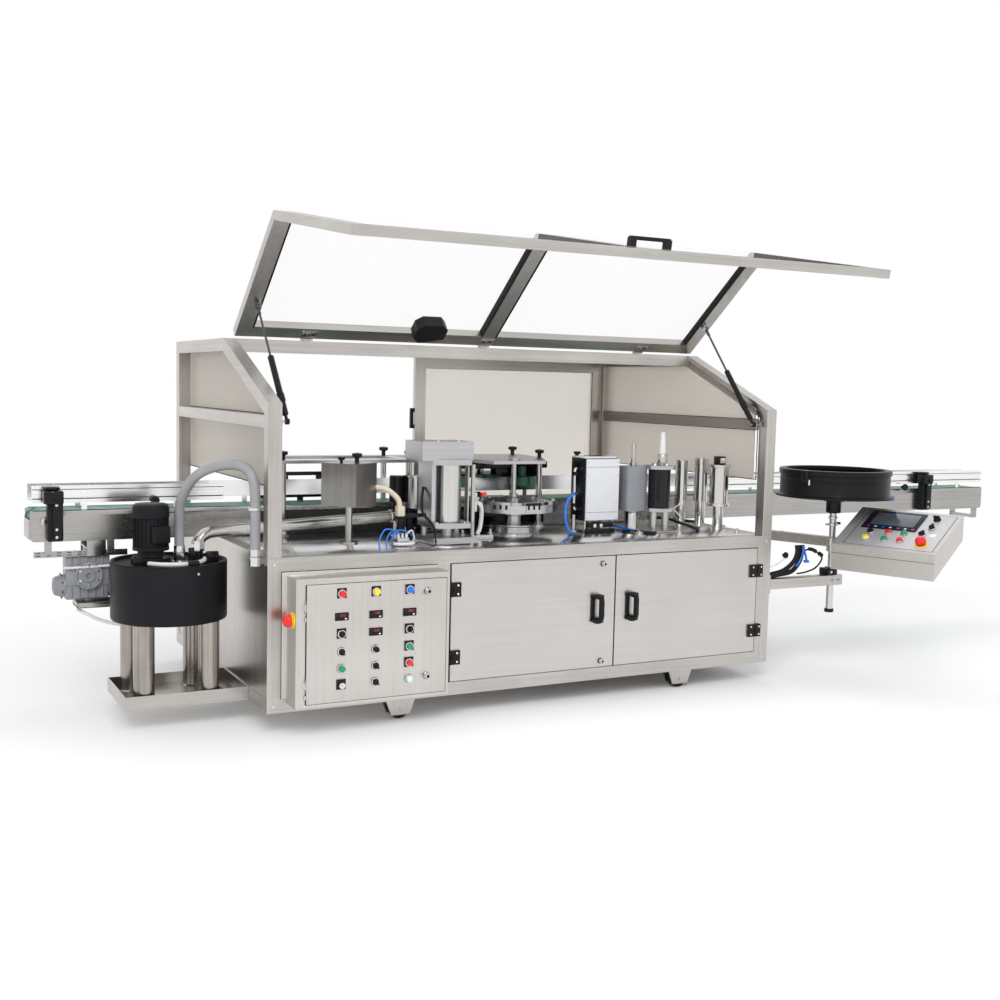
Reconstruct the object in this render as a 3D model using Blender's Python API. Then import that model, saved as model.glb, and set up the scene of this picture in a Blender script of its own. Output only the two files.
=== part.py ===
"""Rotary labelling machine: guarded table on castors, conveyor, glue tank, control box, screen arm and reel.

Metres, +Z up. While it is drawn, X runs to the right along the front from the left front post, Y runs
to the back from the front of the posts and Z starts at the floor. The last step moves everything so that
the origin lies on the floor under the middle of the machine.
"""

import math

import bmesh
import bpy
from mathutils import Matrix, Vector

# Welded frame and its sheets
FRAME_WIDTH = 2.690
FRAME_DEPTH = 1.609
TUBE = 0.060
CABINET_HEIGHT = 0.666
FRONT_POST_HEIGHT = 0.647
REAR_POST_HEIGHT = 0.931
SLOPE_RUN = 0.697
MID_RAIL_DROP = 0.103
MID_RAIL_HEIGHT = 0.052
REAR_BEAM_HEIGHT = 0.030
RIGHT_STILE = 0.026
TABLE_THICKNESS = 0.010
SHEET = 0.003
PANE = 0.005
PANE_BOTTOM = 0.285
GAP = 0.0003

# Castors
WHEEL_RADIUS = 0.045
WHEEL_WIDTH = 0.046
WHEEL_HEADROOM = 0.004
CASTOR_PLATE = 0.006
CASTOR_LEFT = 0.635
CASTOR_RIGHT = 0.515
CASTOR_INSET = 0.080
AXLE_RADIUS = 0.008

# Hood
HOOD_INSET = 0.050
HOOD_OPEN = math.radians(38.4)
HOOD_BEND = math.radians(47.7)
HOOD_UPPER = 0.762
HOOD_LOWER = 0.906
HOOD_RAIL = 0.070
HOOD_DEPTH = 0.040
HOOD_SEAT = 0.006
HINGE_RISE = 0.009
HINGE_RADIUS = 0.007
HINGE_PIN = 0.0035
HINGE_HALF = 0.030
HINGE_START = 0.010

# Gas springs
STRUT_INSET = 0.100
STRUT_FOOT_Y = 0.060
STRUT_FOOT_DROP = 0.077
STRUT_TOP_ALONG = 0.244
STRUT_TOP_BELOW = 0.027
STRUT_RADIUS = 0.014
STRUT_TUBE_LENGTH = 0.360
ROD_RADIUS = 0.0055
ROD_HIDDEN = 0.085
EYE_RADIUS = 0.013
PIN_RADIUS = 0.005

# Cabinet doors
DOOR_MARGIN = 0.003
DOOR_DEPTH = 0.022
DOOR_PROUD = 0.005
LEAF = 0.040
LEAF_HEIGHT = 0.065
BARREL_RADIUS = 0.006
BARREL_PIN = 0.003

# Control box
BOX_LEFT = 0.085
BOX_WIDTH = 0.705
BOX_DEPTH = 0.120
BOX_BOTTOM = 0.040
BOX_HEIGHT = 0.550
BOX_LIP = 0.045
BOX_DOOR_OVERLAP = 0.015
BOX_BARREL = 0.0042
BOX_PIN = 0.002
STOP_STEM = 0.009
BUTTON_RADIUS = 0.012
BEZEL_RADIUS = 0.017
BUTTON_PROUD = 0.022
BEZEL_PROUD = 0.009
BUTTON_COLUMNS = (0.200, 0.355, 0.512)
BUTTON_ROWS = (0.480, 0.383, 0.308, 0.232, 0.160, 0.089)

# Conveyor
CONVEYOR_LEFT = -0.840
CONVEYOR_LENGTH = 5.940
CONVEYOR_Y = 0.760
CONVEYOR_WIDTH = 0.180
BED_RISE = 0.006
BED_HEIGHT = 0.125
BELT_RISE = 0.146
BELT_LOOP = 0.100
BELT_THICKNESS = 0.008
BELT_SEAT = 0.0008
SIDE_PLATE = 0.004
BELT_CLEARANCE = 0.004
RAIL_RISE = 0.178
RAIL_HEIGHT = 0.076
RAIL_THICKNESS = 0.020

# Glue supply
TANK_X = -0.300
TANK_Y = 0.470
TANK_RADIUS = 0.250
TANK_DROP = 0.310
TANK_HEIGHT = 0.253
TANK_WALL = 0.005
TANK_SIDES = 30
LEG_RADIUS = 0.045
LEG_SPACING = 0.280
TRAY_LEFT = -0.530
TRAY_FRONT = 0.270
TRAY_DEPTH = 0.400
MOTOR_RADIUS = 0.078
HOSE_RADIUS = 0.022
PIPE_RADIUS = 0.027

# Machinery on the table
DRUM_SHARE = 0.5383
DRUM_Y = 0.528
DRUM_BASE_HEIGHT = 0.045
COVER_SHARE = 0.1829
GLUE_SHARE = 0.3662
CUTTER_SHARE = 0.6980
FEED_SHARE = 0.7751

# Screen arm and reel
MAST_REACH = 0.445
MAST_Y = 0.030
MAST_RADIUS = 0.019
MAST_BOTTOM = 0.330
MAST_TOP = 0.930
ARM_TUBE = 0.050
LOWER_ARM_Z = 0.507
SCREEN_ARM_Z = 0.712
SCREEN_ARM_TAIL = 0.440
SCREEN_ARM_REACH = 0.112
SCREEN_TURN = math.radians(-70.0)
SCREEN_TILT = math.radians(27.1)
SCREEN_WIDTH = 0.550
SCREEN_SLOPE = 0.377
SCREEN_DEPTH = 0.126
SCREEN_CORNER_OFFSET = (-0.169, -0.191)
SCREEN_CORNER_RISE = 0.019
SCREEN_WALL = 0.004
REEL_RADIUS = 0.293
REEL_RIM = 0.310
REEL_HEIGHT = 0.148
REEL_WALL = 0.008
REEL_RISE = 0.027

# What the sizes above give
FLOOR_CLEARANCE = 2 * WHEEL_RADIUS + WHEEL_HEADROOM + CASTOR_PLATE
TABLE_TOP = FLOOR_CLEARANCE + CABINET_HEIGHT
TANK_BOTTOM = TABLE_TOP - TANK_DROP
POST_TOP = TABLE_TOP + FRONT_POST_HEIGHT
ROOF_TOP = TABLE_TOP + REAR_POST_HEIGHT
RIGHT = FRAME_WIDTH
BACK = FRAME_DEPTH
ON_TABLE = TABLE_TOP + GAP
SLOPE_ANGLE = math.atan2(ROOF_TOP - POST_TOP, SLOPE_RUN)
MID_RAIL_BOTTOM = POST_TOP - MID_RAIL_DROP
MID_RAIL_TOP = MID_RAIL_BOTTOM + MID_RAIL_HEIGHT
HINGE_Y = SLOPE_RUN + 0.001
HINGE_Z = ROOF_TOP + HINGE_RISE
HOOD_LEFT = HOOD_INSET
HOOD_RIGHT = RIGHT - HOOD_INSET - 0.005
BELT_TOP = TABLE_TOP + BELT_RISE
CONVEYOR_RIGHT = CONVEYOR_LEFT + CONVEYOR_LENGTH
STILE_LEFT = BOX_LEFT + BOX_WIDTH - 0.003
COVER_X = FRAME_WIDTH * COVER_SHARE
GLUE_X = FRAME_WIDTH * GLUE_SHARE
DRUM_X = FRAME_WIDTH * DRUM_SHARE
CUTTER_X = FRAME_WIDTH * CUTTER_SHARE
FEED_X = FRAME_WIDTH * FEED_SHARE
MAST_X = FRAME_WIDTH + MAST_REACH
SCREEN_CORNER = (MAST_X + SCREEN_CORNER_OFFSET[0], MAST_Y + SCREEN_CORNER_OFFSET[1], SCREEN_ARM_Z + SCREEN_CORNER_RISE)


# Shapes


def above(height):
    """A height measured from the table's top."""
    return TABLE_TOP + height


def fresh(name, mesh):
    """A new object that holds this mesh."""
    obj = bpy.data.objects.new(name, mesh)
    bpy.context.scene.collection.objects.link(obj)
    return obj


def from_bmesh(name, shape):
    bmesh.ops.recalc_face_normals(shape, faces=shape.faces)
    mesh = bpy.data.meshes.new(name)
    shape.to_mesh(mesh)
    shape.free()
    return fresh(name, mesh)


def block(x0, x1, y0, y1, z0, z1, bevel=0.0):
    """A rectangular block between these limits, its edges rounded off where a bevel is given."""
    shape = bmesh.new()
    bmesh.ops.create_cube(shape, size=1.0)
    for vertex in shape.verts:
        x, y, z = vertex.co
        vertex.co = (x0 if x < 0 else x1, y0 if y < 0 else y1, z0 if z < 0 else z1)
    if bevel:
        bmesh.ops.bevel(shape, geom=shape.edges, offset=bevel, segments=1, affect="EDGES")
    return from_bmesh("block", shape)


def extruded(points, plane, low, high):
    """A closed outline in the plane YZ, XZ or XY, extruded along the third axis from low to high."""
    place = {
        "YZ": lambda u, v, w: (w, u, v),
        "XZ": lambda u, v, w: (u, w, v),
        "XY": lambda u, v, w: (u, v, w),
    }[plane]
    shape = bmesh.new()
    ring = [shape.verts.new(place(u, v, low)) for u, v in points]
    face = shape.faces.new(ring)
    bmesh.ops.extrude_face_region(shape, geom=[face])
    shape.verts.ensure_lookup_table()
    for vertex, (u, v) in zip(shape.verts[len(ring):], points):
        vertex.co = place(u, v, high)
    return from_bmesh("extruded", shape)


def turned(profile, base, axis=(0.0, 0.0, 1.0), sides=16):
    """A closed outline of (radius, height) points, turned about an axis through base."""
    shape = bmesh.new()
    rings = []
    for radius, height in profile:
        if radius < 1e-6:
            rings.append([shape.verts.new((0.0, 0.0, height))])
            continue
        angles = [2 * math.pi * step / sides for step in range(sides)]
        rings.append([shape.verts.new((radius * math.cos(a), radius * math.sin(a), height)) for a in angles])
    for first, second in zip(rings, rings[1:] + rings[:1]):
        for step in range(sides):
            after = (step + 1) % sides
            corners = [first[step % len(first)], first[after % len(first)]]
            corners += [second[after % len(second)], second[step % len(second)]]
            corners = list(dict.fromkeys(corners))
            if len(corners) > 2:
                shape.faces.new(corners)
    turn = Vector((0.0, 0.0, 1.0)).rotation_difference(Vector(axis)).to_matrix().to_4x4()
    bmesh.ops.transform(shape, verts=shape.verts, matrix=Matrix.Translation(base) @ turn)
    return from_bmesh("turned", shape)


def rod(start, end, radius, sides=12):
    """A round bar between two points."""
    along = Vector(end) - Vector(start)
    length = along.length
    return turned(((0.0, 0.0), (radius, 0.0), (radius, length), (0.0, length)), start, along, sides)


def post(x, y, low, high, radius, foot, sides=10):
    """An upright round post with a flange of this radius under it."""
    profile = ((0.0, low), (foot, low), (foot, low + 0.010), (radius, low + 0.010), (radius, high), (0.0, high))
    return turned(profile, (x, y, 0.0), sides=sides)


def knuckle_profile(low, high, radius, pin, reach):
    """The outline of a hinge knuckle from low to high with its pin standing out by reach at both ends."""
    return (
        (0.0, low - reach), (pin, low - reach), (pin, low), (radius, low),
        (radius, high), (pin, high), (pin, high + reach), (0.0, high + reach),
    )


def polygon(middle, radius, sides, turn=0.0):
    """The corners of a regular polygon."""
    steps = [turn + 2 * math.pi * step / sides for step in range(sides)]
    return [(middle[0] + radius * math.cos(a), middle[1] + radius * math.sin(a)) for a in steps]


def rounded(x0, x1, y0, y1, radius, steps=3):
    """The outline of a rectangle with round corners."""
    points = []
    corners = ((x1 - radius, y1 - radius, 0.0), (x0 + radius, y1 - radius, 0.5))
    corners += ((x0 + radius, y0 + radius, 1.0), (x1 - radius, y0 + radius, 1.5))
    for x, y, start in corners:
        for step in range(steps + 1):
            angle = math.pi * (start + 0.5 * step / steps)
            points.append((x + radius * math.cos(angle), y + radius * math.sin(angle)))
    return points


def smooth_route(points, spacing):
    """Points at an even spacing on a smooth curve through the given points."""
    points = [Vector(p) for p in points]
    ends = [2 * points[0] - points[1], *points, 2 * points[-1] - points[-2]]
    fine = []
    for a, b, c, d in zip(ends, ends[1:], ends[2:], ends[3:]):
        for step in range(24):
            t = step / 24
            fine.append(0.5 * (2 * b + (c - a) * t + (2 * a - 5 * b + 4 * c - d) * t**2 + (3 * b - a - 3 * c + d) * t**3))
    fine.append(points[-1])
    length = sum((b - a).length for a, b in zip(fine, fine[1:]))
    count = max(2, round(length / spacing))
    route = [fine[0]]
    walked = 0.0
    for a, b in zip(fine, fine[1:]):
        walked += (b - a).length
        if walked >= length * len(route) / count and len(route) < count:
            route.append(b)
    return [*route, fine[-1]]


def bent_tube(points, radius):
    """A tube of this radius with closed ends along a smooth curve through the points."""
    route = smooth_route(points, 3.0 * radius)
    curve = bpy.data.curves.new("tube", "CURVE")
    curve.dimensions = "3D"
    curve.bevel_depth = radius
    curve.bevel_resolution = 2
    curve.use_fill_caps = True
    spline = curve.splines.new("POLY")
    spline.points.add(len(route) - 1)
    for point, place in zip(spline.points, route):
        point.co = (*place, 1.0)
    guide = bpy.data.objects.new("tube", curve)
    bpy.context.scene.collection.objects.link(guide)
    bpy.context.view_layer.update()
    mesh = bpy.data.meshes.new_from_object(guide.evaluated_get(bpy.context.evaluated_depsgraph_get()))
    bpy.data.objects.remove(guide)
    shape = bmesh.new()
    shape.from_mesh(mesh)
    bmesh.ops.remove_doubles(shape, verts=shape.verts, dist=1e-5)
    return from_bmesh("tube", shape)


def moved(obj, matrix):
    """The same shape, moved by a matrix."""
    obj.data.transform(matrix)
    return obj


def combine(body, other, operation, solver="EXACT"):
    """Unites a second shape with the body or cuts it away, and removes the second shape."""
    modifier = body.modifiers.new("boolean", "BOOLEAN")
    modifier.operation = operation
    modifier.solver = solver
    modifier.object = other
    bpy.context.view_layer.update()
    graph = bpy.context.evaluated_depsgraph_get()
    mesh = bpy.data.meshes.new_from_object(body.evaluated_get(graph))
    body.modifiers.clear()
    body.data = mesh
    bpy.data.objects.remove(other)


def material(name, colour, roughness, metallic):
    found = bpy.data.materials.get(name)
    if found:
        return found
    made = bpy.data.materials.new(name)
    made.use_nodes = True
    shader = made.node_tree.nodes["Principled BSDF"]
    shader.inputs["Base Color"].default_value = (*colour, 1.0)
    shader.inputs["Roughness"].default_value = roughness
    shader.inputs["Metallic"].default_value = metallic
    return made


FINISHES = {
    "stainless": ((0.55, 0.53, 0.50), 0.32, 1.0),
    "aluminium": ((0.66, 0.67, 0.69), 0.40, 1.0),
    "black_plastic": ((0.015, 0.015, 0.016), 0.45, 0.0),
    "black_paint": ((0.012, 0.013, 0.015), 0.40, 0.0),
    "rubber": ((0.02, 0.02, 0.02), 0.80, 0.0),
    "glass": ((0.86, 0.84, 0.80), 0.08, 0.0),
    "green_plastic": ((0.01, 0.16, 0.10), 0.50, 0.0),
    "red_plastic": ((0.70, 0.03, 0.02), 0.35, 0.0),
    "grey_plastic": ((0.35, 0.36, 0.37), 0.50, 0.0),
}


def finish(name, look, pieces, cuts=(), pivot=(0.0, 0.0, 0.0), solver="EXACT"):
    """Unites the pieces, cuts the cutters out, and names the result, with its origin at the pivot."""
    body = pieces[0]
    for other in pieces[1:]:
        combine(body, other, "UNION", solver)
    for cutter in cuts:
        combine(body, cutter, "DIFFERENCE", solver)
    body.name = name
    body.data.name = name
    body.data.materials.clear()
    body.data.materials.append(material(look, *FINISHES[look]))
    body.data.shade_smooth()
    body.data.set_sharp_from_angle(angle=math.radians(32.0))
    body.data.transform(Matrix.Translation(-Vector(pivot)))
    body.location = pivot
    return body


# Frame and cabinet


def castor_middles():
    """Where the four wheels stand."""
    for x in (CASTOR_LEFT, RIGHT - CASTOR_RIGHT):
        for y in (CASTOR_INSET, BACK - CASTOR_INSET):
            yield x, y


def base_frame():
    top = TABLE_TOP
    pieces = [block(0.0, RIGHT, 0.0, TUBE, FLOOR_CLEARANCE, FLOOR_CLEARANCE + TUBE)]
    pieces.append(block(0.0, RIGHT, BACK - TUBE, BACK, FLOOR_CLEARANCE, FLOOR_CLEARANCE + TUBE))
    pieces.append(block(0.0, RIGHT, 0.0, TUBE, top - TUBE, top))
    pieces.append(block(0.0, RIGHT, BACK - TUBE, BACK, top - TUBE, top))
    for x in (0.0, RIGHT - TUBE):
        for y in (0.0, BACK - TUBE):
            pieces.append(block(x, x + TUBE, y, y + TUBE, FLOOR_CLEARANCE, top))
        for z in (FLOOR_CLEARANCE, top - TUBE):
            pieces.append(block(x, x + TUBE, TUBE / 2, BACK - TUBE / 2, z, z + TUBE))
    pieces.append(block(STILE_LEFT, STILE_LEFT + TUBE, 0.0, TUBE, FLOOR_CLEARANCE, top))
    right_edge = RIGHT - TUBE
    pieces.append(block(right_edge - RIGHT_STILE, right_edge + 0.01, 0.0, TUBE, FLOOR_CLEARANCE, top))
    for x, y in castor_middles():
        pieces += castor_fork(x, y)
    for x, side in ((door_hinge_left(), -1), (door_hinge_right(), 1)):
        for z in door_hinge_heights():
            pieces += fixed_leaf(x, z, side)
    finish("base_frame", "stainless", pieces)


def castor_fork(x, y):
    """The mounting plate, the two tapered side plates and the axle of one castor."""
    low = FLOOR_CLEARANCE - CASTOR_PLATE
    top, bottom = 0.073, 0.045
    inner = WHEEL_WIDTH / 2 + 0.004
    inward = 1 if y < BACK / 2 else -1
    under_rail = y - inward * (inner + 0.03)
    plate = sorted((under_rail, y + inward * (inner + 0.02)))
    pieces = [block(x - top, x + top, *plate, low, FLOOR_CLEARANCE + 0.001)]
    outline = ((x - top, low + 0.001), (x - bottom, 0.021), (x + bottom, 0.021), (x + top, low + 0.001))
    for side in (-1, 1):
        face = sorted((y + side * inner, y + side * (inner + CASTOR_PLATE)))
        pieces.append(extruded(outline, "XZ", *face))
    reach = inner + CASTOR_PLATE + 0.004
    pieces.append(rod((x, y - reach, WHEEL_RADIUS), (x, y + reach, WHEEL_RADIUS), AXLE_RADIUS, 8))
    return pieces


def castor_wheels():
    half = WHEEL_WIDTH / 2
    bore = AXLE_RADIUS + GAP
    profile = ((bore, -half), (WHEEL_RADIUS - 0.005, -half), (WHEEL_RADIUS, -half + 0.005))
    profile += ((WHEEL_RADIUS, half - 0.005), (WHEEL_RADIUS - 0.005, half), (bore, half))
    for number, (x, y) in enumerate(castor_middles(), 1):
        middle = (x, y, WHEEL_RADIUS)
        finish(f"castor_wheel_{number}", "rubber", [turned(profile, middle, (0.0, 1.0, 0.0), 16)], pivot=middle)


def side_panels():
    """Stainless panels that fill the left and right sides of the cabinet, with a stiffening fold inside."""
    low, high = FLOOR_CLEARANCE + TUBE + GAP, TABLE_TOP - TUBE - GAP
    front, back = TUBE + GAP, BACK - TUBE - GAP
    fold = 0.030
    for name, face, inward in (("side_panel_left", 0.002, 1), ("side_panel_right", RIGHT - 0.002, -1)):
        outer = sorted((face, face + inward * fold))
        inner = sorted((face + inward * SHEET, face + inward * (fold + 0.01)))
        tray = block(*outer, front, back, low, high)
        hollow = block(*inner, front + SHEET, back - SHEET, low + SHEET, high - SHEET)
        finish(name, "stainless", [tray], [hollow])


def cabinet_liner():
    """The floor and the rear wall of the cabinet, one folded sheet between the tubes."""
    floor = FLOOR_CLEARANCE + 0.010
    back = BACK - TUBE - GAP
    top = TABLE_TOP - TABLE_THICKNESS - GAP
    outline = ((TUBE + GAP, floor), (back, floor), (back, top), (back - SHEET, top))
    outline += ((back - SHEET, floor + SHEET), (TUBE + GAP, floor + SHEET))
    finish("cabinet_liner", "stainless", [extruded(outline, "YZ", TUBE + GAP, RIGHT - TUBE - GAP)])


def table_plate():
    """The table with the round housing that stands on it under the drum."""
    side, front = TUBE + GAP, TUBE + GAP
    low = TABLE_TOP - TABLE_THICKNESS
    plate = block(side, RIGHT - side, front, BACK - front, low, TABLE_TOP)
    housing = rod((DRUM_X, DRUM_Y, low + 0.002), (DRUM_X, DRUM_Y, TABLE_TOP + DRUM_BASE_HEIGHT), 0.120, 24)
    finish("table_plate", "stainless", [plate, housing])


# Guards around the table


def guard_frames():
    """The welded side frames: front and rear post, middle rail, slope and roof rail in one plane."""
    cosine, tangent = math.cos(SLOPE_ANGLE), math.tan(SLOPE_ANGLE)
    outline = ((0.0, ON_TABLE), (0.0, POST_TOP), (SLOPE_RUN, ROOF_TOP), (BACK, ROOF_TOP), (BACK, ON_TABLE))
    ceiling = ROOF_TOP - TUBE
    knee = (ceiling - POST_TOP + TUBE / cosine) / tangent
    shoulder = POST_TOP + TUBE * tangent - TUBE / cosine
    upper = ((TUBE, MID_RAIL_TOP), (TUBE, shoulder), (knee, ceiling), (BACK - TUBE, ceiling), (BACK - TUBE, MID_RAIL_TOP))
    for name, left in (("guard_left", 0.0), ("guard_right", RIGHT - TUBE)):
        cuts = [extruded(upper, "YZ", left - 0.01, left + TUBE + 0.01)]
        cuts.append(block(left - 0.01, left + TUBE + 0.01, TUBE, BACK - TUBE, ON_TABLE - 0.01, MID_RAIL_BOTTOM))
        pieces = [extruded(outline, "YZ", left, left + TUBE)]
        inner, inward = (left + TUBE, 1) if left < RIGHT / 2 else (left, -1)
        pieces += strut_stud(inner, inward)
        if inward < 0:
            pieces += rear_door_knuckles()
        finish(name, "stainless", pieces[:1], cuts)
        for piece in pieces[1:]:
            combine(bpy.data.objects[name], piece, "UNION")


def strut_stud(inner, inward):
    """The bracket and pin on a guard's inner face that hold the foot of a gas spring."""
    y, z = STRUT_FOOT_Y, POST_TOP - STRUT_FOOT_DROP
    eye = STRUT_INSET - TUBE
    plate = sorted((inner - inward * 0.001, inner + inward * 0.005))
    pieces = [block(*plate, 0.012, y + 0.012, z - 0.014, z + 0.014)]
    pieces.append(rod((inner, y, z), (inner + inward * (eye + 0.012), y, z), PIN_RADIUS, 8))
    return pieces


def roof_frame():
    """The hinge beam, the rear beam and the roof sheet between them, with the fixed hinge knuckles."""
    left, right = TUBE + GAP, RIGHT - TUBE - GAP
    pieces = [block(left, right, SLOPE_RUN, SLOPE_RUN + TUBE, ROOF_TOP - TUBE, ROOF_TOP)]
    pieces.append(block(left, right, BACK - TUBE, BACK, ROOF_TOP - REAR_BEAM_HEIGHT, ROOF_TOP))
    pieces.append(block(left, right, SLOPE_RUN + 0.02, BACK - 0.02, ROOF_TOP - 0.008, ROOF_TOP - 0.008 + SHEET))
    for x in hood_hinges():
        half = HINGE_HALF / 2
        pieces.append(block(x - half, x + half, HINGE_Y - 0.0035, HINGE_Y + 0.035, ROOF_TOP - 0.004, ROOF_TOP + 0.003))
        pieces.append(block(x - half, x + half, HINGE_Y - 0.0035, HINGE_Y + 0.0035, ROOF_TOP - 0.004, HINGE_Z))
        knuckle = knuckle_profile(-half, half, HINGE_RADIUS, HINGE_PIN, half)
        pieces.append(turned(knuckle, (x, HINGE_Y, HINGE_Z), (1.0, 0.0, 0.0), 8))
    finish("roof_frame", "stainless", pieces)


def side_windows():
    """One clear sheet inside each side frame, from above the conveyor to under the roof."""
    low = TABLE_TOP + PANE_BOTTOM
    high = ROOF_TOP - 0.030
    front = STRUT_FOOT_Y + 0.030
    back = BACK - TUBE / 2
    lift = TUBE / 2 / math.cos(SLOPE_ANGLE)
    knee = (high - POST_TOP + lift) / math.tan(SLOPE_ANGLE)
    corner = POST_TOP + front * math.tan(SLOPE_ANGLE) - lift
    outline = ((front, low), (front, corner), (knee, high), (SLOPE_RUN - GAP, high))
    notch = ROOF_TOP - TUBE - GAP
    outline += ((SLOPE_RUN - GAP, notch), (SLOPE_RUN + TUBE + GAP, notch), (SLOPE_RUN + TUBE + GAP, high))
    rear_notch = BACK - TUBE - GAP
    outline += ((rear_notch, high), (rear_notch, low))
    for name, face, inward in (("window_left", TUBE + GAP, 1), ("window_right", RIGHT - TUBE - GAP, -1)):
        finish(name, "glass", [extruded(outline, "YZ", *sorted((face, face + inward * PANE)))])


# Hood


def hood_hinges():
    """Where the hood's three hinges sit along the beam."""
    return (0.400, RIGHT / 2, RIGHT - 0.400)


def hood_line(along, above):
    """A point of the hood's section in the YZ plane, at a distance from the hinge and above its inner face."""
    upper = Vector((-math.cos(HOOD_OPEN), math.sin(HOOD_OPEN)))
    upper_normal = Vector((math.sin(HOOD_OPEN), math.cos(HOOD_OPEN)))
    fall = HOOD_OPEN - HOOD_BEND
    lower = Vector((-math.cos(fall), math.sin(fall)))
    lower_normal = Vector((math.sin(fall), math.cos(fall)))
    hinge = Vector((HINGE_Y, HINGE_Z))
    if along <= HOOD_UPPER:
        return tuple(hinge + upper * along + upper_normal * above)
    return tuple(hinge + upper * HOOD_UPPER + lower * (along - HOOD_UPPER) + lower_normal * above)


def hood_bend(above):
    """The hood section's corner at this height above the line through the hinge."""
    upper_normal = Vector((math.sin(HOOD_OPEN), math.cos(HOOD_OPEN)))
    fall = HOOD_OPEN - HOOD_BEND
    lower_normal = Vector((math.sin(fall), math.cos(fall)))
    corner = Vector(hood_line(HOOD_UPPER, 0.0))
    return tuple(corner + (upper_normal + lower_normal) * above / (1 + upper_normal.dot(lower_normal)))


def hood_strip(start, end, low, high):
    """The outline of a bar that follows the hood from start to end, between two heights."""
    if end <= HOOD_UPPER or start >= HOOD_UPPER:
        return [hood_line(start, low), hood_line(end, low), hood_line(end, high), hood_line(start, high)]
    inner = [hood_line(start, low), hood_bend(low), hood_line(end, low)]
    return [*inner, hood_line(end, high), hood_bend(high), hood_line(start, high)]


def hood():
    low, high = -HOOD_SEAT, HOOD_DEPTH - HOOD_SEAT
    total = HOOD_UPPER + HOOD_LOWER
    pivot = (RIGHT / 2, HINGE_Y, HINGE_Z)
    middle = (HOOD_LEFT + HOOD_RIGHT) / 2
    side = hood_strip(HINGE_START, total - 0.001, low, high)
    pieces = []
    for left in (HOOD_LEFT, middle - HOOD_RAIL / 2, HOOD_RIGHT - HOOD_RAIL):
        pieces.append(extruded(side, "YZ", left, left + HOOD_RAIL))
    for start in (HINGE_START + 0.001, total - HOOD_RAIL):
        strip = hood_strip(start, start + HOOD_RAIL, low + 0.0005, high - 0.0005)
        pieces.append(extruded(strip, "YZ", HOOD_LEFT + 0.01, HOOD_RIGHT - 0.01))
    for x in hood_hinges():
        for side_sign in (-1, 1):
            inner = x + side_sign * (HINGE_HALF / 2 + GAP)
            ends = sorted((inner, x + side_sign * HINGE_HALF))
            knuckle = rod((ends[0], HINGE_Y, HINGE_Z), (ends[1], HINGE_Y, HINGE_Z), HINGE_RADIUS, 8)
            web = extruded(hood_strip(0.0, HINGE_START + 0.004, -0.0035, 0.0035), "YZ", *ends)
            combine(knuckle, web, "UNION")
            bore = rod((ends[0] - 0.01, HINGE_Y, HINGE_Z), (ends[1] + 0.01, HINGE_Y, HINGE_Z), HINGE_PIN + GAP, 12)
            combine(knuckle, bore, "DIFFERENCE")
            pieces.append(knuckle)
    pieces += [hood_stud(STRUT_INSET, 1), hood_stud(RIGHT - STRUT_INSET, -1)]
    pieces.append(hood_latch())
    finish("hood_frame", "stainless", pieces, pivot=pivot, solver="MANIFOLD")
    pane_low = high + GAP
    pane = extruded(hood_strip(HINGE_START, total, pane_low, pane_low + PANE), "YZ", HOOD_LEFT, HOOD_RIGHT)
    handle = hood_line(total - HOOD_RAIL / 2, high)
    opening = block(middle - 0.12, middle + 0.12, handle[0] - 0.03, handle[0] + 0.03, handle[1] - 0.05, handle[1] + 0.05)
    finish("hood_window", "glass", [pane], [opening], pivot=pivot)
    hood_handle(middle, pivot)


def hood_stud(x, inward):
    """The lug under a side rail of the hood that the gas spring's rod stands beside."""
    along, below = STRUT_TOP_ALONG, STRUT_TOP_BELOW
    start = x + inward * (EYE_RADIUS * 0.62 + GAP)
    lug = hood_strip(along - 0.012, along + 0.012, -below - 0.012, -HOOD_SEAT + 0.004)
    return extruded(lug, "YZ", *sorted((start, start + inward * 0.006)))


def hood_latch():
    """The black six-sided latch box that hangs under the hood's hinge rail."""
    middle = 0.985
    start = HINGE_START + HOOD_RAIL - 0.010
    end = start + 0.130
    outer = hood_strip(start, end, -HOOD_SEAT - 0.050, -HOOD_SEAT + 0.010)
    latch = extruded(outer, "YZ", middle - 0.080, middle + 0.080)
    shape = bmesh.new()
    shape.from_mesh(latch.data)
    upright = [edge for edge in shape.edges if abs(edge.verts[0].co.x - edge.verts[1].co.x) < 1e-6]
    normal = Vector((0.0, math.sin(HOOD_OPEN), math.cos(HOOD_OPEN)))
    corners = [edge for edge in upright if abs((edge.verts[0].co - edge.verts[1].co).normalized().dot(normal)) > 0.9]
    bmesh.ops.bevel(shape, geom=corners, offset=0.032, segments=1, affect="EDGES")
    shape.to_mesh(latch.data)
    shape.free()
    return latch


def hood_handle(middle, pivot):
    """The black bridge handle on the outside of the hood's front rail."""
    total = HOOD_UPPER + HOOD_LOWER
    foot = total - HOOD_RAIL / 2
    base = HOOD_DEPTH - HOOD_SEAT + GAP
    grip = hood_strip(foot - 0.012, foot + 0.012, base + 0.030, base + 0.046)
    pieces = [extruded(grip, "YZ", middle - 0.095, middle + 0.095)]
    for side in (-1, 1):
        leg = hood_strip(foot - 0.014, foot + 0.014, base, base + 0.040)
        ends = sorted((middle + side * 0.072, middle + side * 0.100))
        pieces.append(extruded(leg, "YZ", *ends))
    finish("hood_handle", "black_plastic", pieces, pivot=pivot)


def strut_ends():
    """The foot and the top of a gas spring in the YZ plane."""
    foot = Vector((STRUT_FOOT_Y, POST_TOP - STRUT_FOOT_DROP))
    return foot, Vector(hood_line(STRUT_TOP_ALONG, -STRUT_TOP_BELOW))


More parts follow.
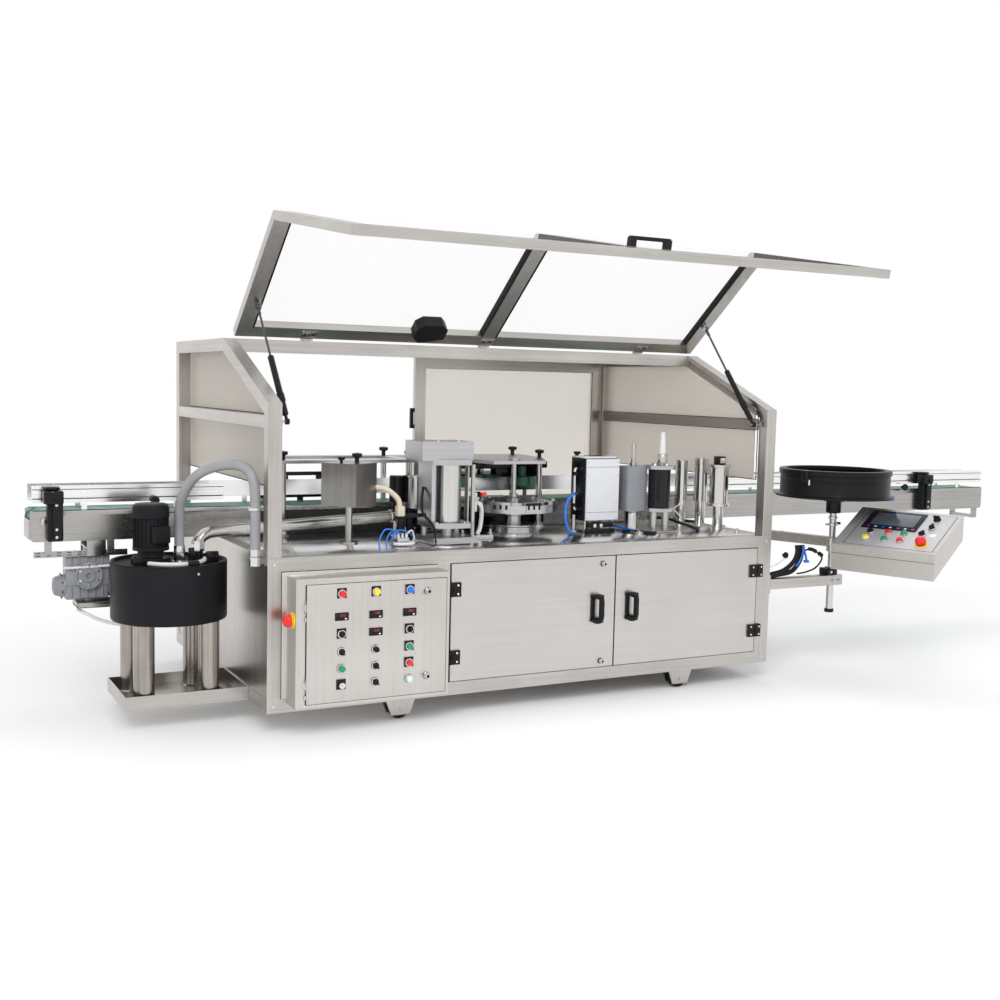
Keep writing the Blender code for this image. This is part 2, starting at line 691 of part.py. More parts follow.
def gas_springs():
    foot, top = strut_ends()
    along = (top - foot).normalized()
    length = (top - foot).length
    half = EYE_RADIUS * 0.62

    def at(x, distance):
        point = foot + along * distance
        return (x, point.x, point.y)

    for side, x in (("left", STRUT_INSET), ("right", RIGHT - STRUT_INSET)):
        eye = rod((x - half, *foot), (x + half, *foot), EYE_RADIUS, 12)
        r, collar = STRUT_RADIUS, STRUT_RADIUS + 0.003
        profile = ((0.0, 0.004), (0.007, 0.004), (0.007, 0.034), (r, 0.040), (r, 0.110), (collar, 0.112), (collar, 0.148))
        profile += ((r, 0.150), (r, STRUT_TUBE_LENGTH), (0.0, STRUT_TUBE_LENGTH))
        pieces = [turned(profile, (x, *foot), (0.0, along.x, along.y), 12)]
        bore_start = at(x, STRUT_TUBE_LENGTH - 0.295)
        cuts = [rod(bore_start, at(x, STRUT_TUBE_LENGTH + 0.01), ROD_RADIUS + GAP, 12)]
        cuts.append(rod((x - 0.02, *foot), (x + 0.02, *foot), PIN_RADIUS + GAP, 12))
        finish(f"strut_cylinder_{side}", "black_paint", [eye, *pieces], cuts, pivot=(x, *foot))
        rod_eye = rod((x - half, *top), (x + half, *top), EYE_RADIUS, 12)
        start, neck, end = STRUT_TUBE_LENGTH - ROD_HIDDEN, length - 0.045, length - 0.004
        profile = ((0.0, start), (ROD_RADIUS, start), (ROD_RADIUS, neck), (0.008, neck), (0.008, end), (0.0, end))
        bar = turned(profile, (x, *foot), (0.0, along.x, along.y), 8)
        finish(f"strut_rod_{side}", "black_paint", [rod_eye, bar], pivot=(x, *top))


# Doors


def door_hinge_left():
    return STILE_LEFT + TUBE + 0.003


def door_hinge_right():
    return RIGHT - TUBE - RIGHT_STILE - 0.003


def door_hinge_heights():
    low, high = FLOOR_CLEARANCE + TUBE, TABLE_TOP - TUBE
    return (low + 0.115, high - 0.120)


def fixed_leaf(x, z, side):
    """The leaf on the frame and the middle knuckle with its pin."""
    y = -BARREL_RADIUS - DOOR_PROUD - 0.002
    half = LEAF_HEIGHT / 2
    reach = sorted((x + side * 0.004, x + side * 0.030))
    pieces = [block(*reach, y - 0.002, 0.001, z - half, z + half)]
    bridge = sorted((x, x + side * 0.008))
    pieces.append(block(*bridge, y - 0.002, y + 0.002, z - half / 3, z + half / 3))
    knuckle = knuckle_profile(-half / 3, half / 3, BARREL_RADIUS, BARREL_PIN, half * 2 / 3)
    pieces.append(turned(knuckle, (x, y, z), sides=8))
    cut_side = sorted((x - side * 0.02, x + side * (BARREL_RADIUS + 0.001)))
    for low, high in ((z - half - 0.01, z - half / 3), (z + half / 3, z + half + 0.01)):
        clearance = block(*cut_side, y - 0.02, 0.02, low, high)
        combine(pieces[0], clearance, "DIFFERENCE")
    return pieces


def moving_leaf(x, z, side):
    """The leaf on a door with its two knuckles; side points from the axis to the door."""
    y = -BARREL_RADIUS - DOOR_PROUD - 0.002
    half = LEAF_HEIGHT / 2
    reach = sorted((x + side * 0.008, x + side * (0.008 + LEAF)))
    leaf = block(*reach, y - 0.002, -DOOR_PROUD + 0.001, z - half, z + half)
    for low, high in ((z - half, z - half / 3 - GAP), (z + half / 3 + GAP, z + half)):
        knuckle = rod((x, y, low), (x, y, high), BARREL_RADIUS, 8)
        bridge = sorted((x, x + side * 0.010))
        combine(knuckle, block(*bridge, y - 0.002, y + 0.002, low + 0.0005, high - 0.0005), "UNION")
        combine(knuckle, rod((x, y, low - 0.01), (x, y, high + 0.01), BARREL_PIN + GAP, 10), "DIFFERENCE")
        combine(leaf, knuckle, "UNION")
    return leaf


def bridge_handle(x, z, half, y):
    """A black bridge handle that stands on a front face at y."""
    grip = block(x - 0.012, x + 0.012, y - 0.042, y - 0.026, z - half, z + half, 0.005)
    pieces = [grip]
    for end in (-1, 1):
        foot = sorted((z + end * (half - 0.026), z + end * half))
        pieces.append(block(x - 0.013, x + 0.013, y - 0.036, y + 0.001, *foot))
    return pieces


def cabinet_doors():
    low, high = FLOOR_CLEARANCE + TUBE + DOOR_MARGIN, TABLE_TOP - TUBE - DOOR_MARGIN
    hinge_y = -BARREL_RADIUS - DOOR_PROUD - 0.002
    meeting = (door_hinge_left() + door_hinge_right()) / 2 + 0.0075
    spans = (
        ("door_left", door_hinge_left(), 1, meeting - DOOR_MARGIN),
        ("door_right", door_hinge_right(), -1, meeting + DOOR_MARGIN),
    )
    for name, hinge, side, end in spans:
        x0, x1 = sorted((hinge + side * 0.002, end))
        tray = block(x0, x1, -DOOR_PROUD, DOOR_DEPTH - DOOR_PROUD, low, high, 0.002)
        hollow = block(x0 + SHEET, x1 - SHEET, -DOOR_PROUD + SHEET, DOOR_DEPTH, low + SHEET, high - SHEET)
        combine(tray, hollow, "DIFFERENCE")
        pieces = [tray]
        for z in door_hinge_heights():
            pieces.append(moving_leaf(hinge, z, side))
        handle_x = end - side * 0.096
        pieces += bridge_handle(handle_x, (low + high) / 2 + 0.02, 0.080, -DOOR_PROUD)
        if side > 0:
            for z in (low + 0.030, high - 0.036):
                pieces.append(rod((end - 0.072, 0.001 - DOOR_PROUD, z), (end - 0.072, -DOOR_PROUD - 0.010, z), 0.011, 10))
        finish(name, "stainless", pieces, pivot=(hinge, hinge_y, (low + high) / 2))


def rear_door_limits():
    left = 1.360
    return left, RIGHT - TUBE - DOOR_MARGIN, TABLE_TOP + DOOR_MARGIN, ROOF_TOP - REAR_BEAM_HEIGHT - DOOR_MARGIN


def rear_door_axis():
    return RIGHT - TUBE - 0.001, BACK + BARREL_RADIUS + 0.002


def rear_door_knuckles():
    """The fixed knuckles of the rear door on the right rear post."""
    x, y = rear_door_axis()
    pieces = []
    for z in rear_hinge_heights():
        knuckle = knuckle_profile(-0.012, 0.012, BARREL_RADIUS, BARREL_PIN, 0.023)
        pieces.append(turned(knuckle, (x, y, z), sides=8))
        pieces.append(block(x, x + 0.030, BACK - 0.001, y, z - 0.0115, z + 0.0115))
    return pieces


def rear_hinge_heights():
    return (TABLE_TOP + 0.160, ROOF_TOP - 0.190)


def rear_door():
    x0, x1, z0, z1 = rear_door_limits()
    axis_x, axis_y = rear_door_axis()
    stile = 0.066
    y0, y1 = BACK - 0.030, BACK
    frame = block(x0, x1, y0, y1, z0, z1)
    window = block(x0 + stile, x1 - stile, y0 - 0.01, y1 + 0.01, z0 + stile, z1 - stile)
    combine(frame, window, "DIFFERENCE")
    pieces = [frame]
    for z in rear_hinge_heights():
        for low, high in ((z - 0.035, z - 0.012 - GAP), (z + 0.012 + GAP, z + 0.035)):
            knuckle = rod((axis_x, axis_y, low), (axis_x, axis_y, high), BARREL_RADIUS, 8)
            combine(knuckle, block(axis_x - 0.030, axis_x, y1 - 0.001, axis_y, low + 0.0005, high - 0.0005), "UNION")
            pin_hole = rod((axis_x, axis_y, low - 0.01), (axis_x, axis_y, high + 0.01), BARREL_PIN + GAP, 10)
            combine(knuckle, pin_hole, "DIFFERENCE")
            pieces.append(knuckle)
    pieces.append(block(x0 - 0.024, x0 - 0.008, y0 + 0.002, y0 + 0.022, above(0.484), above(0.6)))
    for z in (above(0.484), above(0.578)):
        pieces.append(block(x0 - 0.020, x0 + 0.001, y0 + 0.003, y0 + 0.021, z, z + 0.022))
    pivot = (axis_x, axis_y, (z0 + z1) / 2)
    finish("rear_door", "stainless", pieces, pivot=pivot)
    edge = stile + GAP
    pane = block(x0 + edge, x1 - edge, y0 + 0.012, y0 + 0.012 + PANE, z0 + edge, z1 - edge)
    finish("rear_window", "glass", [pane], pivot=pivot)


# Control box


def control_box():
    x0, x1 = BOX_LEFT, BOX_LEFT + BOX_WIDTH
    z0 = FLOOR_CLEARANCE + BOX_BOTTOM
    z1 = z0 + BOX_HEIGHT
    shell = block(x0, x1, -BOX_DEPTH, -GAP, z0, z1, SHEET / 2)
    wall = SHEET
    cuts = [block(x0 + wall, x1 - wall, -BOX_DEPTH + wall, -GAP - wall, z0 + wall, z1 - wall)]
    lap = BOX_DOOR_OVERLAP
    across, upright = (x0 + BOX_LIP + lap, x1 - lap * 2), (z0 + lap * 2, z1 - lap * 2 - 0.01)
    cuts.append(block(*across, -BOX_DEPTH - 0.01, -BOX_DEPTH + 0.01, *upright))
    y, z = estop_side()
    collar = rod((x0 + 0.001, y, z), (x0 - 0.016, y, z), 0.020, 12)
    cuts.append(rod((x0 + 0.02, y, z), (x0 - 0.02, y, z), STOP_STEM + GAP, 16))
    pieces = [shell, collar]
    x, hinge_y = box_door_axis()
    for low in box_hinge_heights():
        knuckle = knuckle_profile(-0.012, 0.012, BOX_BARREL, BOX_PIN, 0.018)
        pieces.append(turned(knuckle, (x, hinge_y, low), sides=8))
        pieces.append(block(x - 0.012, x, hinge_y, -BOX_DEPTH + 0.001, low - 0.0115, low + 0.0115))
    finish("control_box", "stainless", pieces, cuts, solver="MANIFOLD")


def box_door_axis():
    return BOX_LEFT + BOX_LIP - BOX_BARREL - 0.0008, -BOX_DEPTH - BOX_BARREL - 0.0005


def box_hinge_heights():
    z0 = FLOOR_CLEARANCE + BOX_BOTTOM
    return (z0 + 0.100, z0 + BOX_HEIGHT - 0.120)


def box_door_limits():
    z0 = FLOOR_CLEARANCE + BOX_BOTTOM
    return BOX_LEFT + BOX_LIP, BOX_LEFT + BOX_WIDTH - 0.015, z0 + 0.015, z0 + BOX_HEIGHT - 0.025


def button_places():
    """The controls on the control box door, row by row from the top left."""
    z0 = FLOOR_CLEARANCE + BOX_BOTTOM
    return [[(BOX_LEFT + x, z0 + z) for x in BUTTON_COLUMNS] for z in BUTTON_ROWS]


def control_door():
    x0, x1, z0, z1 = box_door_limits()
    axis_x, axis_y = box_door_axis()
    back = -BOX_DEPTH - GAP
    face = back - SHEET
    pieces = [block(x0, x1, face, back, z0, z1)]
    cuts = []
    rows = button_places()
    loose = (rows[0][0], rows[4][0])
    for row, places in enumerate(rows):
        for column, (x, z) in enumerate(places):
            if row == 1 or (row == 2 and column == 1):
                pieces.append(block(x - 0.032, x + 0.032, face - 0.004, face + 0.001, z - 0.018, z + 0.018))
                continue
            bezel = [(0.0, -0.001), (BEZEL_RADIUS, -0.001), (BEZEL_RADIUS, BEZEL_PROUD), (0.0, BEZEL_PROUD)]
            if (x, z) in loose:
                cuts.append(rod((x, back + 0.01, z), (x, face - 0.03, z), BUTTON_RADIUS + GAP, 16))
            elif (x, z) != rows[3][1]:
                bezel[3:] = [(BUTTON_RADIUS, BEZEL_PROUD), (BUTTON_RADIUS, BUTTON_PROUD), (0.0, BUTTON_PROUD)]
            pieces.append(turned(bezel, (x, face, z), (0.0, -1.0, 0.0), 8))
    for z in (z0 + 0.080, z1 - 0.055):
        pieces.append(rod((x1 - 0.095, face + 0.001, z), (x1 - 0.095, face - 0.022, z), 0.010, 8))
    for z in box_hinge_heights():
        for low, high in ((z - 0.030, z - 0.012 - GAP), (z + 0.012 + GAP, z + 0.030)):
            knuckle = rod((axis_x, axis_y, low), (axis_x, axis_y, high), BOX_BARREL, 8)
            bridge = block(axis_x, x0 + 0.012, axis_y - 0.0015, face + 0.0005, low + 0.0005, high - 0.0005)
            combine(knuckle, bridge, "UNION")
            pin_hole = rod((axis_x, axis_y, low - 0.01), (axis_x, axis_y, high + 0.01), BOX_PIN + GAP, 10)
            combine(knuckle, pin_hole, "DIFFERENCE")
            pieces.append(knuckle)
    finish("control_door", "stainless", pieces, cuts, pivot=(axis_x, axis_y, (z0 + z1) / 2))
    for name, (x, z), look in (("stop_button", loose[0], "red_plastic"), ("start_button", loose[1], "green_plastic")):
        cap = [(0.0, 0.0), (BUTTON_RADIUS, 0.0), (BUTTON_RADIUS, BUTTON_PROUD), (BUTTON_RADIUS * 0.7, BUTTON_PROUD + 0.003)]
        cap.append((0.0, BUTTON_PROUD + 0.004))
        finish(name, look, [turned(cap, (x, back, z), (0.0, -1.0, 0.0), 16)], pivot=(x, back, z))
    x, z = rows[3][1]
    front = face - BEZEL_PROUD - GAP
    knob = [turned(((0.0, 0.0), (0.013, 0.0), (0.011, 0.014), (0.0, 0.014)), (x, front, z), (0.0, -1.0, 0.0), 10)]
    knob.append(block(x - 0.003, x + 0.003, front - 0.019, front - 0.004, z - 0.010, z + 0.010))
    finish("speed_knob", "black_plastic", knob, pivot=(x, front, z))


def estop_side():
    return -0.080, FLOOR_CLEARANCE + BOX_BOTTOM + 0.372


def mushroom(name, base, axis):
    """An emergency stop: a stem through its collar and a wide red head."""
    stem = STOP_STEM
    profile = ((0.0, -0.012), (stem, -0.012), (stem, 0.023), (0.021, 0.023), (0.023, 0.028), (0.023, 0.034))
    profile += ((0.018, 0.041), (0.008, 0.044), (0.0, 0.045))
    finish(name, "red_plastic", [turned(profile, base, axis, 14)], pivot=base)


# Conveyor


def conveyor_spans():
    y0 = CONVEYOR_Y
    y1 = y0 + CONVEYOR_WIDTH
    return y0, y1, y0 + SIDE_PLATE, y1 - SIDE_PLATE


def conveyor_bed():
    y0, y1, inner0, inner1 = conveyor_spans()
    z0 = TABLE_TOP + BED_RISE
    z1 = z0 + BED_HEIGHT
    left, right = CONVEYOR_LEFT, CONVEYOR_RIGHT
    axle = BELT_TOP - BELT_LOOP / 2
    pieces = []
    for low, high in ((y0, inner0), (inner1, y1)):
        plate = extruded(rounded(left, right, z0, z1, 0.020, 3), "XZ", low, high)
        bearing = rod((left + 0.055, low - 0.01, axle), (left + 0.055, high + 0.01, axle), 0.0125 + GAP, 16)
        combine(plate, bearing, "DIFFERENCE")
        pieces.append(plate)
    bars = 6
    for number in range(bars):
        x = left + 0.180 + (CONVEYOR_LENGTH - 0.300) * number / (bars - 1)
        pieces.append(rod((x, y0 + 0.001, axle), (x, y1 - 0.001, axle), 0.012, 8))
    for x in (0.350, 1.250, 2.350):
        pieces.append(block(x - 0.030, x + 0.030, y0 + 0.001, inner0 + 0.030, ON_TABLE, z0 + 0.004))
        pieces.append(block(x - 0.030, x + 0.030, inner1 - 0.030, y1 - 0.001, ON_TABLE, z0 + 0.004))
    for x in (left + 0.100, right - 0.550):
        pieces += rail_clamp(x, y0)
    pieces.append(block(right - 0.080, right - 0.040, y0 + 0.001, y1 - 0.001, z0 - 0.060, z0 - 0.042))
    for low, high in ((y0, inner0), (inner1, y1)):
        pieces.append(block(right - 0.085, right - 0.035, low, high, z0 - 0.062, z0 + 0.030))
    pieces.append(block(left + 0.015, left + 0.420, y0 + 0.010, y0 + 0.014, z0 - 0.072, z0 - 0.045))
    for x in (left + 0.060, left + 0.330):
        pieces.append(block(x, x + 0.030, y0, y0 + 0.014, z0 - 0.060, z0 + 0.020))
    finish("conveyor_bed", "stainless", pieces)


def rail_clamp(x, y):
    """A black clamp on the side plate with the short arm that carries the near guide rail."""
    z0 = TABLE_TOP + BED_RISE
    top = TABLE_TOP + RAIL_RISE
    pieces = [block(x - 0.032, x + 0.032, y - 0.046, y + 0.001, z0 + 0.005, top + 0.045, 0.004)]
    arm_z = top + RAIL_HEIGHT / 2
    pieces.append(rod((x, y - 0.023, top + 0.030), (x, y - 0.023, arm_z + 0.032), 0.014, 10))
    pieces.append(rod((x, y - 0.080, top + 0.020), (x, y - 0.023, top + 0.020), 0.010, 8))
    return pieces


def conveyor_belt():
    y0, y1, inner0, inner1 = conveyor_spans()
    low, high = inner0 + BELT_CLEARANCE, inner1 - BELT_CLEARANCE
    radius = BELT_LOOP / 2
    z = BELT_TOP - radius
    left, right = CONVEYOR_LEFT + 0.005 + radius, CONVEYOR_RIGHT - 0.005 - radius

    def loop(r):
        turns = [math.pi * (0.5 + step / 12) for step in range(13)]
        around = [(left + r * math.cos(a), z + r * math.sin(a)) for a in turns]
        return around + [(right - r * math.cos(a), z - r * math.sin(a)) for a in turns]

    belt = extruded(loop(radius), "XZ", low, high)
    inside = extruded(loop(radius - BELT_THICKNESS), "XZ", low - 0.01, high + 0.01)
    finish("conveyor_belt", "green_plastic", [belt], [inside])
    drive = radius - BELT_THICKNESS - BELT_SEAT
    middle = (left, (y0 + y1) / 2, z)
    half = (high - low) / 2
    profile = ((0.0, -CONVEYOR_WIDTH / 2 - 0.012), (0.0125, -CONVEYOR_WIDTH / 2 - 0.012), (0.0125, -half), (drive, -half))
    profile += ((drive, half), (0.0125, half), (0.0125, CONVEYOR_WIDTH / 2 + 0.012), (0.0, CONVEYOR_WIDTH / 2 + 0.012))
    finish("drive_roller", "stainless", [turned(profile, middle, (0.0, 1.0, 0.0), 20)], pivot=middle)


def guide_rails():
    """Slotted aluminium rails on both sides of the belt, each on short posts from the bed."""
    y0, y1, inner0, inner1 = conveyor_spans()
    z0 = TABLE_TOP + RAIL_RISE
    z1 = z0 + RAIL_HEIGHT
    bed_top = TABLE_TOP + BED_RISE + BED_HEIGHT + GAP
    spans = (("guide_rail_left", CONVEYOR_LEFT + 0.01, 0.020, -1), ("guide_rail_right", 2.690, CONVEYOR_RIGHT - 0.01, -1))
    spans += (("guide_rail_rear", CONVEYOR_LEFT + 0.01, CONVEYOR_RIGHT - 0.01, 1),)
    for name, left, right, side in spans:
        face = y0 + 0.002 if side < 0 else y1 - 0.002
        back = face - side * RAIL_THICKNESS
        low, high = sorted((face, back))
        outline = [(low, z0), (high, z0), (high, z1), (low, z1)]
        rail = extruded(outline, "YZ", left, right)
        for slot in (z0 + 0.016, z1 - 0.028):
            depth = sorted((face + side * 0.01, face - side * 0.006))
            combine(rail, block(left - 0.01, right + 0.01, *depth, slot, slot + 0.012), "DIFFERENCE")
        pieces = [rail]
        count = max(2, round((right - left) / 0.9) + 1)
        plate = sorted((y0 + 0.0001, inner0 + 0.010)) if side < 0 else sorted((inner1 - 0.010, y1 - 0.0001))
        for number in range(count):
            x = left + 0.220 + (right - left - 0.440) * number / (count - 1)
            post = block(x - 0.012, x + 0.012, plate[0], plate[0] + SIDE_PLATE, bed_top, z0 + 0.010)
            if side > 0:
                post = moved(post, Matrix.Translation((0.0, plate[1] - plate[0] - SIDE_PLATE, 0.0)))
            pieces.append(post)
        finish(name, "aluminium", pieces)


def gearmotor():
    """The belt drive: a bracket under the bed, a worm gearbox and its motor, with a drip tray below."""
    y0, y1, inner0, inner1 = conveyor_spans()
    z0 = TABLE_TOP + BED_RISE
    pieces = [block(-0.600, -0.515, inner0 + GAP, inner1 - GAP, z0 - 0.040, z0 - 0.032)]
    pieces.append(block(-0.598, -0.517, y0 + 0.030, y0 + 0.130, above(-0.066), z0 - 0.036))
    for low, high in ((inner0 + GAP, inner0 + 0.005), (inner1 - 0.005, inner1 - GAP)):
        pieces.append(block(-0.599, -0.516, low, high, z0 - 0.036, z0 + 0.030))
    pieces.append(block(-0.690, -0.490, y0 + 0.020, y0 + 0.140, above(-0.246), above(-0.056), 0.012))
    pieces.append(rod((-0.590, y0 + 0.001, above(-0.156)), (-0.590, y0 + 0.160, above(-0.156)), 0.062, 18))
    pieces.append(rod((-0.500, y0 + 0.080, above(-0.206)), (-0.300, y0 + 0.080, above(-0.206)), 0.060, 18))
    pieces.append(rod((-0.735, y0 + 0.080, above(-0.206)), (-0.680, y0 + 0.080, above(-0.206)), 0.052, 16))
    pieces.append(block(-0.640, -0.455, y0 + 0.010, y0 + 0.150, above(-0.304), above(-0.296)))
    pieces.append(block(-0.600, -0.560, y0 + 0.060, y0 + 0.100, above(-0.301), above(-0.236)))
    finish("gearmotor", "grey_plastic", pieces)


# Glue supply


def tank_stand():
    low = FLOOR_CLEARANCE
    high = low + TUBE
    x0, x1 = TRAY_LEFT, -GAP
    y0, y1 = TRAY_FRONT, TRAY_FRONT + TRAY_DEPTH
    tray = block(x0, x1, y0, y1, low, high)
    combine(tray, block(x0 + 0.004, x1 - 0.004, y0 + 0.004, y1 - 0.004, low + 0.012, high + 0.01), "DIFFERENCE")
    pieces = [tray]
    for x in (TANK_X - LEG_SPACING / 2, TANK_X + LEG_SPACING / 2):
        for y in (TANK_Y - LEG_SPACING / 2, TANK_Y + LEG_SPACING / 2):
            pieces.append(rod((x, y, low + 0.010), (x, y, TANK_BOTTOM - GAP), LEG_RADIUS, 14))
    finish("tank_stand", "stainless", pieces)


def glue_tank():
    r, h, wall = TANK_RADIUS, TANK_HEIGHT, TANK_WALL
    profile = ((0.0, 0.0), (r - 0.006, 0.0), (r, 0.006), (r, h - 0.003), (r - 0.003, h), (r - wall, h))
    profile += ((r - wall, wall), (0.0, wall))
    finish("glue_tank", "black_paint", [turned(profile, (TANK_X, TANK_Y, TANK_BOTTOM), sides=TANK_SIDES)])


def tank_mixer():
    """The recessed lid, which hangs on the rim, with the stirrer's motor and the two pipe feet."""
    r = TANK_RADIUS
    rim = TANK_BOTTOM + TANK_HEIGHT + GAP
    inner = r - TANK_WALL - 0.001
    profile = ((0.0, -0.016), (inner, -0.016), (inner, 0.0), (r - 0.001, 0.0), (r - 0.001, 0.004), (inner - 0.014, 0.004))
    profile += ((inner - 0.014, -0.008), (0.0, -0.008))
    pieces = [turned(profile, (TANK_X, TANK_Y, rim), sides=TANK_SIDES)]
    x, y = TANK_X - 0.079, TANK_Y
    m = MOTOR_RADIUS
    body = [(0.0, -0.010), (m + 0.006, -0.010), (m + 0.006, 0.018), (m * 0.72, 0.022), (m * 0.72, 0.046), (m + 0.003, 0.050)]
    body += [(m + 0.003, 0.060)]
    fins = 3
    for number in range(fins):
        z = 0.060 + 0.145 * number / fins
        body += [(m - 0.006, z), (m - 0.006, z + 0.009), (m, z + 0.009), (m, z + 0.145 / fins)]
    body += [(m + 0.001, 0.205), (m + 0.001, 0.246), (m - 0.014, 0.255), (0.0, 0.255)]
    pieces.append(turned(body, (x, y, rim), sides=14))
    pieces.append(rod((x, y, rim - 0.160), (x, y, rim - 0.008), 0.008, 8))
    for angle in (0.0, math.pi / 2):
        paddle = block(-0.060, 0.060, -0.002, 0.002, -0.160, -0.130)
        pieces.append(moved(paddle, Matrix.Translation((x, y, rim)) @ Matrix.Rotation(angle, 4, "Z")))
    hx, hy = hose_foot()
    pieces.append(rod((hx, hy, rim - 0.010), (hx, hy, rim + 0.036 - GAP), HOSE_RADIUS + 0.003, 12))
    px, py = pipe_foot()
    pieces.append(rod((px, py, rim - 0.010), (px, py, rim + 0.036 - GAP), PIPE_RADIUS * 0.8, 12))
    finish("tank_mixer", "black_paint", pieces)


def hose_foot():
    return TANK_X + 0.040, TANK_Y - 0.020


def pipe_foot():
    return TANK_X + 0.127, TANK_Y


def glue_hose():
    """The grey hose from the tank lid up over the side and down to the frame beside the front post."""
    x, y = hose_foot()
    z = TANK_BOTTOM + TANK_HEIGHT + GAP + 0.036
    ferrule = 0.030
    route = [(x, y, z + 0.012), (x - 0.002, y - 0.006, z + 0.120), (x - 0.005, y - 0.060, z + 0.240)]
    route.append((x + 0.040, y - 0.150, z + 0.350))
    route += [(-0.130, 0.220, above(0.376)), (-0.062, 0.130, above(0.372)), (-0.034, 0.090, above(0.314))]
    route.append((-0.030, 0.080, above(0.214)))
    route += [(-0.030, 0.078, above(0.114)), (-0.030, 0.078, TABLE_TOP - 0.020)]
    pieces = [bent_tube(route, HOSE_RADIUS), rod((x, y, z), (x, y, z + ferrule), HOSE_RADIUS + 0.003, 12)]
    pieces.append(rod((-0.030, 0.078, TABLE_TOP - 0.040), (-0.030, 0.078, TABLE_TOP + 0.030), HOSE_RADIUS + 0.003, 12))
    pieces.append(block(-0.030, -GAP, 0.066, 0.090, TABLE_TOP - 0.032, TABLE_TOP - 0.008))
    finish("glue_hose", "grey_plastic", pieces)


def glue_pipe():
    """The stainless return pipe from the tank lid through the side guard to the glue station."""
    x, y = pipe_foot()
    z = TANK_BOTTOM + TANK_HEIGHT + GAP + 0.036
    lift = z + 0.075
    route = [(x, y, z + 0.028), (x + 0.012, y + 0.004, z + 0.056), (x + 0.045, y + 0.012, lift)]
    route += [(x + 0.090, y + 0.020, lift + 0.006), (0.100, y + 0.045, lift + 0.012)]
    route += [(GLUE_X * 0.4568, y + 0.080, lift + 0.026)]
    route += [(GLUE_X - 0.165, y + 0.110, lift + 0.040)]
    pieces = [bent_tube(route, PIPE_RADIUS), rod((x, y, z), (x, y, z + 0.045), PIPE_RADIUS + 0.004, 12)]
    end = route[-1]
    before, after = (end[0] - 0.030, end[1] - 0.004, end[2]), (end[0] + 0.030, end[1] + 0.004, end[2] + 0.001)
    pieces.append(rod(before, after, PIPE_RADIUS + 0.005, 12))
    pieces.append(rod((end[0], end[1], ON_TABLE), (end[0], end[1], end[2]), 0.012, 10))
    pieces.append(rod((end[0], end[1], ON_TABLE), (end[0], end[1], ON_TABLE + 0.008), 0.030, 12))
    finish("glue_pipe", "stainless", pieces)


# Machinery on the table


def cover_box():
    """A square steel cover, turned on its corner, on a round pole, with a star knob on top."""
    x, y = COVER_X, 0.350
    pieces = [post(x, y, ON_TABLE, above(0.182), 0.0165, 0.045)]
    half = 0.092
    shell = block(-half, half, -half, half, above(0.179), above(0.374))
    combine(shell, block(-half + 0.003, half - 0.003, -half + 0.003, half - 0.003, above(0.185), above(0.37)), "DIFFERENCE")
    combine(shell, rod((half - 0.02, 0.0, above(0.314)), (half + 0.02, 0.0, above(0.314)), 0.016, 10), "DIFFERENCE")
    pieces.append(moved(shell, Matrix.Translation((x, y, 0.0)) @ Matrix.Rotation(math.radians(38.0), 4, "Z")))
    pieces += star_knob(x + 0.045, y + 0.020, above(0.373))
    finish("cover_box", "stainless", pieces)


def star_knob(x, y, z):
    """A turned clamping knob on a short stud."""
    profile = ((0.0, 0.0), (0.011, 0.0), (0.011, 0.022), (0.025, 0.028), (0.025, 0.042), (0.0, 0.047))
    return [turned(profile, (x, y, z), sides=8)]


def glue_station():
    """Base plate, column, bearing plates and cover of the glue roller, with the pump behind it."""
    x, y = GLUE_X, 0.335
    z = ON_TABLE
    pieces = [block(x - 0.115, x + 0.115, y - 0.105, y + 0.105, z, z + 0.022)]
    pieces.append(rod((x, y, z + 0.020), (x, y, above(0.068)), 0.026, 14))
    plate = [(x - 0.110, y - 0.070), (x - 0.050, y - 0.105), (x + 0.075, y - 0.105), (x + 0.100, y - 0.060)]
    plate += [(x + 0.100, y + 0.100), (x - 0.110, y + 0.100)]
    pieces.append(extruded(plate, "XY", above(0.066), above(0.09)))
    pieces.append(extruded(plate, "XY", above(0.364), above(0.39)))
    pieces.append(block(x - 0.110, x + 0.100, y + 0.078, y + 0.096, above(0.084), above(0.369)))
    pieces.append(block(x - 0.110, x - 0.090, y - 0.060, y + 0.090, above(0.084), above(0.369)))
    for side in (-0.085, 0.085):
        pieces.append(rod((x + side, y + 0.075, z + 0.010), (x + side, y + 0.075, above(0.074)), 0.014, 8))
    cover = block(x - 0.170, x + 0.095, y - 0.080, y + 0.120, above(0.384), above(0.474))
    combine(cover, block(x - 0.167, x + 0.092, y - 0.077, y + 0.117, above(0.392), above(0.471)), "DIFFERENCE")
    combine(cover, block(x - 0.10, x + 0.05, y + 0.100, y + 0.140, above(0.414), above(0.449)), "DIFFERENCE")
    pieces.append(cover)
    pieces.append(block(x - 0.100, x - 0.060, y + 0.090, y + 0.170, above(0.134), above(0.159)))
    pump = ((0.0, 0.0), (0.045, 0.0), (0.045, 0.150), (0.038, 0.158), (0.0, 0.158))
    pieces.append(turned(pump, (x - 0.080, y + 0.185, above(0.139)), sides=14))
    bearing = rod((x, y - 0.010, above(0.034)), (x, y - 0.010, above(0.383)), 0.012 + GAP, 20)
    finish("glue_station", "stainless", pieces, [bearing])
    roller_axis = (x, y - 0.010, above(0.09) + GAP)
    height = above(0.364) - GAP - roller_axis[2]
    profile = ((0.0, -0.020), (0.012, -0.020), (0.012, 0.0), (0.060, 0.0), (0.060, height), (0.012, height), (0.012, height + 0.018))
    profile += ((0.0, height + 0.018),)
    finish("glue_roller", "stainless", [turned(profile, roller_axis, sides=26)], pivot=roller_axis)


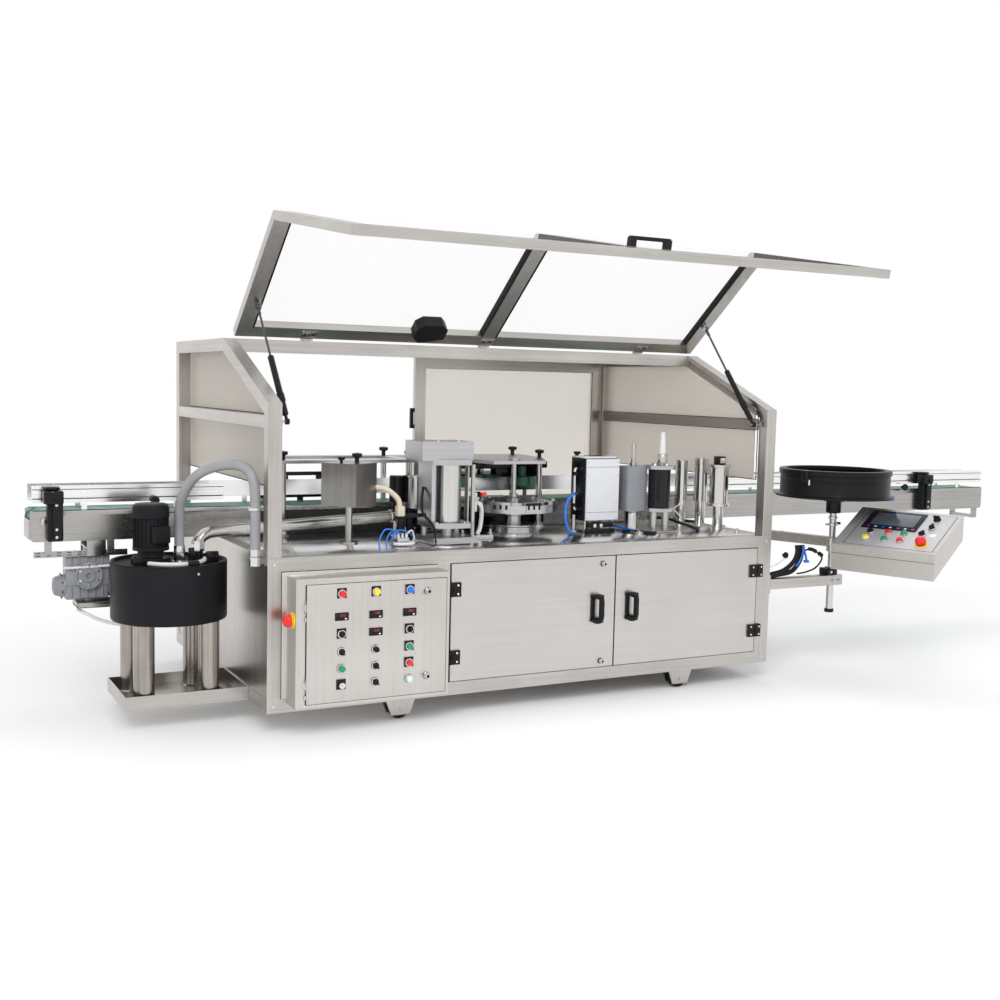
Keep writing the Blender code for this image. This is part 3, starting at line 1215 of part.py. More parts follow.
def drum_disc_outline():
    """The drum plate: a round plate with a flat at each of its label pads."""
    return polygon((DRUM_X, DRUM_Y), 0.222, 16, math.radians(11.25))


def vacuum_drum():
    """The pad drum: base, turned neck, the many-sided pad plate and the axle up to the bridge."""
    x, y = DRUM_X, DRUM_Y
    base = TABLE_TOP + DRUM_BASE_HEIGHT + GAP
    hub = ((0.0, 0.0), (0.040, 0.0), (0.040, 0.040), (0.058, 0.046), (0.058, 0.062), (0.036, 0.066))
    hub += ((0.036, 0.070), (0.0, 0.070))
    pieces = [turned(hub, (x, y, base), sides=16)]
    pieces.append(extruded(drum_disc_outline(), "XY", above(0.114), above(0.154)))
    pieces.append(extruded(polygon((x, y), 0.190, 16, math.radians(11.25)), "XY", above(0.149), above(0.165)))
    foot, neck, top = above(0.159), above(0.179), above(0.368)
    axle = ((0.0, foot), (0.030, foot), (0.030, neck), (0.0125, neck), (0.0125, top), (0.0, top))
    pieces.append(turned(axle, (x, y, 0.0), sides=16))
    pads = 8
    for number in range(pads):
        angle = 2 * math.pi * number / pads
        pad = block(0.196, 0.214, -0.050, 0.050, above(0.118), above(0.17))
        pieces.append(moved(pad, Matrix.Translation((x, y, 0.0)) @ Matrix.Rotation(angle, 4, "Z")))
    finish("vacuum_drum", "aluminium", pieces, pivot=(x, y, base))


def star_bridge():
    """The plates above the belt that hold the drum's axle and the star wheels, on round posts."""
    front, back = CONVEYOR_Y - 0.110, CONVEYOR_Y + CONVEYOR_WIDTH + 0.110
    low, high = above(0.35), above(0.366)
    left, right = DRUM_X - 0.213, DRUM_X + 0.312
    plate = [(left, front + 0.060), (left + 0.065, DRUM_Y - 0.060), (left + 0.365, DRUM_Y - 0.060)]
    plate += [(left + 0.485, front + 0.060), (right, back), (left, back)]
    pieces = [extruded(plate, "XY", low, high)]
    pieces.append(block(0.249, left + 0.025, front, front + 0.070, low + 0.0005, high - 0.0005))
    pieces.append(block(0.249, left + 0.025, back - 0.070, back - 0.0005, low + 0.0005, high - 0.0005))
    for x in (0.250, 0.900):
        pieces.append(block(x, x + 0.070, front + 0.001, back - 0.001, low + 0.001, high - 0.001))
    outer = right - 0.060
    spots = ((0.285, front), (0.285, back), (0.935, front), (0.935, back), (outer, back), (outer, front + 0.030))
    for x, y in spots:
        y += 0.035 if y < CONVEYOR_Y else -0.035
        pieces.append(post(x, y, ON_TABLE, low + 0.004, 0.015, 0.034, 8))
        pieces += star_knob(x, y, high - 0.001)
    pieces.append(rod((DRUM_X, DRUM_Y, high - 0.002), (DRUM_X, DRUM_Y, high + 0.012), 0.032, 14))
    cuts = [rod((DRUM_X, DRUM_Y, above(0.334)), (DRUM_X, DRUM_Y, above(0.372)), 0.0125 + GAP, 20)]
    star_x, star_y = star_middle()
    cuts.append(rod((star_x, star_y, above(0.334)), (star_x, star_y, above(0.374)), 0.015 + GAP, 20))
    finish("star_bridge", "stainless", pieces, cuts)


def star_middle():
    return DRUM_X, CONVEYOR_Y + CONVEYOR_WIDTH + 0.105 - 0.050


def center_star():
    """The green star wheel whose pockets carry the bottles past the drum."""
    x, y = star_middle()
    radius, pockets, pocket = 0.205, 8, 0.038
    points = []
    for number in range(pockets):
        start = 2 * math.pi * number / pockets
        for step in range(3):
            angle = start + math.radians(12.0) + math.radians(21.0) * step / 2
            points.append((x + radius * math.cos(angle), y + radius * math.sin(angle)))
        centre = start + 2 * math.pi / pockets
        middle = Vector((x + radius * math.cos(centre), y + radius * math.sin(centre)))
        first = Vector(points[-1]) - middle
        turn = math.atan2(first.y, first.x)
        for step in range(1, 4):
            angle = turn - math.pi * 0.95 * step / 4
            points.append((middle.x + pocket * math.cos(angle), middle.y + pocket * math.sin(angle)))
    low = TABLE_TOP + RAIL_RISE + RAIL_HEIGHT + 0.003
    high = low + 0.045
    plate = 0.015
    star = [extruded(points, "XY", low, low + plate), extruded(points, "XY", high, high + plate)]
    shaft = ((0.0, ON_TABLE), (0.015, ON_TABLE), (0.015, low - 0.002), (0.060, low - 0.002))
    shaft += ((0.060, high + plate + 0.004), (0.015, high + plate + 0.004))
    shaft += ((0.015, above(0.368)), (0.0, above(0.368)))
    pieces = [turned(shaft, (x, y, 0.0), sides=20), *star]
    finish("center_star", "green_plastic", pieces, pivot=(x, y, ON_TABLE))


def cutter_housing():
    """The grey housing of the label cutter on four short feet, with a vented back."""
    x0, x1, y0, y1 = CUTTER_X - 0.1025, CUTTER_X + 0.1025, 0.375, 0.520
    shell = extruded(rounded(x0, x1, y0, y1, 0.020), "XY", above(0.062), above(0.38))
    hollow = extruded(rounded(x0 + 0.004, x1 - 0.004, y0 + 0.004, y1 - 0.004, 0.016), "XY", above(0.068), above(0.374))
    rows = (above(0.134), above(0.194), above(0.254), above(0.314))
    vent = [block(x0 + 0.05, x1 - 0.05, y1 - 0.01, y1 + 0.01, z, z + 0.014) for z in rows]
    pieces = [shell]
    combine(shell, hollow, "DIFFERENCE")
    for slot in vent:
        combine(shell, slot, "DIFFERENCE")
    for x in (x0 + 0.022, x1 - 0.022):
        for y in (y0 + 0.022, y1 - 0.022):
            pieces.append(rod((x, y, ON_TABLE), (x, y, above(0.066)), 0.009, 8))
    pieces.append(block(x0 + 0.010, x1 - 0.010, y0 + 0.010, y1 - 0.010, ON_TABLE, ON_TABLE + 0.012))
    middle = ((x0 + x1) / 2, (y0 + y1) / 2)
    pieces.append(rod((*middle, above(0.010)), (*middle, above(0.064)), 0.045, 14))
    pieces.append(rod((x0 + 0.020, y1 - 0.030, above(0.374)), (x0 + 0.020, y1 - 0.030, above(0.412)), 0.010, 8))
    pieces.append(block(x0 + 0.060, x1 - 0.050, y0 + 0.040, y1 - 0.030, above(0.378), above(0.392)))
    finish("cutter_housing", "aluminium", pieces)


def feed_station():
    """The feed motor on its column and the two eight-sided plates that hold the black feed roller."""
    mx, my = FEED_X, 0.400
    fx, fy = mx + 0.120, 0.330
    z = ON_TABLE
    pieces = [block(mx - 0.065, mx + 0.205, 0.255, 0.480, z, z + 0.010, 0.003)]
    pieces.append(rod((mx, my, z), (mx, my, above(0.114)), 0.038, 14))
    pieces.append(extruded(rounded(mx - 0.066, mx + 0.060, my - 0.060, my + 0.055, 0.022), "XY", above(0.1085), above(0.34)))
    pieces.append(rod((mx, my, above(0.334)), (mx, my, above(0.456)), 0.010, 8))
    octagon = polygon((fx, fy), 0.084, 8, math.pi / 8)
    for low, high in ((above(0.108), above(0.126)), (above(0.328), above(0.346))):
        pieces.append(extruded(octagon, "XY", low, high))
        pieces.append(block(mx, fx, fy + 0.020, fy + 0.060, low + 0.002, high - 0.002))
    for x, y in ((fx - 0.045, fy - 0.020), (fx + 0.030, fy - 0.020), (fx, fy + 0.050)):
        pieces.append(rod((x, y, z), (x, y, above(0.112)), 0.018, 10))
    pieces.append(rod((fx + 0.035, fy + 0.030, above(0.339)), (fx + 0.035, fy + 0.030, above(0.404)), 0.026, 12))
    cone = ((0.0, 0.0), (0.018, 0.0), (0.012, 0.110), (0.0, 0.114))
    pieces.append(turned(cone, (fx + 0.035, fy + 0.030, above(0.402)), sides=12))
    cuts = [rod((fx, fy, above(0.094)), (fx, fy, above(0.3365)), 0.010 + GAP, 14)]
    finish("feed_station", "stainless", pieces, cuts, solver="MANIFOLD")
    base = (fx, fy, above(0.126) + GAP)
    height = above(0.328) - GAP - base[2]
    profile = ((0.0, -0.012), (0.010, -0.012), (0.010, 0.0), (0.058, 0.0), (0.058, height), (0.010, height))
    profile += ((0.010, height + 0.006), (0.0, height + 0.006))
    finish("feed_roller", "rubber", [turned(profile, base, sides=24)], pivot=base)


def idler_rollers():
    """The three steel rollers that lead the label web, each on its own shaft in the table."""
    shafts = (
        ("idler_roller_1", RIGHT - 0.206, 0.520, 0.034, 0.112, 0.360),
        ("idler_roller_2", RIGHT - 0.110, 0.470, 0.039, 0.137, 0.372),
    )
    for name, x, y, radius, low, high in shafts:
        profile = ((0.0, 0.0), (0.027, 0.0), (0.027, low), (radius, low), (radius, high), (0.0, high))
        finish(name, "stainless", [turned(profile, (x, y, ON_TABLE), sides=16)], pivot=(x, y, ON_TABLE))
    x, y, radius, flange, low, high = RIGHT - 0.130, 0.286, 0.050, 0.060, 0.129, 0.350
    profile = ((0.0, 0.0), (0.027, 0.0), (0.027, low), (flange, low), (flange, low + 0.014), (radius, low + 0.014))
    profile += ((radius, high - 0.014), (flange, high - 0.014), (flange, high), (0.0, high))
    top = block(x - 0.024, x + 0.024, y - 0.024, y + 0.024, ON_TABLE + high - 0.001, ON_TABLE + high + 0.044, 0.005)
    finish("idler_roller_3", "stainless", [turned(profile, (x, y, ON_TABLE), sides=16), top], pivot=(x, y, ON_TABLE))


# Screen arm and reel


def reel_support():
    """The fixed lower arm, its clamp and the mast that carries the screen arm and the reel."""
    half = ARM_TUBE / 2 + 0.0025
    x, y = MAST_X, MAST_Y
    z = LOWER_ARM_Z
    pieces = [block(RIGHT + GAP, x + 0.062, y - half, y + half, z - half, z + half)]
    pieces.append(block(RIGHT + GAP, RIGHT + 0.010, y - 0.029, y + 0.045, z - 0.050, z + 0.050))
    r, clamp, low = MAST_RADIUS, z + half, SCREEN_ARM_Z - ARM_TUBE / 2 - GAP
    profile = ((0.0, MAST_BOTTOM), (r + 0.006, MAST_BOTTOM), (r + 0.006, MAST_BOTTOM + 0.020), (r, MAST_BOTTOM + 0.020))
    profile += ((r, clamp - 0.002), (r + 0.016, clamp - 0.002), (r + 0.016, clamp + 0.040), (r, clamp + 0.040), (r, low - 0.026))
    profile += ((r + 0.012, low - 0.026), (r + 0.012, low), (r, low), (r, MAST_TOP - 0.045), (0.040, MAST_TOP - 0.045))
    profile += ((0.040, MAST_TOP), (0.0, MAST_TOP))
    pieces.append(turned(profile, (x, y, 0.0), sides=14))
    finish("reel_support", "stainless", pieces)


def screen_frame():
    """From the screen box's own axes, with X along its front edge, to the machine's."""
    return Matrix.Translation(SCREEN_CORNER) @ Matrix.Rotation(SCREEN_TURN, 4, "Z")


def screen_arm():
    half = ARM_TUBE / 2
    x, y, z = MAST_X, MAST_Y, SCREEN_ARM_Z
    bar = block(-SCREEN_ARM_TAIL, SCREEN_ARM_REACH, -half, half, z - half, z + half)
    plate = block(SCREEN_ARM_REACH - 0.008, SCREEN_ARM_REACH, -half - 0.020, half + 0.020, z - half, z + 0.075)
    hub = rod((0.0, 0.0, z - half + 0.0005), (0.0, 0.0, z + half - 0.0005), MAST_RADIUS + 0.016, 20)
    place = Matrix.Translation((x, y, 0.0)) @ Matrix.Rotation(SCREEN_TURN, 4, "Z")
    cuts = [rod((x, y, z - 0.1), (x, y, z + 0.1), MAST_RADIUS + GAP, 20)]
    finish("screen_arm", "stainless", [moved(piece, place) for piece in (bar, plate, hub)], cuts, pivot=(x, y, z))


def screen_box():
    """The sloping operator box: a folded shell with a cable hole at the back."""
    run, rise = SCREEN_SLOPE * math.cos(SCREEN_TILT), SCREEN_SLOPE * math.sin(SCREEN_TILT)
    depth = SCREEN_DEPTH
    front = depth + 0.006
    wall = SCREEN_WALL
    outline = ((0.0, 0.0), (run, rise), (run, rise - depth), (0.0, -front))
    inner = ((wall, -wall), (run - wall, rise - wall * 2), (run - wall, rise - depth + wall), (wall, -front + wall * 2))
    start = screen_gap()
    shell = extruded(outline, "YZ", start, start + SCREEN_WIDTH)
    hollow = extruded(inner, "YZ", start + wall, start + SCREEN_WIDTH - wall)
    cable = rod((0.10, run - 0.02, rise - 0.060), (0.10, run + 0.02, rise - 0.060), 0.014, 10)
    place = screen_frame()
    normal = Vector((0.0, -math.sin(SCREEN_TILT), math.cos(SCREEN_TILT)))
    spot = screen_estop()
    collar = rod(spot - normal * 0.001, spot + normal * 0.016, 0.020, 12)
    bore = rod(spot - normal * 0.02, spot + normal * 0.02, STOP_STEM + GAP, 16)
    pieces = [moved(piece, place) for piece in (shell, collar)]
    cuts = [moved(piece, place) for piece in (hollow, cable, bore)]
    finish("screen_box", "stainless", pieces, cuts, pivot=(MAST_X, MAST_Y, SCREEN_ARM_Z))
    mushroom("screen_estop", place @ spot, place.to_3x3() @ normal)


def screen_gap():
    """Where the box's left side starts on its own axis, just off the arm's end plate."""
    mast = screen_frame().inverted() @ Vector((MAST_X, MAST_Y, 0.0))
    return mast.x + SCREEN_ARM_REACH + GAP


def screen_estop():
    """The emergency stop's place on the sloping face, on the box's own axes."""
    along = 0.075
    return Vector((SCREEN_WIDTH - 0.110, along * math.cos(SCREEN_TILT), along * math.sin(SCREEN_TILT)))


def reel():
    """The label reel's dish: hub, floor, thin wall and the wider rim underneath."""
    x, y, z = MAST_X, MAST_Y, MAST_TOP + GAP
    r, rim, wall, rise, height = REEL_RADIUS, REEL_RIM, REEL_WALL, REEL_RISE, REEL_HEIGHT
    profile = ((0.0, 0.0), (0.055, 0.0), (0.060, rise), (rim, rise), (rim, rise + 0.012), (r, rise + 0.016))
    profile += ((r, rise + height), (r - wall, rise + height), (r - wall, rise + 0.014), (0.040, rise + 0.014))
    profile += ((0.040, rise + 0.050), (0.0, rise + 0.050))
    finish("label_reel", "black_plastic", [turned(profile, (x, y, z), sides=32)], pivot=(x, y, z))


# Assembly


def to_ground_middle():
    """Moves every piece so that the origin is on the floor, under the middle of the whole machine."""
    bpy.context.view_layer.update()
    graph = bpy.context.evaluated_depsgraph_get()
    corners = []
    for obj in bpy.data.objects:
        evaluated = obj.evaluated_get(graph)
        corners += [evaluated.matrix_world @ vertex.co for vertex in evaluated.data.vertices]
    low = [min(corner[axis] for corner in corners) for axis in range(3)]
    high = [max(corner[axis] for corner in corners) for axis in range(3)]
    shift = Vector(((low[0] + high[0]) / 2, (low[1] + high[1]) / 2, low[2]))
    for obj in bpy.data.objects:
        obj.location -= shift


for old in list(bpy.data.objects):
    bpy.data.objects.remove(old)

base_frame()
castor_wheels()
side_panels()
cabinet_liner()
table_plate()
guard_frames()
roof_frame()
side_windows()
hood()
gas_springs()
cabinet_doors()
rear_door()
control_box()
control_door()
mushroom("box_estop", (BOX_LEFT, *estop_side()), (-1.0, 0.0, 0.0))
conveyor_bed()
conveyor_belt()
guide_rails()
gearmotor()
tank_stand()
glue_tank()
tank_mixer()
glue_hose()
glue_pipe()
cover_box()
glue_station()
vacuum_drum()
star_bridge()
center_star()
cutter_housing()
feed_station()
idler_rollers()
reel_support()
screen_arm()
screen_box()
reel()
to_ground_middle()
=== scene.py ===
"""Rotary labelling machine, dressed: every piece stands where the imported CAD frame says, in metres, +Z up."""

import math

import bpy
from mathutils import Matrix, Vector


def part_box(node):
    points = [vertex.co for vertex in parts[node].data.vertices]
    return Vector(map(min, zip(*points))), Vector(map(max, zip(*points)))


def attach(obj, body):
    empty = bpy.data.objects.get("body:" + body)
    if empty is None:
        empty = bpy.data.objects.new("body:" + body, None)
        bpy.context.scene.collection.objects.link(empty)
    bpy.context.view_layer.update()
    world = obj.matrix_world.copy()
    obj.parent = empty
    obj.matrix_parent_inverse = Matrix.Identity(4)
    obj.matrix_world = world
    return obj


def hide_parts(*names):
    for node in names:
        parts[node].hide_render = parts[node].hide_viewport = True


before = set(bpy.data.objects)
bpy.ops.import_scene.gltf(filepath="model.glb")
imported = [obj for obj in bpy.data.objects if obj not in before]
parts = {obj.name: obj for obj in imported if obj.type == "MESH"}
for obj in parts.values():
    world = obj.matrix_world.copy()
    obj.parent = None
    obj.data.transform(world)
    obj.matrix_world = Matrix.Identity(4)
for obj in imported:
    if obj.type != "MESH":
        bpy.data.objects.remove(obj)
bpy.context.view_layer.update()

# Camera
# It stands where the photographer stood: front left of the machine, at chest height, turned to the right and tipped
# slightly down, with a long lens.
turn_right, tip_up, lean = 0.487, -0.091, 0.023
ahead = Vector((math.sin(turn_right) * math.cos(tip_up), math.cos(turn_right) * math.cos(tip_up), math.sin(tip_up)))
level_right = Vector((math.cos(turn_right), -math.sin(turn_right), 0.0))
level_up = level_right.cross(ahead)
right = level_right * math.cos(lean) + level_up * math.sin(lean)
up = level_up * math.cos(lean) - level_right * math.sin(lean)
camera_data = bpy.data.cameras.new("camera")
camera_data.sensor_width = 36.0
camera_data.lens = 44.64
camera_data.shift_y = -0.0016
camera = bpy.data.objects.new("camera", camera_data)
camera.matrix_world = Matrix.Translation((-3.68, -5.4007, 1.509)) @ Matrix((right, up, -ahead)).transposed().to_4x4()
bpy.context.scene.collection.objects.link(camera)
bpy.context.scene.camera = camera
bpy.context.scene.view_settings.view_transform = "Standard"


# Floor and light
# A pale studio floor that runs out to white, so only the machine's soft shadow shows, under one broad key from the
# front left, a fill from the right, a light from above and behind, and a narrow strip that polished metal mirrors.


class Wire:
    """A value on its way through a finish's nodes; sums and products of wires add their own Math nodes."""

    def __init__(self, tree, socket=None):
        self.tree = tree
        self.socket = socket

    def add(self, kind, settings=None, values=None, output=0):
        """Adds one node: its settings first, then the values or wires of its sockets."""
        made = self.tree.nodes.new(kind)
        for name, value in (settings or {}).items():
            if name == "stops":
                for place, _ in value[1:-1]:
                    made.color_ramp.elements.new(place)
                for element, (place, colour) in zip(made.color_ramp.elements, value):
                    element.position = place
                    element.color = (*colour, 1.0)
            else:
                setattr(made, name, value)
        for name, value in (values or {}).items():
            if isinstance(value, Wire):
                self.tree.links.new(value.socket, made.inputs[name])
            else:
                made.inputs[name].default_value = value
        return Wire(self.tree, made.outputs[output])

    def maths(self, operation, first, second):
        return self.add("ShaderNodeMath", {"operation": operation}, {0: first, 1: second})

    def __add__(self, other):
        return self.maths("ADD", self, other)

    def __sub__(self, other):
        return self.maths("SUBTRACT", self, other)

    def __rsub__(self, other):
        return self.maths("SUBTRACT", other, self)

    def __mul__(self, other):
        return self.maths("MULTIPLY", self, other)

    def __truediv__(self, other):
        return self.maths("DIVIDE", self, other)

    def __pow__(self, other):
        return self.maths("POWER", self, other)

    def __gt__(self, other):
        return self.maths("GREATER_THAN", self, other)

    __radd__ = __add__
    __rmul__ = __mul__

    def highest(self, other):
        return self.maths("MAXIMUM", self, other)

    def fenced(self):
        """The same value, kept between 0 and 1."""
        return self.add("ShaderNodeClamp", None, {"Value": self})


def axis_of(place, letter):
    """One coordinate of a place."""
    return place.add("ShaderNodeSeparateXYZ", None, {"Vector": place}, letter)


def between(wire, first, second, share):
    """A colour that goes from the first to the second by this share."""
    first = first if isinstance(first, Wire) else (*first, 1.0)
    second = second if isinstance(second, Wire) else (*second, 1.0)
    return wire.add("ShaderNodeMix", {"data_type": "RGBA"}, {0: share, 6: first, 7: second}, 2)


world = bpy.data.worlds.new("studio")
bpy.context.scene.world = world
world.use_nodes = True
sky = Wire(world.node_tree)
plain_sight = sky.add("ShaderNodeLightPath", output="Is Camera Ray")
plain_sight = plain_sight.highest(sky.add("ShaderNodeLightPath", output="Is Glossy Ray"))
plain_sight = plain_sight.highest(sky.add("ShaderNodeLightPath", output="Is Transmission Ray"))
heading = sky.add("ShaderNodeTexCoord", output="Generated")
rise = (axis_of(heading, "Z") * 0.5 + 0.5).fenced()
glow = between(sky, (0.52, 0.51, 0.5), (0.74, 0.75, 0.77), rise)
sky_light = between(sky, glow, (1.0, 1.0, 1.0), plain_sight)
world.node_tree.links.new(sky_light.socket, world.node_tree.nodes["Background"].inputs["Color"])
world.node_tree.nodes["Background"].inputs["Strength"].default_value = 1.0

bpy.ops.object.select_all(action="DESELECT")
bpy.ops.mesh.primitive_circle_add(vertices=96, radius=60.0, fill_type="NGON", location=(0.0, 0.0, -0.0005))
floor = bpy.context.object
floor.name = "studio_floor"
floor_paint = bpy.data.materials.new("studio_floor")
floor_paint.use_nodes = True
floor_tree = floor_paint.node_tree
floor_wire = Wire(floor_tree)
floor_place = floor_wire.add("ShaderNodeTexCoord", output="Object")
across = axis_of(floor_place, "X") / 4.3
deep = (axis_of(floor_place, "Y") - 0.3) / 3.0
near = (1.0 - (across * across + deep * deep)).fenced()
diffuse = floor_wire.add("ShaderNodeBsdfDiffuse", None, {"Color": (0.9, 0.9, 0.9, 1.0)})
white = floor_wire.add("ShaderNodeEmission", None, {"Color": (1.0, 1.0, 1.0, 1.0)})
floor_mix = floor_wire.add("ShaderNodeMixShader", None, {0: near ** 0.6, 1: white, 2: diffuse})
floor_tree.links.new(floor_mix.socket, floor_tree.nodes["Material Output"].inputs["Surface"])
floor.data.materials.append(floor_paint)


def softbox(name, place, aim, size, watts, shines=True):
    """A square studio lamp that looks at a point; metal reflects it only where shines is true."""
    data = bpy.data.lights.new(name, "AREA")
    data.shape = "RECTANGLE"
    data.size, data.size_y = size
    data.energy = watts
    lamp = bpy.data.objects.new(name, data)
    lamp.location = place
    lamp.rotation_euler = (Vector(aim) - Vector(place)).to_track_quat("-Z", "Y").to_euler()
    lamp.visible_glossy = shines
    bpy.context.scene.collection.objects.link(lamp)


softbox("key", (-5.0, -6.0, 5.2), (0.0, 0.0, 0.8), (3.4, 3.4), 280.0, False)
softbox("fill", (6.5, -4.5, 3.4), (0.3, 0.2, 0.8), (4.0, 4.0), 120.0, False)
softbox("top", (0.0, 1.6, 6.0), (0.0, 0.2, 0.8), (6.0, 3.0), 110.0, False)
softbox("strip", (-2.2, -4.6, 4.6), (0.0, 0.2, 0.9), (0.7, 3.0), 60.0, True)


# Welded base frame
# Square stainless tubes 60 mm wide, welded at the corners and brushed along their length, on four castors whose fork
# plates are welded under the lower rails. The door hinges' fixed leaves are black powder-coated castings.


def new_finish(name, **fixed):
    """A finish with one shader; the values that don't vary go straight on its sockets."""
    made = bpy.data.materials.new(name)
    made.use_nodes = True
    shader = made.node_tree.nodes["Principled BSDF"]
    for socket, value in fixed.items():
        shader.inputs[socket.replace("_", " ")].default_value = value
    return made, shader, Wire(made.node_tree)


def connect(shader, socket, wire):
    wire.tree.links.new(wire.socket, shader.inputs[socket])


def eased_edges(wire, size, height=None, strength=0.2, distance=0.001):
    """The surface's direction with its edges rounded over a small radius, and a fine relief on it."""
    turn = wire.add("ShaderNodeBevel", {"samples": 4}, {"Radius": size})
    if height is None:
        return turn
    return wire.add("ShaderNodeBump", None, {"Strength": strength, "Distance": distance, "Height": height,
                                             "Normal": turn})


def noise(place, scale, detail, rough=0.5):
    """A value that drifts between 0 and 1 from place to place."""
    values = {"Vector": place, "Scale": scale, "Detail": detail, "Roughness": rough}
    return place.add("ShaderNodeTexNoise", None, values)


def brushed(name, along, light, dark, rough, scuff=0.05, edge=0.0018, metal=1.0):
    """Brushed metal: fine streaks along one axis, slow cloudy changes of tone and a few handling smears."""
    made, shader, wire = new_finish(name, Metallic=metal)
    place = wire.add("ShaderNodeTexCoord", output="Object")
    stretch = [420.0, 420.0, 420.0]
    stretch["XYZ".index(along)] = 5.0
    grain = wire.add("ShaderNodeMapping", None, {"Vector": place, "Scale": stretch})
    streaks = noise(grain, 1.0, 3.0, 0.6)
    coarse = [60.0, 60.0, 60.0]
    coarse["XYZ".index(along)] = 1.6
    band = wire.add("ShaderNodeMapping", None, {"Vector": place, "Scale": coarse})
    bands = noise(band, 1.0, 2.0)
    clouds = noise(place, 2.6, 4.0, 0.55)
    smears = noise(place, 9.0, 5.0, 0.7)
    tone = (streaks * 0.3 + bands * 0.32 + clouds * 0.38).fenced()
    connect(shader, "Base Color", between(wire, dark, light, ((tone - 0.3) * 2.4).fenced()))
    connect(shader, "Roughness", (streaks * 0.1 + smears * scuff * 2.0 + (rough - 0.05 - scuff)).fenced())
    connect(shader, "Normal", eased_edges(wire, edge, streaks, 0.12, 0.0004))
    return made


STEEL_LIGHT, STEEL_DARK = (0.65, 0.625, 0.595), (0.425, 0.402, 0.378)
steel_x = brushed("steel_along_x", "X", STEEL_LIGHT, STEEL_DARK, 0.3)
steel_y = brushed("steel_along_y", "Y", STEEL_LIGHT, STEEL_DARK, 0.3)
steel_z = brushed("steel_along_z", "Z", STEEL_LIGHT, STEEL_DARK, 0.3)


def moulded(name, colour, rough, lighter=1.5, grain=900.0, relief=0.25, edge=0.0015, coat=0.0):
    """Moulded plastic or powder coat: an even colour with slow fading, a fine pebble and eased edges."""
    is_black = max(colour) < 0.05
    shine = 0.16 if is_black else 0.45
    made, shader, wire = new_finish(name, Metallic=0.0, Coat_Weight=coat, Coat_Roughness=0.08,
                                    Specular_IOR_Level=shine)
    place = wire.add("ShaderNodeTexCoord", output="Object")
    slow = noise(place, 14.0, 3.0)
    fine = noise(place, grain, 2.0)
    faded = [min(1.0, part * lighter) for part in colour]
    connect(shader, "Base Color", between(wire, colour, faded, (slow * 1.4 - 0.3).fenced()))
    connect(shader, "Roughness", (fine * 0.12 + slow * 0.1 + (rough - 0.11)).fenced())
    connect(shader, "Normal", eased_edges(wire, edge, fine, relief, 0.0003))
    return made


black_coat = moulded("black_powder_coat", (0.009, 0.009, 0.01), 0.42)


def paint_faces(piece, looks, choose):
    """Gives each face the finish whose number the choice returns for the face's middle."""
    piece.data.materials.clear()
    for look in looks:
        piece.data.materials.append(look)
    for face in piece.data.polygons:
        face.material_index = choose(face.center) if choose else 0


def fit(piece, body, slot, *nodes):
    """Sets a finished piece on the body that carries it, in place of the CAD nodes that it stands for."""
    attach(piece, body)
    if nodes:
        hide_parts(*nodes)
    return piece


def dressed(node, body, slot, looks, choose=None, smooth=34.0):
    """The CAD solid as one clean mesh, its points merged and its flats whole, with a finish chosen face by face."""
    bpy.ops.object.select_all(action="DESELECT")
    piece = bpy.data.objects.new(f"{node}_dressed", parts[node].data.copy())
    bpy.context.scene.collection.objects.link(piece)
    bpy.context.view_layer.objects.active = piece
    piece.select_set(True)
    bpy.ops.object.mode_set(mode="EDIT")
    bpy.ops.mesh.select_all(action="SELECT")
    bpy.ops.mesh.remove_doubles(threshold=0.00002)
    bpy.ops.mesh.customdata_custom_splitnormals_clear()
    bpy.ops.object.mode_set(mode="OBJECT")
    paint_faces(piece, looks, choose)
    bpy.ops.object.shade_smooth_by_angle(angle=math.radians(smooth))
    return fit(piece, body, slot, node)


FRAME_LEFT, FRAME_RIGHT, FRAME_FRONT, FRAME_BACK = -2.13, 0.56, -0.41169, 1.19731
TUBE = 0.06
RAIL_LEVELS = ((0.1, 0.16), (0.706, 0.766))


def frame_finish(middle):
    x, y, z = middle
    if y < FRAME_FRONT - 0.003 and z > 0.15:
        return 3
    if any(low - 0.002 < z < high + 0.002 for low, high in RAIL_LEVELS):
        side = x < FRAME_LEFT + TUBE + 0.001 or x > FRAME_RIGHT - TUBE - 0.001
        front_or_back = y < FRAME_FRONT + TUBE or y > FRAME_BACK - TUBE
        return 1 if side and not front_or_back else 0
    return 2


dressed("base_frame", "machine", "stainless", (steel_x, steel_y, steel_z, black_coat), frame_finish)


# Castors
# Hard black rubber tyres on pressed hubs, turning on steel axles between the fork plates.


UP, TO_FRONT, TO_BACK = (0.0, 0.0, 1.0), (0.0, -1.0, 0.0), (0.0, 1.0, 0.0)
TO_LEFT, TO_RIGHT = (-1.0, 0.0, 0.0), (1.0, 0.0, 0.0)


def standing(foot, axis):
    """The place of a shape that stands on this foot along this axis."""
    return Matrix.Translation(foot) @ Vector(UP).rotation_difference(Vector(axis)).to_matrix().to_4x4()


def laid(piece, place):
    """The selected shape, moved to its place for good."""
    piece.matrix_world = place
    bpy.ops.object.transform_apply(location=True, rotation=True, scale=True)
    return piece


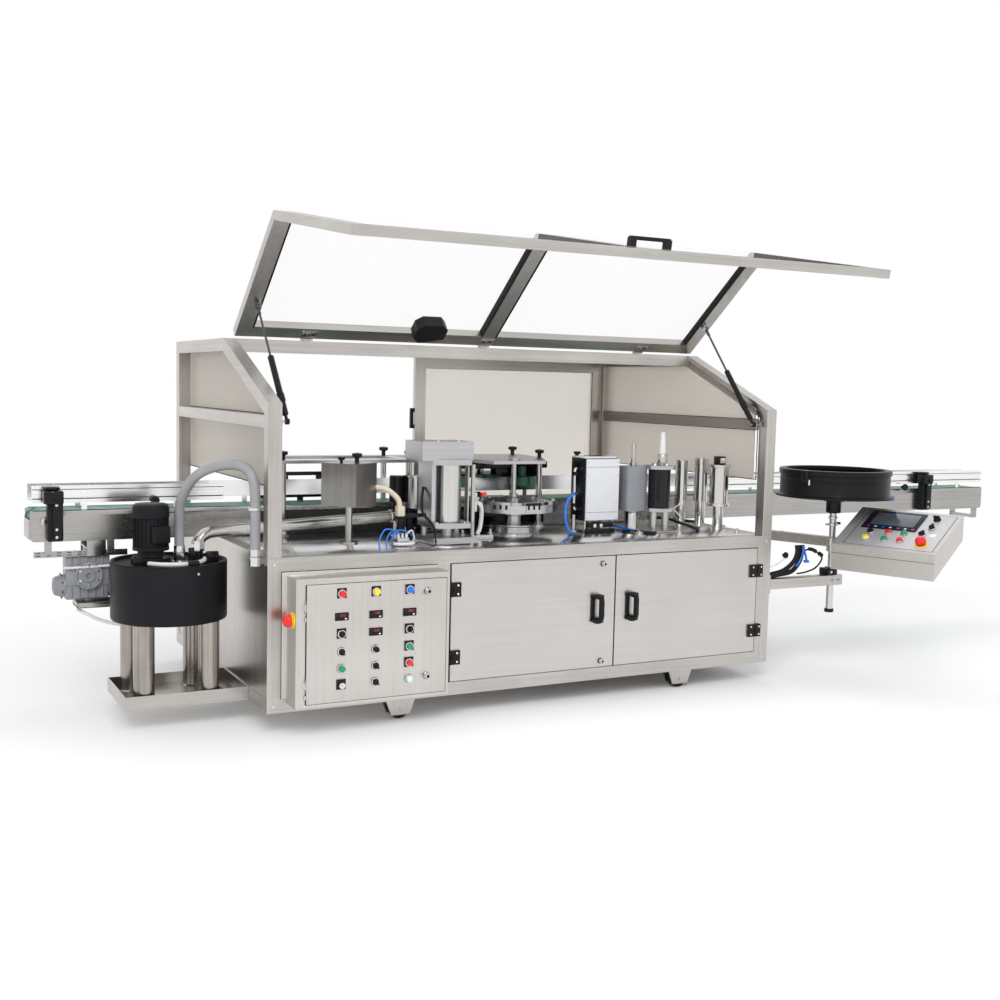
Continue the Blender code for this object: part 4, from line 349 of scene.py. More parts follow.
def turned(name, profile, foot=(0.0, 0.0, 0.0), axis=UP, sides=48, smooth=32.0):
    """A turned piece: a disc is drawn up and out through (radius, height) steps, then laid on its axis."""
    bpy.ops.object.select_all(action="DESELECT")
    radius, height = profile[0]
    bpy.ops.mesh.primitive_circle_add(vertices=sides, radius=radius, fill_type="NGON", location=(0.0, 0.0, height))
    piece = bpy.context.object
    piece.name = name
    bpy.ops.object.transform_apply(location=True, rotation=True, scale=True)
    bpy.ops.object.mode_set(mode="EDIT")
    bpy.ops.mesh.select_all(action="SELECT")
    for next_radius, next_height in profile[1:]:
        rise_by = {"value": (0.0, 0.0, next_height - height)}
        bpy.ops.mesh.extrude_region_move(TRANSFORM_OT_translate=rise_by)
        if next_radius != radius:
            share = next_radius / radius
            bpy.ops.transform.resize(value=(share, share, 1.0), center_override=(0.0, 0.0, next_height))
        radius, height = next_radius, next_height
    bpy.ops.mesh.select_all(action="SELECT")
    bpy.ops.mesh.normals_make_consistent(inside=False)
    bpy.ops.object.mode_set(mode="OBJECT")
    laid(piece, standing(foot, axis))
    bpy.ops.object.shade_smooth_by_angle(angle=math.radians(smooth))
    return piece


def looked(piece, *looks):
    """The piece with these finishes in its slots."""
    piece.data.materials.clear()
    for look in looks:
        piece.data.materials.append(look)
    return piece


def joined(name, pieces):
    """Several meshes as one piece."""
    bpy.ops.object.select_all(action="DESELECT")
    for piece in pieces:
        piece.select_set(True)
    bpy.context.view_layer.objects.active = pieces[0]
    if len(pieces) > 1:
        bpy.ops.object.join()
    pieces[0].name = name
    pieces[0].data.name = name
    return pieces[0]


bench = []


def put(shape, look, place=None):
    """Lays a new shape in its place, gives it its finish and adds it to the shapes on the bench."""
    bench.append(looked(laid(shape, place) if place else shape, look))


def spun(look, name, profile, *where, place=None, **more):
    """A turned shape for the bench."""
    put(turned(name, profile, *where, **more), look, place)


def assemble(name, body, slot, *nodes):
    """Joins what lies on the bench into one piece and sets it on its body."""
    fit(joined(name, bench[:]), body, slot, *nodes)
    bench.clear()


tyre_rubber = moulded("tyre_rubber", (0.014, 0.014, 0.015), 0.75, 1.8, 600.0, 0.5)
zinc = brushed("zinc_plate", "X", (0.62, 0.62, 0.63), (0.46, 0.46, 0.47), 0.34)
for number in range(1, 5):
    wheel = f"castor_wheel_{number}"
    low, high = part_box(wheel)
    middle = (low + high) / 2
    width, radius = high.y - low.y, (high.z - low.z) / 2
    tread = ((0.026, 0.0), (radius - 0.006, 0.0), (radius - 0.0015, 0.003), (radius, 0.01), (radius, width - 0.01),
             (radius - 0.0015, width - 0.003), (radius - 0.006, width), (0.026, width))
    spun(tyre_rubber, "tyre", tread, (middle.x, low.y, middle.z), TO_BACK, 40)
    hub_steps = ((0.024, 0.002), (0.024, -0.0005), (0.014, -0.0005), (0.014, -0.002))
    for outward, face in ((TO_BACK, low.y), (TO_FRONT, high.y)):
        spun(zinc, "hub", hub_steps, (middle.x, face, middle.z), outward, 32)
    assemble(f"{wheel}_tyre", wheel, "rubber", wheel)


# Cabinet sheets and table
# Folded stainless sheet behind the tubes, and the 10 mm table plate with the turned housing of the drum's drive
# standing on it. The table's steel is drawn much lighter and a little bluer than the tubes'.

for node in ("side_panel_left", "side_panel_right"):
    looked(parts[node], steel_z)
looked(parts["cabinet_liner"], steel_x)
table_steel = brushed("table_steel", "X", (0.93, 0.93, 0.94), (0.74, 0.74, 0.76), 0.2, 0.08)
bright_steel = brushed("bright_steel", "Z", (0.64, 0.63, 0.61), (0.44, 0.43, 0.41), 0.2, 0.03, 0.001)


def block(name, low, high, ease=0.002, steps=2):
    """A block between two corners with its edges rounded off."""
    bpy.ops.object.select_all(action="DESELECT")
    middle = [(a + b) / 2 for a, b in zip(low, high)]
    bpy.ops.mesh.primitive_cube_add(size=1.0, location=middle)
    piece = bpy.context.object
    piece.name = name
    piece.scale = [abs(b - a) for a, b in zip(low, high)]
    bpy.ops.object.transform_apply(location=True, rotation=True, scale=True)
    if ease:
        bpy.ops.object.mode_set(mode="EDIT")
        bpy.ops.mesh.select_all(action="SELECT")
        bpy.ops.mesh.bevel(offset=ease, segments=steps, affect="EDGES")
        bpy.ops.object.mode_set(mode="OBJECT")
    bpy.ops.object.shade_smooth_by_angle(angle=math.radians(40.0))
    return piece


def slab(look, name, low, high, *edges, place=None):
    """A block for the bench."""
    put(block(name, low, high, *edges), look, place)


def centre_of(node):
    """The middle of a node's plan, on the floor."""
    low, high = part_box(node)
    return Vector(((low.x + high.x) / 2, (low.y + high.y) / 2, 0.0))


TABLE_TOP = 0.766
ON_TABLE = TABLE_TOP + 0.0004
HOUSING = 0.12
drum_middle = centre_of("vacuum_drum")
table_low, table_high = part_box("table_plate")
slab(table_steel, "plate", (table_low.x, table_low.y, TABLE_TOP - 0.01), (table_high.x, table_high.y, TABLE_TOP),
     0.001)
housing_steps = ((HOUSING, -0.002), (HOUSING, 0.034), (HOUSING - 0.004, 0.038), (HOUSING - 0.004, 0.0445),
                 (0.06, 0.0447))
housing_foot = drum_middle + Vector((0.0, 0.0, TABLE_TOP))
spun(bright_steel, "housing", housing_steps, housing_foot, sides=72)
spun(bright_steel, "seam", ((0.134, 0.0), (0.134, 0.004), (0.131, 0.006)), housing_foot, sides=72)
assemble("table_top", "machine", "stainless", "table_plate")


# Guards and roof
# Welded side frames of the same tube with a sloping shoulder, and the roof frame with the hood's hinge beam. The
# panes behind them are cream translucent sheet, clamped in black rubber; the side panes take a darker copy of the
# cream, which is painted shade.


ROOF_LEVEL, MIDDLE_RAIL = 1.64, (1.309, 1.363)


def guard_finish(middle):
    x, y, z = middle
    on_post = y < FRAME_FRONT + 0.062 or y > FRAME_BACK - 0.062
    on_rail = z > ROOF_LEVEL or MIDDLE_RAIL[0] < z < MIDDLE_RAIL[1]
    return 2 if on_post and not on_rail else 1


for node in ("guard_left", "guard_right"):
    dressed(node, "machine", "stainless", (steel_x, steel_y, steel_z), guard_finish)
looked(parts["roof_frame"], steel_x)


def pane(name, colour, rough, alpha, smear=0.05, through=0.0):
    """Clear or frosted sheet: light comes through it, with a little haze that drifts over it and a sheen."""
    made, shader, wire = new_finish(name, Metallic=0.0, IOR=1.46, Transmission_Weight=through)
    place = wire.add("ShaderNodeTexCoord", output="Object")
    haze = noise(place, 1.7, 4.0)
    dust = noise(place, 40.0, 3.0)
    darker = [part * 0.94 for part in colour]
    connect(shader, "Base Color", between(wire, darker, colour, (haze * 1.3 - 0.15).fenced()))
    connect(shader, "Roughness", (haze * 0.1 + dust * 0.06 + (rough - 0.08)).fenced())
    connect(shader, "Alpha", (haze * smear + dust * smear * 0.5 + (alpha - smear * 0.75)).fenced())
    return made


cream_pane = pane("cream_pane", (0.87, 0.835, 0.785), 0.52, 0.985, 0.01, 0.88)
# The side panes are the cream sheet drawn darker: painted shade.
side_pane = pane("side_pane", (0.73, 0.68, 0.62), 0.5, 0.985, 0.01, 0.88)
hood_pane = pane("hood_pane", (0.95, 0.95, 0.95), 0.1, 0.05, 0.03)
for node in ("window_left", "window_right"):
    looked(parts[node], side_pane)


# Hood
# Stainless rails 70 mm wide with a clear pane laid on them, two hinges' knuckles on the beam, a black six-sided latch
# under the rear rail and a black bridge handle on the front rail.

UPPER_TILT, LATCH_X, HINGE_LEVEL = math.radians(-38.4), -1.145, 1.706


def hood_finish(middle):
    x, y, z = middle
    if abs(x - LATCH_X) < 0.09 and z > 1.72 and -0.02 < y < 0.24:
        leaf_level = HINGE_LEVEL - (0.286 - y) * math.tan(UPPER_TILT)
        if (leaf_level - z) * math.cos(UPPER_TILT) > 0.008:
            return 2
    return 1 if any(-0.002 < x - rail < 0.074 for rail in (-2.08, -0.82, 0.435)) else 0


dressed("hood_frame", "hood", "stainless", (steel_x, steel_y, black_coat), hood_finish)
looked(parts["hood_window"], hood_pane)
grip_plastic = moulded("grip_plastic", (0.01, 0.01, 0.011), 0.36, 1.6, 700.0, 0.2, 0.004)
looked(parts["hood_handle"], grip_plastic)


# Gas springs
# Black lacquered cylinders with a bright collar and a dark hardened rod, an eye at each end.

strut_lacquer = moulded("strut_lacquer", (0.008, 0.008, 0.009), 0.26, 1.5, 300.0, 0.05, 0.001, 0.06)
rod_steel = brushed("rod_steel", "Z", (0.16, 0.16, 0.17), (0.08, 0.08, 0.09), 0.22, 0.02, 0.0006)
for side in ("left", "right"):
    dressed(f"strut_cylinder_{side}", f"strut_cylinder_{side}", "black_paint", (strut_lacquer,), None, 44.0)
    dressed(f"strut_rod_{side}", f"strut_rod_{side}", "black_paint", (rod_steel,), None, 50.0)


# Cabinet doors
# Folded stainless trays with black powder-coated lift-off hinges, black bridge handles and two bright quarter-turn
# locks on the left door.

door_face = brushed("door_steel", "X", (0.665, 0.64, 0.616), (0.555, 0.532, 0.508), 0.33, 0.06)
LOCK_X = -0.472
lock_steel = brushed("lock_steel", "Y", (0.72, 0.71, 0.7), (0.5, 0.5, 0.5), 0.18, 0.02, 0.0008)


def door_finish(middle):
    x, y, z = middle
    if y > FRAME_FRONT - 0.0065:
        return 0
    return 2 if abs(x - LOCK_X) < 0.014 and (z < 0.24 or z > 0.62) else 1


def pick(piece, kind, chosen):
    """Goes into edit mode with only the chosen points or faces selected."""
    bpy.ops.object.mode_set(mode="EDIT")
    bpy.ops.mesh.select_all(action="DESELECT")
    bpy.ops.object.mode_set(mode="OBJECT")
    for element in getattr(piece.data, kind):
        element.select = chosen(element)
    bpy.ops.object.mode_set(mode="EDIT")


GRIP_LEVEL, GRIP_SHARE = 0.453, 0.84
for node, grip_x in (("door_left", -0.496), ("door_right", -0.298)):
    door = dressed(node, node, "stainless", (door_face, grip_plastic, lock_steel), door_finish)
    pick(door, "vertices", lambda point: abs(point.co.x - grip_x) < 0.02 and point.co.y < FRAME_FRONT - 0.0048
         and abs(point.co.z - GRIP_LEVEL) < 0.09)
    bpy.ops.transform.resize(value=(1.0, 1.0, GRIP_SHARE), center_override=(grip_x, FRAME_FRONT, GRIP_LEVEL))
    bpy.ops.object.mode_set(mode="OBJECT")


# Rear door
# A stainless frame with a cream pane, hung on the right rear post, with a black pull on its free side.


PULL_EDGE, FREE_STILE, HINGE_STILE = -0.7705, -0.704, 0.431


def rear_door_finish(middle):
    if middle.x < PULL_EDGE:
        return 2
    return 0 if FREE_STILE <= middle.x <= HINGE_STILE else 1


dressed("rear_door", "rear_door", "stainless", (steel_x, steel_z, grip_plastic), rear_door_finish)
looked(parts["rear_window"], cream_pane)


# Control box
# A folded stainless box on the front of the frame, its door hung on the left on two small hinges, with eighteen
# controls in three columns and two bright locks on the right. An emergency stop stands on its left side.

box_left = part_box("control_box")[0].x
door_low, door_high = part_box("control_door")
box_steel = brushed("box_steel", "Z", (0.68, 0.65, 0.615), (0.565, 0.537, 0.505), 0.33, 0.06)
yellow_plastic = moulded("yellow_plastic", (0.86, 0.6, 0.02), 0.32, 1.08, 500.0, 0.08, 0.001)
dressed("control_box", "machine", "stainless", (box_steel, yellow_plastic),
        lambda middle: 1 if middle.x < -2.0465 else 0)
PANEL_Y = -0.535
CONTROL_SIZE = 1.15
COLUMNS = (-1.845, -1.69, -1.533)
ROWS = (0.62, 0.523, 0.448, 0.372, 0.3, 0.229)
red_cap = moulded("red_cap", (0.66, 0.008, 0.008), 0.28, 1.25, 300.0, 0.05, 0.0012, 0.4)
green_cap = moulded("green_cap", (0.004, 0.235, 0.105), 0.28, 1.3, 300.0, 0.05, 0.0012, 0.4)
yellow_cap = moulded("yellow_cap", (0.9, 0.66, 0.01), 0.28, 1.08, 300.0, 0.05, 0.0012, 0.4)
blue_cap = moulded("blue_cap", (0.006, 0.14, 0.62), 0.28, 1.3, 300.0, 0.05, 0.0012, 0.4)
pale_cap = moulded("pale_cap", (0.62, 0.74, 0.7), 0.25, 1.1, 300.0, 0.05, 0.0012, 0.4)
chrome = brushed("chrome", "X", (0.8, 0.8, 0.8), (0.66, 0.66, 0.67), 0.1, 0.02, 0.0006)
gloss_black = moulded("gloss_black", (0.007, 0.007, 0.008), 0.2, 1.5, 400.0, 0.04, 0.001, 0.12)
display_glass = moulded("display_glass", (0.008, 0.014, 0.015), 0.12, 1.6, 200.0, 0.02, 0.0008, 0.15)
digit_red = moulded("digit_red", (0.55, 0.02, 0.02), 0.3, 1.3, 300.0, 0.02, 0.0003)

LEAF_Y = -0.532
slab(box_steel, "leaf", (door_low.x + 0.0075, LEAF_Y - 0.0028, door_low.z), (door_high.x, LEAF_Y, door_high.z), 0.001)
for z in (0.21, 0.54):
    for low, high in ((z - 0.03, z - 0.0122), (z + 0.0122, z + 0.03)):
        steps = ((0.003, 0.0), (0.0042, 0.0012), (0.0042, high - low - 0.0012), (0.003, high - low))
        spun(lock_steel, "barrel", steps, (door_low.x + 0.0042, LEAF_Y - 0.0042, low), sides=20)


def facing(look, name, profile, x, z, sides=40):
    """A turned shape that stands out from the control panel."""
    wider = [(radius * CONTROL_SIZE, height) for radius, height in profile]
    spun(look, name, wider, (x, PANEL_Y + 0.0002, z), TO_FRONT, sides)


def bezel(x, z):
    """The bright screwed ring around a control, with a dark seal under it."""
    steps = ((0.0165, 0.001), (0.0165, 0.006), (0.015, 0.0085), (0.0128, 0.0085), (0.0124, 0.005))
    facing(gloss_black, "seal", ((0.0172, 0.0), (0.0172, 0.0015)), x, z)
    facing(chrome, "ring", steps, x, z)


def push_button(x, z, look):
    """A flush push button: a domed cap in its ring."""
    bezel(x, z)
    facing(look, "cap", ((0.0119, 0.004), (0.0119, 0.015), (0.0108, 0.0178), (0.008, 0.0188), (0.003, 0.0191)), x, z)


def legend(x, z):
    """The square black label holder behind a control."""
    low, high = (x - 0.0225, PANEL_Y - 0.0042, z - 0.019), (x + 0.0205, PANEL_Y + 0.0002, z + 0.025)
    slab(gloss_black, "legend", low, high, 0.0015)


def selector(x, z, turn, reach):
    """A rotary selector: a ring, a skirt and a raised grip bar with a pale mark, turned to its set position."""
    bezel(x, z)
    facing(gloss_black, "skirt", ((0.0125, 0.003), (0.0125, 0.011), (0.0105, 0.0135), (0.006, 0.014)), x, z)
    set_to = Matrix.Translation((x, PANEL_Y, z)) @ Matrix.Rotation(math.radians(turn), 4, "Y")
    slab(gloss_black, "bar", (-0.0042, -0.026, -reach), (0.0042, -0.01, 0.0105), 0.0018, place=set_to)
    low, high = (-0.001, -0.0264, -reach + 0.001), (0.001, -0.0257, -reach + 0.006)
    slab(pale_cap, "mark", low, high, 0.0002, place=set_to)


def display(x, z, digits):
    """A digital counter: a black frame, a dark window, three red digits and a row of small keys."""

    def step(look, name, left, right, bottom, top, back, front, ease):
        low, high = (x + left, PANEL_Y - front, z + bottom), (x + right, PANEL_Y - back, z + top)
        slab(look, name, low, high, ease)

    step(gloss_black, "counter", -0.031, 0.031, -0.0175, 0.0175, -0.0002, 0.0052, 0.0022)
    step(display_glass, "glass", -0.027, 0.027, -0.002, 0.0145, 0.0048, 0.0056, 0.0003)
    bpy.ops.object.select_all(action="DESELECT")
    bpy.ops.object.text_add(location=(0.0, 0.0, 0.0))
    text = bpy.context.object.data
    text.body = digits
    text.size = 0.016
    text.align_x = "CENTER"
    text.extrude = 0.0002
    text.resolution_u = 2
    bpy.ops.object.convert(target="MESH")
    window = Matrix.Translation((x + 0.004, PANEL_Y - 0.0058, z + 0.0005))
    put(bpy.context.object, digit_red, window @ Matrix.Rotation(math.radians(90.0), 4, "X"))
    for left, look in ((-0.022, grip_plastic), (-0.0105, grip_plastic), (0.001, grip_plastic), (0.0125, pale_cap)):
        step(look, "key", left, left + 0.0085, -0.0125, -0.0065, 0.0045, 0.0066, 0.0006)


for row, column in ((0, 0), (0, 1), (0, 2), (2, 0), (2, 2), (3, 2), (4, 2), (5, 0)):
    legend(COLUMNS[column], ROWS[row])
for row, column in ((0, 0), (3, 1), (4, 0)):
    bezel(COLUMNS[column], ROWS[row])
for row, column, look in ((0, 1, yellow_cap), (0, 2, blue_cap), (3, 2, green_cap), (4, 2, red_cap), (5, 2, pale_cap)):
    push_button(COLUMNS[column], ROWS[row], look)
for row, column, digits in ((1, 0, "215"), (1, 1, "180"), (1, 2, "096"), (2, 1, "045")):
    display(COLUMNS[column], ROWS[row], digits)
SHORT_GRIP, LONG_GRIP = 0.0105, 0.015
for row, column, turn, reach in ((2, 0, -38.0, SHORT_GRIP), (2, 2, -10.0, SHORT_GRIP), (3, 0, -30.0, LONG_GRIP),
                                 (4, 1, -45.0, LONG_GRIP), (5, 1, -45.0, LONG_GRIP)):
    selector(COLUMNS[column], ROWS[row], turn, reach)
key_steps = ((0.012, 0.003), (0.012, 0.008), (0.01, 0.011), (0.0045, 0.0112), (0.0045, 0.019), (0.003, 0.02))
facing(chrome, "key switch", key_steps, COLUMNS[0] + 0.004, ROWS[5] - 0.003)
lock_steps = ((0.0125, 0.0), (0.0125, 0.004), (0.01, 0.006), (0.01, 0.02), (0.0085, 0.0215), (0.005, 0.0217),
              (0.0045, 0.0195))
for z in (0.235, 0.61):
    lock_x = door_high.x - 0.095
    facing(gloss_black, "lock seal", ((0.014, 0.0), (0.014, 0.0014)), lock_x, z)
    facing(lock_steel, "lock", lock_steps, lock_x, z)
    facing(gloss_black, "key slot", ((0.0062, 0.019), (0.0062, 0.0222)), lock_x, z)
left, right, bottom, top = door_low.x, door_high.x, door_low.z, door_high.z
for low_x, low_z, high_x, high_z in ((left + 0.006, bottom + 0.002, left + 0.01, top - 0.002),
                                     (right - 0.0022, bottom + 0.002, right - 0.0002, top - 0.002),
                                     (left + 0.008, bottom, right, bottom + 0.0022),
                                     (left + 0.008, top - 0.0018, right, top)):
    slab(gloss_black, "edge seal", (low_x, LEAF_Y - 0.0032, low_z), (high_x, LEAF_Y - 0.001, high_z), 0.0003)
assemble("control_panel", "control_door", "stainless", "control_door")

button_steps = ((0.0136, 0.0), (0.0136, 0.0215), (0.0124, 0.024), (0.009, 0.0252), (0.003, 0.0256))
for node, look, slot in (("stop_button", red_cap, "red_plastic"), ("start_button", green_cap, "green_plastic")):
    low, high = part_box(node)
    spun(look, "button", button_steps, ((low.x + high.x) / 2, high.y, (low.z + high.z) / 2), TO_FRONT, 40)
    assemble(f"{node}_cap", node, slot, node)
low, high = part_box("speed_knob")
knob_foot = Vector(((low.x + high.x) / 2, high.y, (low.z + high.z) / 2))
spun(gloss_black, "knob", ((0.0128, 0.0), (0.0128, 0.006), (0.0112, 0.012), (0.008, 0.0135)), knob_foot, TO_FRONT, 40)
grip_place = Matrix.Translation(knob_foot)
slab(gloss_black, "grip bar", (-0.0042, -0.0185, -0.01), (0.0042, -0.004, 0.01), 0.0016, place=grip_place)
assemble("speed_knob_grip", "speed_knob", "black_plastic", "speed_knob")


def emergency_stop(node, foot, axis):
    """A red mushroom head on a waisted neck."""
    steps = ((0.0088, -0.0115), (0.013, 0.008), (0.023, 0.0105), (0.0272, 0.015), (0.0276, 0.026), (0.0244, 0.0345),
             (0.0172, 0.04), (0.0092, 0.0432), (0.003, 0.0446))
    spun(red_cap, "head", steps, foot, axis, 56)
    assemble(f"{node}_head", node, "red_plastic", node)


stop_low, stop_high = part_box("box_estop")
stop_foot = Vector((box_left + 0.016, (stop_low.y + stop_high.y) / 2, (stop_low.z + stop_high.z) / 2))
emergency_stop("box_estop", stop_foot, TO_LEFT)
disc_steps = ((0.034, 0.0002), (0.035, 0.002), (0.034, 0.0048), (0.0215, 0.006), (0.0205, 0.0076), (0.015, 0.008))
disc = turned("stop_disc", disc_steps, stop_foot, TO_LEFT, 56)
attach(looked(disc, yellow_plastic), "machine")
slab(box_steel, "filler", (-2.067, -0.4112, 0.16), (-1.336, -0.4092, 0.703), 0.0006)
slab(box_steel, "filler", (-2.045, -0.412, 0.145), (-2.043, -0.355, 0.695), 0.0006)
assemble("box_filler_plates", "machine", "stainless")


# Conveyor
# Two stainless side plates on cross bars carry a green slat belt over a driven roller. The near guide rail hangs on
# two black cast clamps, and a punched drip rail is screwed under the left end.


def at(x, y, z):
    """A place measured from the frame's front left corner, with its height from the floor."""
    return Vector((FRAME_LEFT + x, FRAME_FRONT + y, z))


bed_steel = brushed("bed_steel", "X", (0.52, 0.505, 0.485), (0.33, 0.32, 0.305), 0.26)
rail_metal = brushed("rail_metal", "X", (0.97, 0.97, 0.97), (0.82, 0.82, 0.83), 0.2, 0.03, 0.0008)
# The bed's faces in front of its near side get the black coat: painted shade along the bed's shadowed near side.
dressed("conveyor_bed", "machine", "stainless", (bed_steel, black_coat),
        lambda middle: 1 if middle.y < FRAME_FRONT + 0.7595 else 0)
for node in ("guide_rail_left", "guide_rail_right", "guide_rail_rear"):
    dressed(node, "machine", "aluminium", (rail_metal,))


def slatted(name, light, dark, pitch):
    """Green belt slats: an even tone with fine hairline joints across the belt."""
    made, shader, wire = new_finish(name, Metallic=0.0)
    place = wire.add("ShaderNodeTexCoord", output="Object")
    slat = axis_of(place, "X") / pitch + 200.0
    joint = slat.maths("FRACT", slat, 0.0) > 0.95
    wear = noise(place, 30.0, 4.0)
    tone = between(wire, dark, light, (wear * 1.5 - 0.25).fenced())
    connect(shader, "Base Color", between(wire, tone, (0.004, 0.04, 0.025), joint))
    connect(shader, "Roughness", (wear * 0.22 + 0.28).fenced())
    connect(shader, "Normal", eased_edges(wire, 0.001, 1.0 - joint, 0.4, 0.001))
    return made


belt_green = slatted("belt_green", (0.012, 0.2, 0.125), (0.008, 0.13, 0.082), 0.038)
strip_green = moulded("strip_green", (0.01, 0.24, 0.13), 0.35, 1.3, 400.0, 0.1)
# This dark finish serves the rail grooves and, as painted shade, the apron sheet along the bed.
groove_dark_and_painted_shade = moulded("groove_and_painted_shade_dark", (0.026, 0.025, 0.024), 0.28, 1.8, 300.0, 0.1)
dressed("conveyor_belt", "machine", "belt", (belt_green,))
BED_LEFT, BED_RIGHT, NEAR_SIDE = -0.84, 5.1, 0.76
for near, far in ((NEAR_SIDE + 0.0005, NEAR_SIDE + 0.0078), (0.9322, 0.9412)):
    slab(strip_green, "strip", at(BED_LEFT + 0.012, near, 0.9085), at(BED_RIGHT - 0.012, far, 0.913), 0.001)
assemble("wear_strips", "machine", "green_plastic")
for near, far in ((NEAR_SIDE - 0.0022, NEAR_SIDE + 0.003), (0.937, 0.9422)):
    slab(bed_steel, "edge plate", at(BED_LEFT + 0.001, near, 0.886), at(BED_RIGHT - 0.001, far, 0.909), 0.0008)
for left in (BED_LEFT - 0.003, BED_RIGHT):
    slab(bed_steel, "end plate", at(left, NEAR_SIDE + 0.001, 0.782), at(left + 0.003, 0.94, 0.87), 0.0008)
assemble("bed_edge_plates", "machine", "stainless")
for node in ("guide_rail_left", "guide_rail_right"):
    low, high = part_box(node)
    for share in (0.1, 0.52, 0.86):
        level = low.z + (high.z - low.z) * share
        slab(groove_dark_and_painted_shade, "groove", (low.x + 0.001, low.y - 0.0006, level),
             (high.x - 0.001, low.y + 0.0004, level + 0.003), 0.0)
assemble("rail_grooves", "machine", "aluminium")
# The apron and its two straps are a dark sheet set in front of the bed's near side: painted shade.
slab(groove_dark_and_painted_shade, "apron", at(0.165, 0.753, 0.768), at(1.0, 0.7562, 0.885), 0.001)
for x in (0.33, 0.86):
    slab(groove_dark_and_painted_shade, "apron strap", at(x, 0.748, ON_TABLE), at(x + 0.04, 0.7545, 0.88), 0.002)
assemble("bed_painted_shade_apron", "machine", "black_paint")
for z in (0.926, 1.036):
    slab(gloss_black, "grip rail", at(0.235, 0.955, z), at(0.6, 0.975, z + 0.019), 0.004)
for x in (0.362, 0.548):
    slab(gloss_black, "grip post", at(x, 0.955, 0.94), at(x + 0.04, 0.975, 1.042), 0.006)
slab(gloss_black, "grip foot", at(0.455, 0.97, ON_TABLE), at(0.485, 0.985, 0.94), 0.003)
assemble("far_grip_frame", "machine", "black_paint")

low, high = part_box("drive_roller")
wide, radius, journal = high.y - low.y, (high.z - low.z) / 2, 0.014
roller_steps = ((0.01, 0.0), (0.0125, 0.0015), (0.0125, journal), (radius, journal), (radius, wide - journal),
                (0.0125, wide - journal), (0.0125, wide - 0.0015), (0.01, wide))
spun(bright_steel, "roller", roller_steps, ((low.x + high.x) / 2, low.y, (low.z + high.z) / 2), TO_BACK)
assemble("drive_roller_turned", "drive_roller", "stainless", "drive_roller")


def bolt(foot, axis=UP, size=0.006, look=chrome):
    """A hexagon bolt head on its washer, for the bench."""
    spun(look, "washer", ((size * 1.3, -0.0005), (size * 1.3, 0.0012)), foot, axis, 20)
    spun(look, "bolt", ((size, 0.001), (size, size * 0.9), (size * 0.8, size * 1.05)), foot, axis, 6)


def bolt_ring(middle, radius, count, first, size):
    """Bolts standing in a ring around this middle, the first one at this angle."""
    for number in range(count):
        turn = math.radians(first + 360 / count * number)
        bolt(middle + Vector((radius * math.cos(turn), radius * math.sin(turn), 0.0)), size=size)


def knob(foot, radius, height, axis=UP):
    """A black clamping knob on its neck, with seven lobes and a dished top, for the bench."""
    lobes = 7
    steps = ((0.42, 0.0), (0.42, 0.45), (0.86, 0.52), (1.0, 0.6), (1.0, 0.88), (0.9, 1.0), (0.3, 1.0), (0.26, 0.93))
    piece = turned("knob", [(radius * wide, height * tall) for wide, tall in steps], sides=42, smooth=50.0)
    pick(piece, "vertices", lambda point: math.cos(lobes * math.atan2(point.co.y, point.co.x)) < -0.35
         and math.hypot(point.co.x, point.co.y) > radius * 0.7)
    bpy.ops.transform.resize(value=(0.84, 0.84, 1.0), center_override=(0.0, 0.0, 0.0))
    bpy.ops.object.mode_set(mode="OBJECT")
    put(piece, gloss_black, standing(foot, axis))


for x in (-0.74, 4.55):
    slab(gloss_black, "arm", at(x - 0.012, 0.7, 0.784), at(x + 0.032, 0.716, 0.99), 0.005)
    slab(gloss_black, "cheek", at(x - 0.05, 0.69, 0.944), at(x + 0.034, 0.75, 1.004), 0.008)
    disc_steps = ((0.03, 0.0), (0.036, 0.003), (0.036, 0.01), (0.03, 0.014), (0.01, 0.015))
    spun(gloss_black, "disc", disc_steps, at(x - 0.012, 0.737, 1.006))
    for z in (0.798, 0.832, 0.94, 0.966):
        bolt(at(x + 0.004, 0.7, z), TO_FRONT, 0.0048)
assemble("rail_clamps", "machine", "black_paint")

for number in range(9):
    x = -0.815 + number * 0.044
    for z in (0.708, 0.72):
        slab(gloss_black, "hole", at(x, 0.7692, z - 0.0018), at(x + 0.018, 0.7702, z + 0.0018), 0.0)
assemble("drip_rail_slots", "machine", "black_plastic")


def tube(name, points, radius, look, step=0.01, rib=0.0, round_steps=5):
    """A bent tube through these points, for the bench; with a rib depth every other ring stands back by it."""
    points = [Vector(point) for point in points]
    ends = [points[0] * 2 - points[1], *points, points[-1] * 2 - points[-2]]
    route = []
    for before, start, end, after in zip(ends, ends[1:], ends[2:], ends[3:]):
        count = max(2, round((end - start).length / step))
        for number in range(count):
            t = number / count
            square = 2 * before - 5 * start + 4 * end - after
            cube = 3 * start - before - 3 * end + after
            route.append(0.5 * (2 * start + (end - before) * t + (square * t * t + cube * t ** 3)))
    route.append(points[-1])
    curve = bpy.data.curves.new(name, "CURVE")
    curve.dimensions = "3D"
    curve.bevel_depth = radius
    curve.bevel_resolution = round_steps
    curve.use_fill_caps = True
    line = curve.splines.new("POLY")
    line.points.add(len(route) - 1)
    for number, (point, place) in enumerate(zip(line.points, route)):
        point.co = (*place, 1.0)
        point.radius = 1.0 - rib / radius * (number % 2)
    bpy.ops.object.select_all(action="DESELECT")
    piece = bpy.data.objects.new(name, curve)
    bpy.context.scene.collection.objects.link(piece)
    bpy.context.view_layer.objects.active = piece
    piece.select_set(True)
    bpy.ops.object.convert(target="MESH")
    piece = bpy.context.object
    bpy.ops.object.shade_smooth_by_angle(angle=math.radians(60.0))
    put(piece, look)


